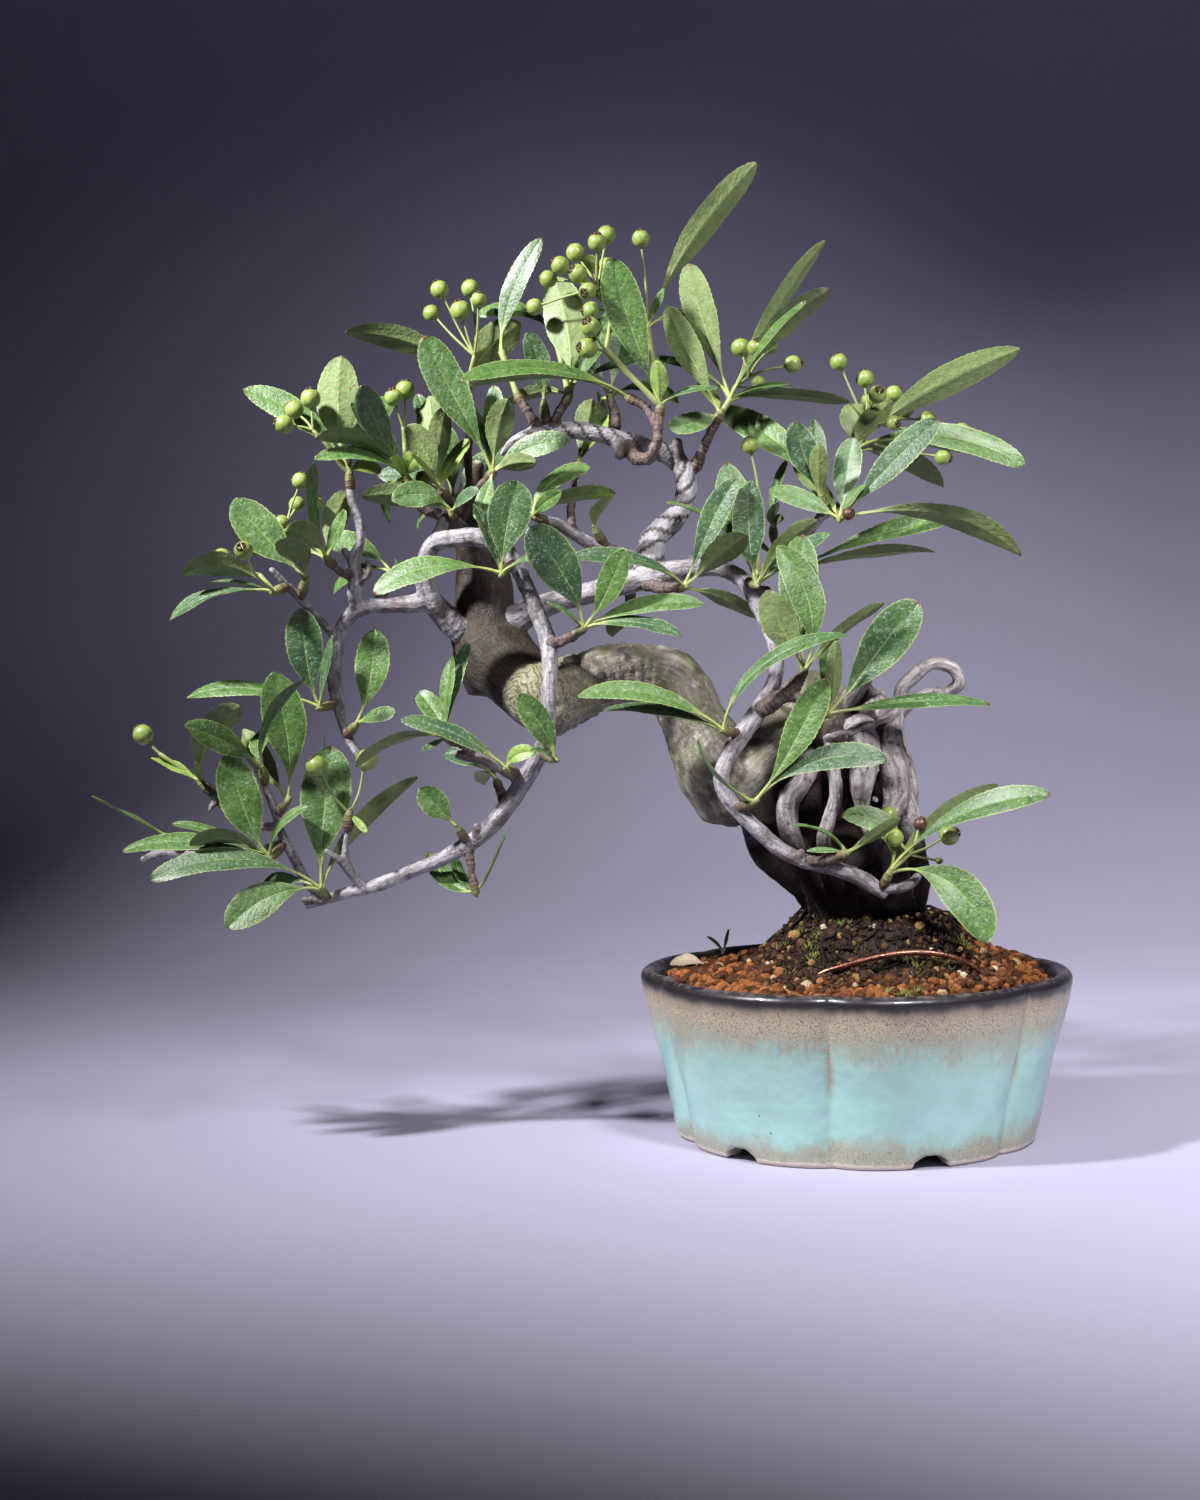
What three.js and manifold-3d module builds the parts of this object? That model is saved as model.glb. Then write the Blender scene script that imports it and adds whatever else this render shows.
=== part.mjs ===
// Pyracantha bonsai in a six-lobed glazed pot. Millimetres, +Z up, the viewer's side is -Y.
import * as THREE from 'three';
import { mergeVertices } from 'three/addons/utils/BufferGeometryUtils.js';
import Module from 'manifold-3d';

const wasm = await Module();
wasm.setup();

// Driving dimensions of the pot
const POT_HEIGHT = 43.2;
const RIM_RADIUS = 56;
const FOOT_RADIUS = 46.7;
const LOBES = 6;
const LOBE_TURN = 16.5;
const NOTCH_DEPTH = 0.05;
const COLUMN_ANGLES = [0, 5, 20, 40, 55];
const FLOOR_TOP = 6.5;
const FOOT_RECESS = 3.6;
const DRAIN_RADIUS = 5;
const FOOT_CUT_WIDTH = 10;
const FOOT_CUT_HEIGHT = 3.4;

// Driving dimensions of the soil and of what stands in it
const GAP = 0.3;
const SOIL_EDGE = 40;
const MOUND_HEIGHT = 17;
const MOUND_REACH = 13;
const MOUND_SHELF = 3;
const LEFT_REACH = 0.75;
const GRAIN_RELIEF = 0.9;
const STEM_X = 4;
const STEM_RADIUS = 17;
const STEM_FOOT = 25;
const STEM_TOP = 56.5;
const STEM_SIDES = 18;
const WIRE_RADIUS = 0.75;
const NET_RADIUS = 9;
const NET_EYE = 2.4;
const NET_EYES = 1;

// Driving dimensions of leaves and berries
const KEEL = 0.5;
const EDGE_OUT = Math.sin(Math.PI / 3);
const STALK_HALF_WIDTH = 0.42;
const BUD_LENGTH = 2.8;
const BUD_RADIUS = 1.5;
const PEDICEL_RADIUS = 0.42;
const SHOOT_RADIUS = 0.75;
const RACHIS_RADIUS = 0.6;

// Line of sight that the places below were read along
const EYE = new THREE.Vector3(-65.5, -580, 123);

// A place [x, z, y] is read on the upright plane through the pot's middle, then moved to its depth y
function place([x, z, y = 0]) {
  const k = 1 + y / -EYE.y;
  return new THREE.Vector3(EYE.x + (x - EYE.x) * k, y, EYE.z + (z - EYE.z) * k);
}

// Small seeded generator, so that every build is the same
function seeded(seed) {
  let state = seed >>> 0;
  return () => {
    state = (state + 0x6d2b79f5) >>> 0;
    let t = Math.imul(state ^ (state >>> 15), 1 | state);
    t = (t + Math.imul(t ^ (t >>> 7), 61 | t)) ^ t;
    return ((t ^ (t >>> 14)) >>> 0) / 4294967296;
  };
}

// Closed geometry to solid, without the triangles that shrink to a line at a point or on the axis
function solid(geometry) {
  geometry.deleteAttribute('normal');
  geometry.deleteAttribute('uv');
  const merged = mergeVertices(geometry, 1e-4);
  const corners = [];
  for (let i = 0; i < merged.index.count; i += 3) {
    const [a, b, c] = [0, 1, 2].map((k) => merged.index.getX(i + k));
    if (a !== b && b !== c && c !== a) corners.push(a, b, c);
  }
  return new wasm.Manifold(new wasm.Mesh({
    numProp: 3,
    vertProperties: new Float32Array(merged.attributes.position.array),
    triVerts: new Uint32Array(corners),
  }));
}

function join(solids) {
  return solids.reduce((sum, one) => sum.add(one));
}

// The largest body of a solid, with any sealed hollow or loose scrap left out
function oneBody(shape) {
  const bodies = shape.decompose();
  return bodies.reduce((best, body) => (body.volume() > best.volume() ? body : best));
}

function meshOf(shape, name, material) {
  const { vertProperties, triVerts, numProp } = shape.getMesh();
  const position = new Float32Array((vertProperties.length / numProp) * 3);
  for (let i = 0; i < position.length / 3; i += 1) {
    for (let k = 0; k < 3; k += 1) position[i * 3 + k] = vertProperties[i * numProp + k];
  }
  const geometry = new THREE.BufferGeometry();
  geometry.setAttribute('position', new THREE.BufferAttribute(position, 3));
  geometry.setIndex(new THREE.BufferAttribute(new Uint32Array(triVerts), 1));
  geometry.computeVertexNormals();
  const mesh = new THREE.Mesh(geometry, material);
  mesh.name = name;
  return mesh;
}

// A cylinder bent so that ring i sits at rings[i]: { centre, radius, side, up }. A blade's rings also
// have their own thickness.
function bend(rings, sides) {
  const steps = rings.length - 1;
  const geometry = new THREE.CylinderGeometry(1, 1, 1, sides, steps);
  const spot = geometry.attributes.position;
  const v = new THREE.Vector3();
  for (let i = 0; i < spot.count; i += 1) {
    const ring = rings[Math.round((spot.getY(i) + 0.5) * steps)];
    v.copy(ring.centre);
    v.addScaledVector(ring.side, spot.getX(i) * ring.radius);
    v.addScaledVector(ring.up, spot.getZ(i) * (ring.thick ?? ring.radius));
    spot.setXYZ(i, v.x, v.y, v.z);
  }
  return solid(geometry);
}

// Rings along a smooth path of [point, radius], with rounded ends where they are thick
function ringsAlong(path, perSpan, roundStart, roundEnd) {
  const curve = new THREE.CatmullRomCurve3(path.map((p) => p.at), false, 'centripetal');
  const count = (path.length - 1) * perSpan;
  const rings = [];
  let side = null;
  for (let i = 0; i <= count; i += 1) {
    const t = i / count;
    const tangent = curve.getTangent(t);
    if (!side) {
      side = new THREE.Vector3(0, 1, 0).cross(tangent);
      if (side.length() < 0.1) side.set(1, 0, 0).cross(tangent);
    }
    side.addScaledVector(tangent, -side.dot(tangent)).normalize();
    const k = Math.min(Math.floor(t * (path.length - 1)), path.length - 2);
    const share = t * (path.length - 1) - k;
    const radius = path[k].r + (path[k + 1].r - path[k].r) * share;
    const up = side.clone().cross(tangent);
    rings.push({ centre: curve.getPoint(t), radius, side: side.clone(), up, tangent });
  }
  if (roundStart) rings.unshift(endRing(rings[0], -1));
  if (roundEnd) rings.push(endRing(rings.at(-1), 1));
  return rings;
}

// The one smaller ring that rounds off the end of a thick limb, this far round the end's quarter circle
const END_ANGLE = THREE.MathUtils.degToRad(55);

function endRing(ring, way) {
  const centre = ring.centre.clone();
  centre.addScaledVector(ring.tangent, way * ring.radius * Math.sin(END_ANGLE));
  return { ...ring, centre, radius: ring.radius * Math.cos(END_ANGLE) };
}

// The room that a thin thing takes in the soil: its own line, longer by the gap, and wider by it even
// at the middle of a flat side
function roomFor(places, sides) {
  const wider = GAP / Math.cos(Math.PI / sides);
  const rings = ringsAlong(places.map(([x, z, y, r]) => ({ at: place([x, z, y]), r: r + wider })), 1);
  [rings[0], rings.at(-1)].forEach((ring, i) => ring.centre.addScaledVector(ring.tangent, i ? GAP : -GAP));
  return bend(rings, sides);
}

// A limb from places [x, z, y, radius]
function limb(places, sides, perSpan = 1, roundStart = false, roundEnd = false) {
  const path = places.map(([x, z, y, r]) => ({ at: place([x, z, y]), r }));
  return bend(ringsAlong(path, perSpan, roundStart, roundEnd), sides);
}

// Pot and soil are turned on the lathe, then drawn in at the notches between the lobes
function lobed(profile, inward) {
  const columns = LOBES * COLUMN_ANGLES.length;
  const points = profile.map(([r, z]) => new THREE.Vector2(r, z));
  const geometry = new THREE.LatheGeometry(points, columns);
  const spot = geometry.attributes.position;
  for (let i = 0; i < spot.count; i += 1) {
    const column = Math.floor(i / points.length) % columns;
    const radius = points[i % points.length].x;
    const lobe = Math.floor(column / COLUMN_ANGLES.length);
    const degrees = lobe * (360 / LOBES) + COLUMN_ANGLES[column % COLUMN_ANGLES.length];
    const angle = THREE.MathUtils.degToRad(degrees + LOBE_TURN);
    const drawn = (1 - Math.abs(Math.sin(THREE.MathUtils.degToRad(degrees * (LOBES / 2))))) ** 3;
    const share = 1 - NOTCH_DEPTH * drawn * THREE.MathUtils.smoothstep(radius, 30, 46);
    const r = Math.max(radius * share - inward, 0);
    spot.setXYZ(i, r * Math.cos(angle), r * Math.sin(angle), spot.getY(i));
  }
  return geometry;
}

// Swaps the winding of a geometry whose faces came out inside out
function flipped(geometry) {
  const index = geometry.index;
  for (let i = 0; i < index.count; i += 3) {
    const first = index.getX(i);
    index.setX(i, index.getX(i + 2));
    index.setX(i + 2, first);
  }
  return geometry;
}

function rightWayOut(make) {
  const shape = solid(make());
  return shape.volume() > 0 ? shape : solid(flipped(make()));
}

const POT_PROFILE = [
  [DRAIN_RADIUS, FOOT_RECESS], [DRAIN_RADIUS, FLOOR_TOP], [42.5, FLOOR_TOP], [44.2, 9],
  [50.2, 38.6], [51.4, 42], [53.3, POT_HEIGHT], [RIM_RADIUS - 0.4, 41.6],
  [54.6, 35], [50.6, 20], [FOOT_RADIUS, 1.2], [FOOT_RADIUS - 1.2, 0],
  [41.2, 0], [40, FOOT_RECESS], [DRAIN_RADIUS, FOOT_RECESS],
];

function makePot() {
  let pot = rightWayOut(() => lobed(POT_PROFILE, 0));
  const half = FOOT_CUT_WIDTH / 2;
  const outline = new THREE.Shape([
    [-half - 1, -1], [half + 1, -1], [half - 1, 2.2], [1.6, FOOT_CUT_HEIGHT], [-1.6, FOOT_CUT_HEIGHT],
    [-half + 1, 2.2],
  ].map(([x, y]) => new THREE.Vector2(x, y)));
  for (let i = 0; i < LOBES; i += 1) {
    const cut = new THREE.ExtrudeGeometry(outline, { depth: 24, bevelEnabled: false });
    cut.rotateX(Math.PI / 2);
    cut.translate(0, -36, 0);
    cut.rotateZ(THREE.MathUtils.degToRad(LOBE_TURN + 30 + 90 + (i * 360) / LOBES));
    pot = pot.subtract(solid(cut));
  }
  return pot;
}

function moundAt(x, y) {
  const away = Math.max(Math.hypot(x - STEM_X, y) - STEM_RADIUS - MOUND_SHELF, 0);
  const reach = x < STEM_X ? MOUND_REACH * LEFT_REACH : MOUND_REACH;
  return SOIL_EDGE + MOUND_HEIGHT * Math.exp(-away / reach);
}

function makeSoil(...rooms) {
  const bottom = FLOOR_TOP + GAP;
  const wall = [[42.4, bottom], [44.1, 9.2], [50.1, SOIL_EDGE - 1.5]];
  const top = [47.5, 42.5, 37, 31, 26, 21.5, 14, 0].map((r) => [r, 60]);
  const draw = seeded(11);
  const reliefs = new Map();
  const soil = rightWayOut(() => {
    const geometry = lobed([[0, bottom], ...wall, ...top], GAP * 1.2);
    const spot = geometry.attributes.position;
    for (let i = 0; i < spot.count; i += 1) {
      if (spot.getZ(i) < 59) continue;
      const key = `${spot.getX(i).toFixed(2)},${spot.getY(i).toFixed(2)}`;
      if (!reliefs.has(key)) reliefs.set(key, (draw() - 0.5) * 2 * GRAIN_RELIEF);
      spot.setZ(i, moundAt(spot.getX(i), spot.getY(i)) + reliefs.get(key));
    }
    return geometry;
  });
  const hole = new THREE.CylinderGeometry(STEM_RADIUS + GAP + 0.05, STEM_RADIUS + GAP + 0.05, 60, STEM_SIDES);
  hole.rotateX(Math.PI / 2);
  hole.translate(STEM_X, 0, STEM_FOOT - GAP + 30);
  const netRoom = new THREE.CylinderGeometry(NET_RADIUS + GAP * 2, NET_RADIUS + GAP * 2, 4, 16);
  netRoom.rotateX(Math.PI / 2);
  netRoom.translate(0, 0, FLOOR_TOP + GAP + 1 + GAP - 2);
  const cuts = [solid(hole), solid(netRoom), ...rooms];
  return oneBody(cuts.reduce((rest, cut) => rest.subtract(cut), soil));
}

// Copper-coloured wire: an arc in front of the trunk with both ends in the soil
const WIRE_ARC = [[-13, 37, -27], [-9, 41.2, -28], [-3, 43.3, -29], [5, 45.4, -29.5], [13, 46.6, -29.5],
  [21, 46.4, -29], [28, 44.6, -28], [33, 41.5, -27], [36, 37, -26]];

function makeWire() {
  return limb(WIRE_ARC.map((at) => [...at, WIRE_RADIUS]), 5);
}

function makeNet() {
  const disc = new THREE.CylinderGeometry(NET_RADIUS, NET_RADIUS, 1, 16);
  disc.rotateX(Math.PI / 2);
  disc.translate(0, 0, FLOOR_TOP + GAP + 0.5);
  let net = solid(disc);
  for (let i = -NET_EYES; i <= NET_EYES; i += 1) {
    const eye = new THREE.BoxGeometry(NET_EYE, NET_RADIUS * 1.2, 6);
    eye.translate(i * NET_EYE * 1.7, 0, FLOOR_TOP);
    net = net.subtract(solid(eye));
  }
  return net;
}

// Wood, as places [x, z, y, radius]. First the thick pieces, each with rounded ends.
const TRUNK = [
  [[3.5, 55, 0.5, 14.5], [2.5, 63.5, 1, 16.3], [-3, 73, 1, 16.5], [-8, 81, 1, 14.5], [-8, 90, 2, 13],
    [-8, 100, 2, 13.5], [-9, 108, 2, 11.5], [-12, 115, 3, 8]],
  [[-10, 104, 2, 12], [-20, 97, 0, 12.5], [-29, 89.5, -2, 12]],
  [[-29.5, 88.5, -2, 11.6], [-36, 97.5, -3, 10.6], [-40.7, 107, -3, 8.7], [-44.2, 115, -3, 8.5]],
  [[-43.5, 113.5, -3, 8.2], [-47.5, 118.6, -3, 8.2], [-53.5, 120.2, -3, 7.8], [-62, 120, -4, 7.9],
    [-70, 117.3, -6, 8.7], [-77.5, 114.3, -8.5, 9.4], [-81.5, 113.6, -9.5, 9.2]],
  [[-80, 114, -6, 8.6], [-88, 121, 2, 9.4], [-93.5, 128, 7.5, 10.2], [-94.8, 136, 9, 8.3],
    [-95, 145, 9, 7.3], [-96, 152, 8, 6.4]],
  [[-96, 117.5, 8, 5.2], [-95.5, 122, 8, 8.4], [-94, 127, 8, 9.5]],
  [[-96, 151, 8, 6], [-98, 157, 6, 5], [-98.3, 163.5, 4, 3.4], [-97, 169.5, 2, 2.3], [-96, 174.8, 0, 1.7]],
];

// Roots that stand clear of the ground and the lumps where they join
const ROOTS = [
  [[-11, 98, -8, 4], [-13.5, 91.5, -12.5, 2.8], [-16.8, 86.5, -14.5, 2.9], [-17, 81, -15, 2.9],
    [-15, 75, -14.5, 2.5], [-12, 68, -13, 2.4], [-8.4, 61.5, -10.8, 2.4],
    [-6.8, 58.5, -9.5, 2.3], [-6, 54, -9, 2.2]],
  [[-6, 101, -9, 2.8], [-5, 94, -14, 1.9], [-4.4, 88, -15.5, 1.7], [-6.3, 81.5, -16, 1.8],
    [-7.6, 76, -15.5, 1.9], [-5, 67, -14, 2.2], [-2.5, 58.5, -11.5, 2.2],
    [-2, 54, -10, 2.2]],
  [[2, 106, -9, 4.5], [3.2, 98, -13, 3.8], [2.2, 91, -14.5, 3.2], [2.4, 85, -14.5, 1.9],
    [3.5, 77, -13, 1.3],
    [4, 68, -13.5, 2]],
  [[9, 108, -5, 4.5], [9.5, 101, -9, 3.8], [11.3, 94.5, -9, 4.2], [11.5, 90, -8, 4.2], [10.5, 84, -10, 2.9],
    [7, 79, -13, 2.5], [3.3, 73.6, -15, 2.5], [-0.5, 69.2, -16, 2.4], [-1, 63, -14.5, 2],
    [-0.5, 58, -13, 2], [0, 54, -11, 2]],
  [[9, 92, -3, 5], [13, 84, -4, 4], [15.2, 78, -6, 3.5], [15.7, 72, -8, 3.6], [16.5, 66, -8, 3.6],
    [15.5, 59.5, -7, 3.2], [15, 54, -6, 3]],
  [[-24, 84, 2, 6], [-22, 76, 0, 6], [-17, 70.5, -3, 6], [-9, 63, -4, 5], [-6, 56, -3, 4.8]],
  [[-7, 103, -12, 0.9], [-2, 104.3, -13.5, 0.8], [4, 105.8, -14, 0.8], [9.5, 108.3, -11, 0.9],
    [12, 110, -8, 0.9]],
  [[4, 103, 0, 8], [4.5, 109, 0, 6.5], [5, 113, 1, 4.5]],
  [[-5, 104, -5, 3.6], [-2.2, 111, -5, 2.5], [1.2, 115.5, -4, 2.3], [3, 118, -3, 1.9], [4, 113, 2, 2.2],
    [5, 107, 4, 2.6]],
  [[8, 104, 0, 2.4], [12, 110.5, -1, 2.1], [12.8, 115.3, -2, 1.9], [16.5, 119, -2, 1.9],
    [21, 121.8, -1, 1.8],
    [26, 120.5, 0, 1.8], [28, 117, 1, 1.7], [25, 114.6, 2, 1.6], [19, 114, 3, 1.6], [13, 110, 3, 2],
    [9, 103, 3, 2.4]],
  [[3, 104, 9, 4.5], [2, 96, 14, 3.2], [3.5, 88, 15.5, 2.8], [2, 80, 15, 2.6], [5, 70, 14, 2.6],
    [7, 61, 11, 2.6], [6, 54, 10, 2.6]],
  [[-8, 102, 9, 4.5], [-11, 93, 14, 3.1], [-10, 84, 15.8, 2.9], [-13, 76, 14.5, 2.7], [-8, 66, 14, 2.6],
    [-4, 60, 11, 2.6], [-3, 54, 10, 2.4]],
  [[9, 106, 5, 4.2], [12, 98, 9, 3.4], [14, 89, 9.5, 3.2], [13, 80, 10, 3], [15, 70, 10, 3], [14, 60, 8, 3],
    [13, 54, 7, 3]],
];

// Branches, from the trunk outwards
const BRANCHES = {
  left: [[-97, 130, 7, 5], [-101.5, 132.3, 4, 3.9], [-105.5, 136, 2, 3.3], [-109.3, 139.5, 0, 2.8],
    [-114, 138.9, -0.5, 2.4], [-121.5, 138.6, -1, 2.1], [-128, 137.6, -2, 2.1], [-131.8, 133.3, -2, 1.9],
    [-133.6, 127, -2.5, 2.1], [-134.3, 120, -3, 1.9], [-133.2, 113, -3.5, 1.7], [-131.3, 106.5, -4, 1.4],
    [-129.7, 102.3, -5, 1.1], [-128.2, 99.9, -6, 0.9]],
  leftUpper: [[-127.5, 137.8, -1.5, 2], [-128.3, 142, -2, 2.1], [-128, 146, -2, 2],
    [-128.7, 150.5, -3, 1.7],
    [-126.8, 155, -4, 1.3], [-127, 160.5, -5, 1.2], [-128.8, 165.5, -6, 1.1], [-129.1, 169.6, -6, 1.2]],
  weeping: [[-108, 138.5, 0, 2.8], [-110.3, 145, -2, 2.6], [-110, 150.3, -4, 2.3], [-107.5, 154.6, -6, 2.3],
    [-103, 155.6, -8, 2.3], [-97, 156, -10, 2.5], [-91.5, 154.4, -12, 2.4], [-87.3, 149.8, -13.5, 2.2],
    [-84.3, 143.5, -14, 2.2], [-81.4, 136.5, -14.5, 2.2], [-78.8, 129.5, -16, 2.2],
    [-78.2, 122.5, -19.5, 2.1],
    [-78.6, 115.5, -22.3, 2], [-78.8, 108, -21.8, 2], [-80.8, 100.5, -19.5, 2.2], [-85.5, 92.5, -17, 2.4],
    [-90.5, 85.2, -15, 2.3], [-97, 78.6, -14, 2.2], [-105.5, 73.4, -13, 2], [-114.5, 69.6, -12, 1.9],
    [-124, 66, -11, 1.8], [-132, 64, -11, 1.6], [-138.8, 62.2, -11, 1.4], [-142.5, 60.9, -11, 1]],
  outerTwig: [[-138, 62.4, -11, 1.3], [-142.6, 67.8, -11, 1.3], [-145.4, 73.5, -11, 1.3],
    [-148.3, 79, -11, 1.2],
    [-149.8, 84.5, -11, 1.2], [-151.7, 90, -12, 1.1], [-153.2, 94, -13, 1], [-156, 98.3, -14, 0.6],
    [-159.2, 102, -15, 0.5]],
  greyTwig: [[-147.4, 77.4, -11, 1.2], [-153, 76, -9, 1.1], [-162, 74.8, -8, 1], [-172, 74.4, -8, 1.2],
    [-180.5, 75, -8, 1.2], [-184.5, 73.3, -8, 1.1]],
  brownTwig: [[-149, 81.5, -11, 1.2], [-154, 82, -8, 1.2], [-160, 84.6, -8, 1.4], [-163.5, 87.7, -9, 1.4],
    [-166.9, 91.2, -10, 1.1]],
  darkTwig: [[-127, 65, -11.5, 1.3], [-130.5, 69, -13, 1.2], [-134, 73, -15, 0.9],
    [-137.2, 75.3, -16, 0.6]],
  clusterTwig: [[-130.3, 69, -13, 0.9], [-131.8, 73, -14, 1.1], [-131.8, 77.3, -14.5, 0.8],
    [-131.2, 81, -15, 0.6]],
  leftTwig: [[-133, 129.8, -2.5, 1.5], [-138, 135.5, -6, 1.1], [-142, 140, -9, 1.2], [-146, 144.2, -12, 1],
    [-150, 148.4, -14, 0.8]],
  right: [[-92, 131.5, 8, 5.5], [-84.5, 135.8, 5, 3.8], [-76, 139.2, 3, 3], [-66, 141.7, 1, 2.9],
    [-57, 144, 0, 3.1], [-49, 145.9, -1, 3], [-41, 147.2, -2, 2.5], [-33.5, 147, -3, 2.2],
    [-27.8, 143.9, -4, 2.2], [-24.5, 138, -5, 2], [-21.2, 131, -8, 1.9], [-19.4, 124, -12, 1.9],
    [-20.5, 116.8, -15, 2], [-24.5, 109.8, -17.5, 2.4], [-29, 103.6, -19, 2.4], [-32.8, 97.5, -20, 2.2],
    [-34, 91.8, -20.5, 2.1], [-31.4, 86, -21, 2], [-25.5, 80, -21, 2.1], [-18.8, 74, -21, 2],
    [-13.2, 71.1, -21, 1.9], [-6, 69.2, -21, 1.9], [0.8, 66.8, -20, 2], [5, 64.2, -20, 2],
    [8, 61.6, -20, 1.2]],
  rightTwig: [[-27.5, 143.5, -4, 1.6], [-20.8, 146.6, 0, 1.5], [-14.5, 151.5, 1, 1.3], [-10, 157, 0, 1.2],
    [-7, 160.7, -2, 1.4], [-3.4, 162.4, -3, 1.4], [-0.8, 163.7, -3, 1.1]],
  upperLoop: [[-54, 144.6, 0, 3.4], [-51.8, 150, 2, 3.9], [-51, 155, 4, 3.5], [-46, 159.8, 5, 3.2],
    [-42.8, 164.8, 6, 2.8], [-42.3, 170, 6, 2.8], [-44.2, 174.4, 6, 2.8], [-48.8, 177.4, 5, 2.7],
    [-54.5, 179.4, 4, 2.5], [-61, 181.2, 3, 2.4], [-67, 182.6, 2, 2.4], [-73.5, 183.3, 1, 2.3],
    [-80, 182.8, 0, 2], [-86, 180.5, -2, 1.7], [-89.6, 177.4, -3, 1]],
  crossTwig: [[-53.5, 150.3, 3, 2.3], [-59.5, 151.2, 2, 1.9], [-66, 153.5, 0, 1.9], [-71, 156.2, -1, 1.7],
    [-76, 159.2, -2, 1.5], [-79.6, 160.4, -3, 1.1]],
  ringedSpur: [[8, 63.5, -20, 1.4], [12, 63.7, -21, 1.4], [15.5, 65.2, -22, 1.2], [16.8, 66.8, -22, 1]],
};

// Short stubs, cut ends and knobs: [start], ..., [end]
const STUBS = [
  [[-85.5, 93, -17, 1.7], [-95, 98, -16, 1.6], [-102.6, 99.8, -15, 1.3]],
  [[-16.5, 113.8, -20, 1.6], [-14, 113.6, -22, 1.2]],
  [[-44, 174.5, 5, 1.7], [-44.7, 180.3, 3, 1.3]],
  [[-107.5, 154, -6, 2], [-105.2, 160, -4, 1.4], [-104.2, 163.7, -3, 1]],
  [[-59.5, 180.5, 3, 2.3], [-59.4, 176.4, 0, 1.4]],
];

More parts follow.
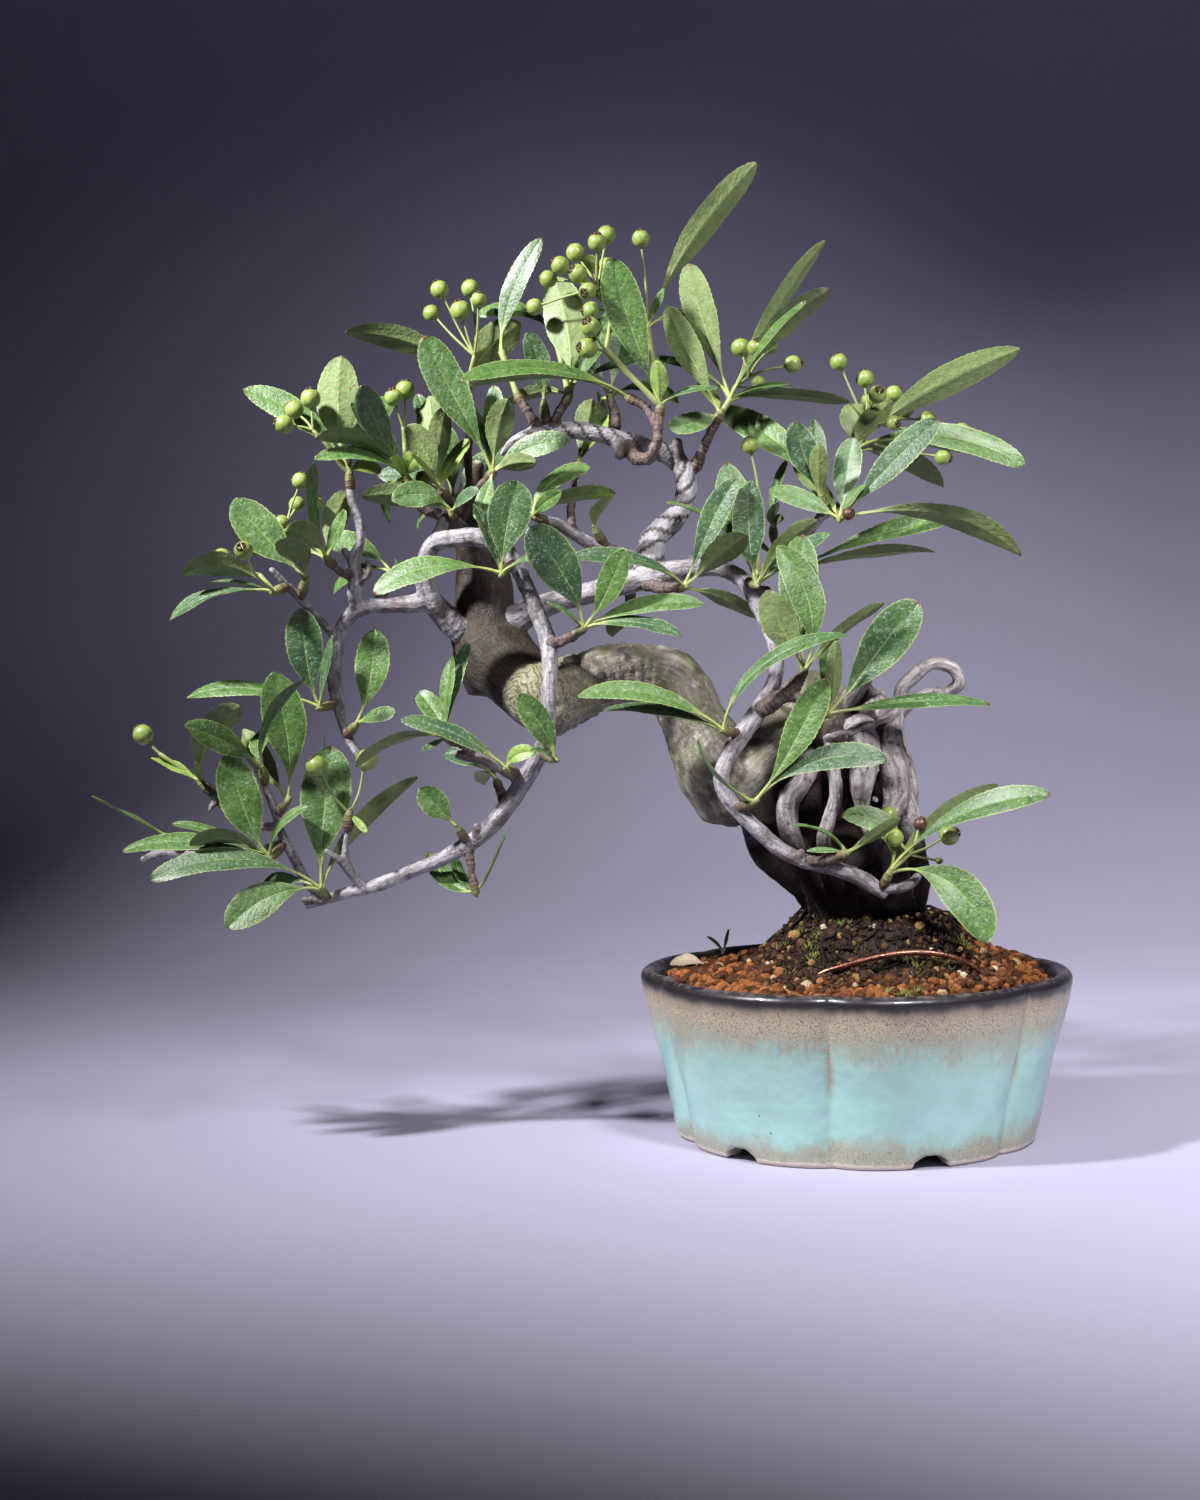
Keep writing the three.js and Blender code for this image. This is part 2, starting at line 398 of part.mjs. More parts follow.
// Leaf sprays. stem is the wooden spur, [x, z, y, radius]. A leaf is [tip x, tip z, tip depth past
// the bud, width, turn, rise]: turn 0 shows its upper face, 180 its underside, and 90 has the upper
// face up; rise is how far its middle arches over the straight line. A berry is [x, z, depth past the
// bud, radius]. rachis is the green stalk that carries a bunch. Each shoot starts a further bud.
const SPRAYS = [
  { name: 'spray_far_left',
    stem: [[-166, 90.3, -10, 1.1], [-167.8, 92, -10.3, 0.9]],
    leaves: [[-182, 100, 2, 4, 50, 0.5], [-158.7, 113, -13, 9.5, 150, 3]],
    rachis: [[-170, 94, 1], [-179.8, 101, 1]],
    berries: [[-184, 106, 2, 2.7]] },
  { name: 'spray_twig_bud',
    stem: [[-152.7, 93, -13, 0.9], [-152.9, 95, -14.5, 0.8]],
    leaves: [[-141.8, 120, -8, 5.5, -60, 4], [-173, 108.3, 9, 7.5, 24, 1], [-150, 108, 15, 7, 34, 2]] },
  { name: 'spray_twig_side',
    stem: [[-149.9, 84.5, -11, 1], [-147.8, 87, -12, 0.9]],
    leaves: [[-150, 121.8, -2, 11, 5, 1], [-158, 107, 6, 7, 160, -1]] },
  { name: 'spray_left_fork',
    stem: [[-148, 77, -11.5, 1], [-150.3, 74.6, -14, 0.9]],
    leaves: [[-162, 101, -2, 10.5, 0, -1], [-141.2, 86.8, -4, 4.5, 65, 3], [-172.5, 77.2, -7, 8, 120, 4],
      [-190, 75.6, -2, 7, 50, 4], [-177, 82.7, 6, 4.5, 50, 2]] },
  { name: 'spray_grey_twig',
    stem: [[-174.5, 75, -8, 0.9], [-175.8, 77, -8.4, 0.8]],
    leaves: [[-197.5, 90.2, 2, 4.5, 80, 0]] },
  { name: 'spray_low_end',
    stem: [[-137, 62.6, -12, 1.1], [-137.8, 64, -14, 1]],
    leaves: [[-135, 102.4, 2, 12.8, 5, 0.5], [-183, 68, -2, 7.5, 35, 6], [-163, 55.3, -10, 9.5, 20, 3],
      [-137, 105.3, 10, 4, 80, 0], [-113, 94, 16, 5.5, 140, 3], [-158, 58, 16, 8, 40, 5]] },
  { name: 'spray_low_cluster',
    stem: [[-131.3, 80.5, -15, 0.6], [-131, 83, -15.4, 0.6]],
    leaves: [],
    rachis: [],
    berries: [[-139.2, 97.3, -3, 2.7], [-126.2, 98.6, 3, 2.9]] },
  { name: 'spray_left_post',
    stem: [[-131.2, 105, -4.5, 1], [-129.6, 106.8, -6.5, 0.9]],
    leaves: [[-123.5, 132.5, 0, 9, 10, -1], [-118.5, 110.4, -8, 5, 40, 1]] },
  { name: 'spray_mid_low',
    stem: [[-97.5, 98.8, -15.5, 1.1], [-101, 101.8, -17, 0.9], [-103.5, 103.3, -18, 0.8]],
    leaves: [[-129, 97.1, -3, 5, 120, 3], [-103.5, 125.6, 3, 4.5, 45, 0.5],
      [-99.2, 128.6, 7, 5.5, 40, 1], [-112.5, 116, 9, 6, 15, 1]] },
  { name: 'spray_under_knob',
    stem: [[-86.7, 94.5, -17.5, 1.3], [-88.8, 95.3, -20.8, 1]],
    leaves: [[-117, 108.8, -3, 6, 45, 2.8]] },
  { name: 'spray_knob_front',
    stem: [[-80.8, 99.8, -20, 1.4], [-78.4, 98.7, -22.8, 1.2]],
    leaves: [[-86.6, 115.1, -4, 6.8, 10, 1]] },
  { name: 'spray_low_branch',
    stem: [[-100.5, 77, -14.5, 1.3], [-101.8, 79.2, -16, 1]],
    leaves: [[-112.5, 91.2, -3, 7, 10, 0]] },
  { name: 'spray_hanging_spur',
    stem: [[-100, 76.5, -14, 1.2], [-99.5, 70.5, -15, 1], [-98.6, 65.8, -15.5, 1]],
    leaves: [[-110.5, 74.6, 4, 5.5, 30, -2], [-104, 74, 8, 4, 40, -1]] },
  { name: 'spray_trunk_front',
    stem: [[-29.5, 104.6, -20, 0.9], [-32, 104.8, -22.5, 0.8]],
    leaves: [[-71, 114.4, -4, 6, 40, 5], [-64.5, 110.8, 1, 5.2, 55, 2.5], [-1, 129.4, -9, 6.5, 55, 6.5]] },
  { name: 'spray_elbow',
    stem: [[-30.5, 84.8, -21.5, 1.1], [-27, 86, -24, 0.9]],
    leaves: [[-40, 103.1, -4, 4.2, -78, -3], [-6.7, 118.3, -3, 8.3, 10, -0.5], [9, 97, -4, 7.3, 30, 5]] },
  { name: 'spray_low_small',
    stem: [[-13, 71.3, -21.5, 1.2], [-7.3, 70.9, -23.5, 1.3], [-3.7, 72.2, -24.5, 1.3]],
    leaves: [[12.3, 81.8, -4, 4.5, 130, 0]] },
  { name: 'spray_low_right',
    stem: [[7.5, 64, -21, 1.3], [8.7, 66.3, -22.5, 1.2]],
    leaves: [[-3, 82.6, -4, 6.5, 30, 6], [38, 90.2, 2, 5.8, 130, 2.5], [51.4, 87.3, -2, 7.5, 40, 4.5],
      [34.6, 48.9, -9, 10.6, 10, 6]],
    rachis: [[11.4, 69.5, -2], [14.5, 72.4, -3]],
    berries: [[10.7, 76.7, -2, 2.4], [25, 77.2, -4, 2.6], [17.5, 80.2, -1, 1.8]] },
  { name: 'spray_post_left',
    stem: [[-133.2, 113.8, -3.5, 1.3], [-136.6, 112.7, -7, 0.9]],
    leaves: [[-142.6, 138.2, -3, 9.4, 5, -0.5], [-134.4, 131, -6, 4.6, 65, 0],
      [-172.5, 115.4, -3, 6, 55, 4]] },
  { name: 'spray_left_outer',
    stem: [[-145.8, 143.8, -12, 1], [-147.9, 143, -14, 0.9]],
    leaves: [[-176.5, 135.4, -2, 7, 65, 3.5], [-173, 147.4, -4, 8, 135, 4.5]],
    rachis: [[-153, 147, 1]],
    berries: [[-162.7, 151.5, -1, 2.5], [-157, 153.3, 3, 2.4]] },
  { name: 'spray_left_inner',
    stem: [[-142.6, 141, -9.6, 1.1], [-141.4, 144.2, -12.5, 1]],
    leaves: [[-147.5, 156.2, -11, 9, 145, 1], [-159, 166.7, 5, 10.5, 10, -1]] },
  { name: 'spray_left_fan',
    stem: [[-128.8, 146.4, -2.5, 1.4], [-132, 147.3, -5, 1.1], [-134.3, 149.6, -7, 1]],
    leaves: [[-138.4, 175.7, -3, 5, 50, -1.5], [-146.2, 158, -10, 8, 160, 2],
      [-129.6, 168.3, 5, 7, 165, 1], [-156, 152.5, 8, 5, 150, 2]],
    rachis: [[-138.5, 154, 0], [-146, 158.2, 3], [-152.3, 158.3, 0]],
    berries: [[-157, 164, -1, 2.6], [-142, 171, 5, 2.3], [-138, 165, 8, 2.1]] },
  { name: 'spray_left_crown',
    stem: [[-129, 168.3, -6, 1.2], [-129.2, 171, -6.2, 1.1]],
    leaves: [[-130.6, 203, 0, 11, 170, -2], [-156.4, 194.8, 4, 7.5, 25, 3], [-121, 173.6, 9, 5, 30, 1],
      [-118, 192, 14, 7, 20, 2]],
    rachis: [[-131.5, 175, -1], [-134.5, 179.5, -3], [-138.5, 184, -4]],
    berries: [[-146, 185.6, -5, 2.5], [-143.2, 189.3, -1, 2.4], [-139, 192.2, -4, 2.6]] },
  { name: 'spray_crown_small',
    stem: [[-101.5, 158.5, 5, 1.9], [-106, 161.5, 2, 1.6], [-110.5, 163.8, 0, 1.4], [-113.4, 167, -1, 1.2],
      [-114.2, 169.8, -2, 1.1]],
    leaves: [[-111.6, 177.6, -7, 5.2, 10, 0.5], [-138, 182, -3, 6, 140, 4],
      [-138.3, 176.6, -6, 5, 50, 3], [-128.5, 191.1, -4, 6, 20, 1], [-125.6, 195.4, -8, 7.6, 10, -1],
      [-119, 160, 12, 7, 50, 3]],
    rachis: [[-115, 180, 3], [-115.3, 184.5, 3]],
    berries: [[-117.6, 192.2, 1, 2.4], [-114.6, 194, 4, 2.6]] },
  { name: 'spray_crown_left',
    stem: [[-100.5, 161.8, 4, 1.7], [-102.6, 164.8, 0, 1.3], [-104.6, 167, -3, 1.1]],
    leaves: [[-114.2, 185, -5, 7.2, 160, 1], [-108.4, 192.4, 6, 9, 165, 0], [-111.6, 193, 10, 5.5, 20, 1],
      [-104, 190.1, 0, 7, 145, 1], [-98.4, 181.2, 5, 5, 40, 1]] },
  { name: 'spray_crown_oval',
    stem: [[-100.3, 158, 3, 1.6], [-102.2, 159.8, -2.5, 1.3], [-102.6, 161.2, -4.5, 1.1]],
    leaves: [[-118.4, 165.6, -7, 7, 25, 3]] },
  { name: 'spray_crown_heart',
    stem: [[-97.5, 166.5, 2, 1.7], [-94.8, 169.3, -0.5, 1.4], [-93.2, 171.4, -2.5, 1.2]],
    leaves: [[-109.2, 207.9, -4, 9.8, 5, -1], [-88.1, 191.4, -6, 7.2, 172, 1],
      [-100, 193.6, 2, 4.6, 40, 0.5],
      [-91.6, 195, 6, 6.5, 20, 0], [-72.3, 180.6, -6, 6.6, 30, 2], [-81, 175, -8, 5, 160, 1]] },
  { name: 'spray_trunk_top',
    stem: [[-87.3, 149.5, -14.5, 1.3], [-89.4, 147.3, -17.5, 1.1]],
    leaves: [[-86, 170.4, -3, 10.8, 5, 0.5], [-123.4, 141.6, -5, 8, 40, 5],
      [-72.4, 151.1, -6, 5, 65, 2.5]] },
  { name: 'spray_middle',
    stem: [[-77.8, 128.2, -18, 1.4], [-74, 129.4, -20, 1.4], [-70.8, 131.2, -21.5, 1.3]],
    leaves: [[-83, 158.6, -2, 11.2, 5, 1], [-58.4, 152.7, -8, 7, 15, -0.5],
      [-38.2, 137.8, -5, 5.6, 40, 2.5],
      [-44, 129.8, -9, 5.4, 50, 2.2]] },
  { name: 'spray_right_inner',
    stem: [[-53, 143, -2.5, 1.6], [-48.5, 142.2, -5, 1.5], [-45, 142.3, -6.5, 1.2]],
    leaves: [[-72.8, 150.1, -3, 5.4, 45, 3.5], [-29.4, 170.1, -6, 7, 15, 1.5],
      [-26.6, 155.5, -9, 9, 140, 1],
      [-23.6, 134, 9, 5.6, 140, 1]] },
  { name: 'spray_right_middle',
    stem: [[-27, 144, -5, 1.6], [-25.3, 143, -8.5, 1.2]],
    leaves: [[-25.6, 169.6, -2, 8.4, 10, -1.5], [-31.6, 174.4, 5, 9.4, 5, -1],
      [-8.6, 159.2, -7, 6.2, 140, 2],
      [-5, 156.1, 0, 5.4, 55, 1], [-47.6, 164.3, 5, 4.8, 70, 5]],
    rachis: [[-24, 152, 8], [-23.6, 166, 9]],
    berries: [[-25.8, 178.6, 9, 2.3]] },
  { name: 'spray_root_left',
    stem: [[-23, 110.8, -19, 2.2], [-18.5, 113.6, -20.5, 1.9], [-15.4, 115.8, -21, 1.9],
      [-13.4, 118.6, -21.5, 1.6]],
    leaves: [[-21.6, 141.4, -4, 8.8, 170, -1], [-19, 152.8, 3, 9, 15, 4], [-12, 155.5, 9, 10, 5, 2],
      [8.5, 137.6, -5, 5, 130, 1.5]] },
  { name: 'spray_root_top',
    stem: [[-15.4, 114, -20.5, 1.4], [-11, 111.2, -19.5, 1.3], [-8, 109.8, -19, 1.2]],
    leaves: [[17.6, 137.7, -4, 11.2, 8, 1], [-7, 128.6, 3, 5.4, 20, 0.5], [-3.9, 128.1, -6, 4.4, 160, 0],
      [35.8, 111.1, -3, 6.2, 55, 2.5]] },
  { name: 'spray_right_front',
    stem: [[-7, 160.8, -2.5, 1.4], [-7.2, 163.2, -4.5, 1.2]],
    leaves: [[-14.4, 184.7, -4, 7.8, 10, -0.5], [-9.2, 185.3, 3, 5, 15, 0], [-7.8, 179, -8, 5, 165, -0.5],
      [-34, 187.9, 5, 8.2, 15, 3], [-15, 174.8, 9, 6.4, 160, 1]] },
  { name: 'spray_right_spread',
    stem: [[-3.2, 161.9, -3, 1.3], [-3, 160.2, -6, 1.2]],
    leaves: [[0.6, 180.5, 4, 7.4, 15, 0], [23, 184.8, -4, 7.8, 20, 1], [44, 149.5, -5, 8, 140, 7],
      [4, 168.2, -4, 3.6, 60, 1]] },
  { name: 'spray_right_far',
    stem: [[-1.5, 163.3, -3, 1.2], [-0.2, 166.5, 1.5, 0.9], [0, 171, 5, 0.9], [0.2, 175, 6.5, 0.9]],
    leaves: [[44, 202.6, 0, 8.4, 160, 2], [11, 189.6, -3, 6, 165, 1], [3, 189, 5, 10, 165, 0],
      [45, 172.7, 2, 8, 30, 5], [31.4, 176.4, 9, 6, 130, 2.5], [24, 167.5, 12, 6.5, 150, 3]],
    rachis: [[2.2, 180, 2], [4, 184.5, 3]],
    berries: [[-2.7, 199.8, 3, 2.4], [4, 195.4, 5, 2.5], [11.4, 191.4, 6, 2.4], [14, 187, 7, 2.3],
      [20, 184.9, 8, 2.2], [28.7, 181.6, 6, 2.4],
      [24, 175, 4, 2.2]] },
  { name: 'spray_right_low',
    stem: [[-15.8, 150.5, 1, 1.2], [-14.4, 148.4, 3.5, 1]],
    leaves: [[26, 158.2, -6, 7.4, 45, 3], [21.8, 150.7, -4, 5.8, 120, 2]] },
  { name: 'spray_right_young',
    stem: [[-19.5, 147.4, 0.5, 1.1], [-19.8, 152, 3, 0.9], [-20, 155.6, 3.2, 0.8]],
    leaves: [[-16.2, 175, 2, 4.6, 60, 1]] },
  { name: 'spray_top_right',
    stem: [[-40, 173, 6, 1.7], [-38.3, 177, 4, 1.4], [-36.5, 181, 2, 1.3], [-34.2, 185.4, 0, 1.2]],
    leaves: [[-46.6, 214.9, 0, 7.4, 170, -1], [-47, 184, -6, 5.8, 20, -1], [-38.5, 195.2, 8, 5, 40, 0]],
    rachis: [],
    shoots: [{ to: [-30.8, 190.5, 0.5],
      leaves: [[-41, 225.5, 3, 8.6, 165, -1.5], [-6, 230.9, 8, 5.8, 140, 2], [-5, 218.4, 2, 7.4, 150, 3],
        [-11, 215.4, -5, 4.4, 60, 2], [0, 189.6, -2, 5.2, 130, 1], [-11.4, 191, 4, 5, 45, 1],
        [-15.4, 194.3, -5, 4, 72, 1], [-67, 197.4, 9, 5.4, 60, 6]],
      rachis: [[-29.3, 194, -1], [-26, 196.2, -2]],
      berries: [[-28, 203.8, 0, 2.5], [-20.5, 203.9, 1, 2.2], [-14.5, 199.4, -3, 2.4],
        [-23.5, 194.6, 5, 2]] }] },
  { name: 'spray_top',
    stem: [[-57.3, 178.8, 2, 2], [-55.3, 175.9, -3, 1.7], [-51.8, 176, -5.5, 1.6],
      [-49.8, 179.8, -6.5, 1.4],
      [-49.4, 184.5, -6.5, 1.3], [-49, 187.4, -6.3, 1.2]],
    leaves: [[-60.6, 227, -3, 10, 5, -1.5], [-49.5, 200.8, -5, 5, 150, 0],
      [-33.8, 193.4, -4, 4.2, 65, 1.5]],
    rachis: [],
    shoots: [
      { to: [-52, 209, 13], leaves: [[-23.4, 251, 1, 8, 160, 2],
        [-36.4, 204, 4, 6, 40, 5]], rachis: [], berries: [[-53.3, 232, -2, 2.4]] },
      { to: [-62.6, 203.5, -1], leaves: [], rachis: [[-61.5, 214, 1], [-64.5, 219.5, 0]],
        berries: [[-67.4, 204.2, -2, 2.7], [-66.4, 213.8, 1, 2.4], [-67.2, 218.7, -4, 2.3],
          [-69.6, 223.3, -3, 2.5], [-62.2, 233, 5, 2.5], [-70.2, 228.6, 3, 2.5],
          [-74.2, 225.5, 0, 2.4], [-77.3, 222, 4, 2.3], [-81, 214.9, 5, 2.2]] }] },
  { name: 'spray_top_long',
    stem: [[-49.6, 184, -5.8, 1.3], [-52.8, 189, -3.5, 1.2], [-55.8, 190.7, -3, 1.1]],
    leaves: [[-97.6, 194.9, -8, 6, 125, 4], [-100.2, 196.4, -1, 6.6, 50, 4.5]] },
  { name: 'spray_top_broad',
    stem: [[-76.5, 184.5, 0, 1.7], [-75, 188, -2, 1.3], [-73.3, 190.5, -3, 1.2]],
    leaves: [[-75.6, 222.6, -2, 11.2, 168, 1], [-59.8, 213.9, 4, 6, 15, 1], [-88.6, 189.6, 5, 4.6, 140, 2]],
    rachis: [],
    shoots: [{ to: [-75.5, 207, 10], leaves: [[-95.9, 212.8, 0, 5.4, 50, 4]] }] },
  { name: 'spray_top_dark',
    stem: [[-78.4, 184.5, 0, 1.6], [-78.7, 188.2, -1, 1.3]],
    leaves: [[-83, 208.4, 3, 6.4, 10, 1]] },
  { name: 'spray_top_left',
    stem: [[-80, 183.5, 0, 1.7], [-82.6, 187.2, -0.5, 1.3], [-84.8, 190.8, 0, 1.2]],
    leaves: [],
    rachis: [],
    shoots: [{ to: [-89.6, 203.6, 3], leaves: [[-78.9, 232.4, -1, 6.4, 25, 2]] }] },
  { name: 'spray_crown_back',
    stem: [[-97.4, 168, 4, 1.6], [-98.4, 174, 8, 1.2], [-98.4, 184, 10, 1.1], [-98.5, 193.5, 9, 1]],
    leaves: [[-129.8, 208.9, -2, 8, 145, 3.5], [-84.6, 210.8, -5, 9.6, 165, 1.5]],
    rachis: [[-96.6, 202.5, -2]],
    berries: [[-105.3, 219.6, 0, 2.5], [-100, 214.2, -3, 2.8], [-97.4, 219.8, 1, 2.5]] },
  { name: 'spray_loop_back',
    stem: [[-72, 157.5, -1, 1.3], [-72.3, 162, 2, 1], [-71.4, 167.5, 4, 1], [-71.1, 171.8, 4.5, 0.9]],
    leaves: [[-66.4, 191.1, 7, 7.4, 165, -0.5], [-61.4, 187.4, 9, 3.8, 40, 0]] },
  { name: 'spray_loop_left',
    stem: [[-77, 159.4, -2, 1.4], [-80.5, 160.6, -3.5, 1.2]],
    leaves: [[-67, 173.8, 5, 6, 40, 3], [-60.6, 166.9, -6, 6, 130, 2]] },
  { name: 'spray_loop_young',
    stem: [[-63.3, 152.8, 0.5, 1.4], [-65.2, 156.2, -2, 1.2]],
    leaves: [[-61.4, 166.5, -5, 6, 130, 1.5]] },
  { name: 'spray_under_right',
    stem: [[-57, 142.5, 1.5, 1.3], [-57.2, 139.6, 3.5, 1.1]],
    leaves: [[-61.8, 129.9, 6, 5.6, 150, 1]] },
  { name: 'spray_back_crown',
    stem: [[-97, 156.5, 9, 1.9], [-99, 160, 14, 1.5], [-101.5, 163.5, 17, 1.2]],
    leaves: [[-122, 172, 4, 8, 40, 3], [-106, 186, 6, 8, 20, 1], [-88, 178, 8, 7.5, 30, 2],
      [-112, 158, 10, 7, 60, 3],
      [-95, 160, 20, 7, 60, 2]],
    rachis: [[-103, 168, 4]],
    berries: [[-106, 175, 7, 2.5], [-110, 171, 9, 2.4]] },
  { name: 'spray_back_loop',
    stem: [[-61, 182, 5, 1.9], [-60.5, 186, 9, 1.5], [-61.5, 190, 12, 1.2]],
    leaves: [[-74, 205, 4, 8, 20, 1], [-57, 212, 10, 7, 10, 0],
      [-44, 190, 8, 7, 60, 3], [-62, 188, 22, 7, 70, 3]] },
  { name: 'spray_back_right',
    stem: [[-42, 147.2, 0, 1.8], [-40, 150, 6, 1.5], [-38, 153.5, 10, 1.2]],
    leaves: [[-26, 164, 7, 7.5, 30, 2], [-20, 150, 9, 7, 60, 3],
      [-36, 150, 24, 7, 70, 3]] },
  { name: 'spray_back_left',
    stem: [[-122, 139, 0.5, 1.6], [-121, 142.5, 5, 1.3], [-119.5, 146, 9, 1.1]],
    leaves: [[-136, 156, 5, 7, 30, 2], [-134, 142, 8, 7, 60, 3],
      [-114, 146, 22, 7, 70, 3]] },
  { name: 'spray_back_low',
    stem: [[-90.5, 85.4, -13, 1.4], [-91, 88.5, -8, 1.2], [-92, 91.5, -4, 1.1]],
    leaves: [[-106, 100, 6, 7, 40, 2], [-96, 92, 20, 6.5, 70, 3]] },
];

// Rings of a blade from stalk to tip: share of its length, share of its half width
const BLADE_RINGS = [[0, 0], [0.28, 0.16], [0.68, 1], [0.92, 0.72], [1, 0]];
const SMALL_BLADE_RINGS = [[0, 0], [0.62, 1], [0.9, 0.68], [1, 0]];
const SMALL_WIDTH = 7;
const BERRY_RINGS = [[0, -0.95], [0.88, -0.5], [0.9, 0.45], [0, 0.95]];
const BERRY_SIDES = 5;

// Depth shifts that are tried in turn, so that a leaf or berry bends clear of what is there already
const SHIFTS = [0, -3, 3, -6, 6, -9, 9, -12, 12, -16, 16, -20, 20, -25, 25];
const CLEAR = 0.4;
const BUD_REACH = 5;

// A leaf's curve is held at these shares of its chord, and at the first also carried on along the bud.
// A cubic's middle rises by this share of what its two holds rise.
const HOLD_NEAR = 0.25;
const HOLD_FAR = 0.72;
const CARRY = 0.08;
const CUBIC_RISE = 0.75;

// One leaf from its bud; shift moves its tip in depth
function makeLeaf(bud, [x, z, deeper, width, turn, arch], shift) {
  const tip = place([x, z, bud.depth + deeper + shift]);
  const chord = tip.clone().sub(bud.at);
  const view = EYE.clone().sub(bud.at.clone().lerp(tip, 0.5)).normalize();
  const upper = view.clone().cross(chord).normalize();
  if (upper.z < 0) upper.negate();
  const hold = upper.clone().multiplyScalar(arch / CUBIC_RISE);
  const nearHold = bud.at.clone().addScaledVector(chord, HOLD_NEAR).add(hold);
  nearHold.addScaledVector(bud.along, chord.length() * CARRY);
  const farHold = bud.at.clone().addScaledVector(chord, HOLD_FAR).add(hold);
  const curve = new THREE.CubicBezierCurve3(bud.at, nearHold, farHold, tip);
  const angle = THREE.MathUtils.degToRad(turn);
  const facing = view.multiplyScalar(Math.cos(angle)).addScaledVector(upper, Math.sin(angle));
  const stations = width < SMALL_WIDTH ? SMALL_BLADE_RINGS : BLADE_RINGS;
  const rings = stations.map(([share, wide]) => {
    const tangent = curve.getTangent(share);
    const up = facing.clone().addScaledVector(tangent, -facing.dot(tangent)).normalize();
    const side = up.clone().cross(tangent);
    const end = share === 1;
    const radius = end ? 0 : Math.max((wide * width) / 2, STALK_HALF_WIDTH) / EDGE_OUT;
    return { centre: curve.getPoint(share), radius, side, up: up.negate(), thick: end ? 0 : KEEL };
  });
  return bend(rings, 3);
}

// One berry with its stalk from the nearest joint of the bunch
function makeBerry(bud, joints, [x, z, deeper, radius], shift) {
  const centre = place([x, z, bud.depth + deeper + shift]);
  const joint = joints.reduce((best, one) => (
    one.distanceTo(centre) < best.distanceTo(centre) ? one : best));
  const outward = centre.clone().sub(joint).normalize();
  const side = new THREE.Vector3(0, 1, 0).cross(outward).normalize();
  const up = side.clone().cross(outward);
  const rings = BERRY_RINGS.map(([share, along]) => ({
    centre: centre.clone().addScaledVector(outward, along * radius), radius: share * radius, side, up }));
  const stalk = [joint, rings[0].centre].map((at) => ({ centre: at, radius: PEDICEL_RADIUS, side, up }));
  return bend([...stalk, ...rings.slice(1)], BERRY_SIDES);
}

// The steps by which a bud's foot slides out along its stem until it stands clear of the wood
const SLIDE_STEP = 0.05;
const SLIDE_END = 1.4;

// A bud sits on the end of a wooden spur, or, where the stem has two places only, right on the limb
function firstBud({ stem }, wood) {
  const [start, end] = stem.slice(-2).map((at) => place(at));
  const along = end.clone().sub(start).normalize();
  const top = end.clone().addScaledVector(along, GAP + BUD_LENGTH);
  const make = (base) => bend(ringsAlong([base, top].map((at) => ({ at, r: BUD_RADIUS })), 1), 4);
  const bud = { at: end.clone().addScaledVector(along, GAP + BUD_LENGTH / 2), along, depth: stem.at(-1)[2] };
  const onSpur = end.clone().addScaledVector(along, GAP);
  let body = make(onSpur);
  for (let share = 0; stem.length === 2 && share < SLIDE_END; share += SLIDE_STEP) {
    body = make(start.clone().lerp(onSpur, share));
    if (body.minGap(wood, CLEAR) >= GAP) break;
  }
  return { bud, body };
}

// The fixed middle of a spray, and the leaves and berries that are to be placed round it
function startSpray(spray, wood) {
  const first = firstBud(spray, wood);
  const bodies = [first.body];
  const members = [];
  const grow = (bud, { leaves, rachis = [], berries = [], shoots = [] }) => {
    const joints = [bud.at, ...rachis.map(([x, z, deeper]) => place([x, z, bud.depth + deeper]))];
    if (joints.length > 1) {
      bodies.push(bend(ringsAlong(joints.map((at) => ({ at, r: RACHIS_RADIUS })), 1), 4));
    }
    berries.forEach((berry) => {
      members.push({ bud, berry, make: (shift) => makeBerry(bud, joints, berry, shift) });
    });
    leaves.forEach((leaf) => members.push({ bud, leaf, make: (shift) => makeLeaf(bud, leaf, shift) }));
    shoots.forEach((shoot) => {
      const at = place([shoot.to[0], shoot.to[1], bud.depth + shoot.to[2]]);
      const along = at.clone().sub(bud.at).normalize();
      bodies.push(bend(ringsAlong([bud.at, at].map((p) => ({ at: p, r: SHOOT_RADIUS })), 1), 5));
      grow({ at, along, depth: bud.depth + shoot.to[2] }, shoot);
    });
  };
  grow(first.bud, spray);
  return { name: spray.name, body: join(bodies), members, placed: [] };
}

function near(a, b) {
  const [p, q] = [a.boundingBox(), b.boundingBox()];
  return [0, 1, 2].every((k) => p.min[k] < q.max[k] + CLEAR && q.min[k] < p.max[k] + CLEAR);
}

// Whether a member meets a neighbour of its own spray further out than the bud they share
function crossing(one, other, bud) {
  const common = one.intersect(other);
  if (common.isEmpty()) return false;
  const box = common.boundingBox();
  const corner = [0, 1, 2].map((k) => {
    const at = bud.at.getComponent(k);
    return Math.max(Math.abs(box.min[k] - at), Math.abs(box.max[k] - at));
  });
  return Math.hypot(...corner) > BUD_REACH;
}

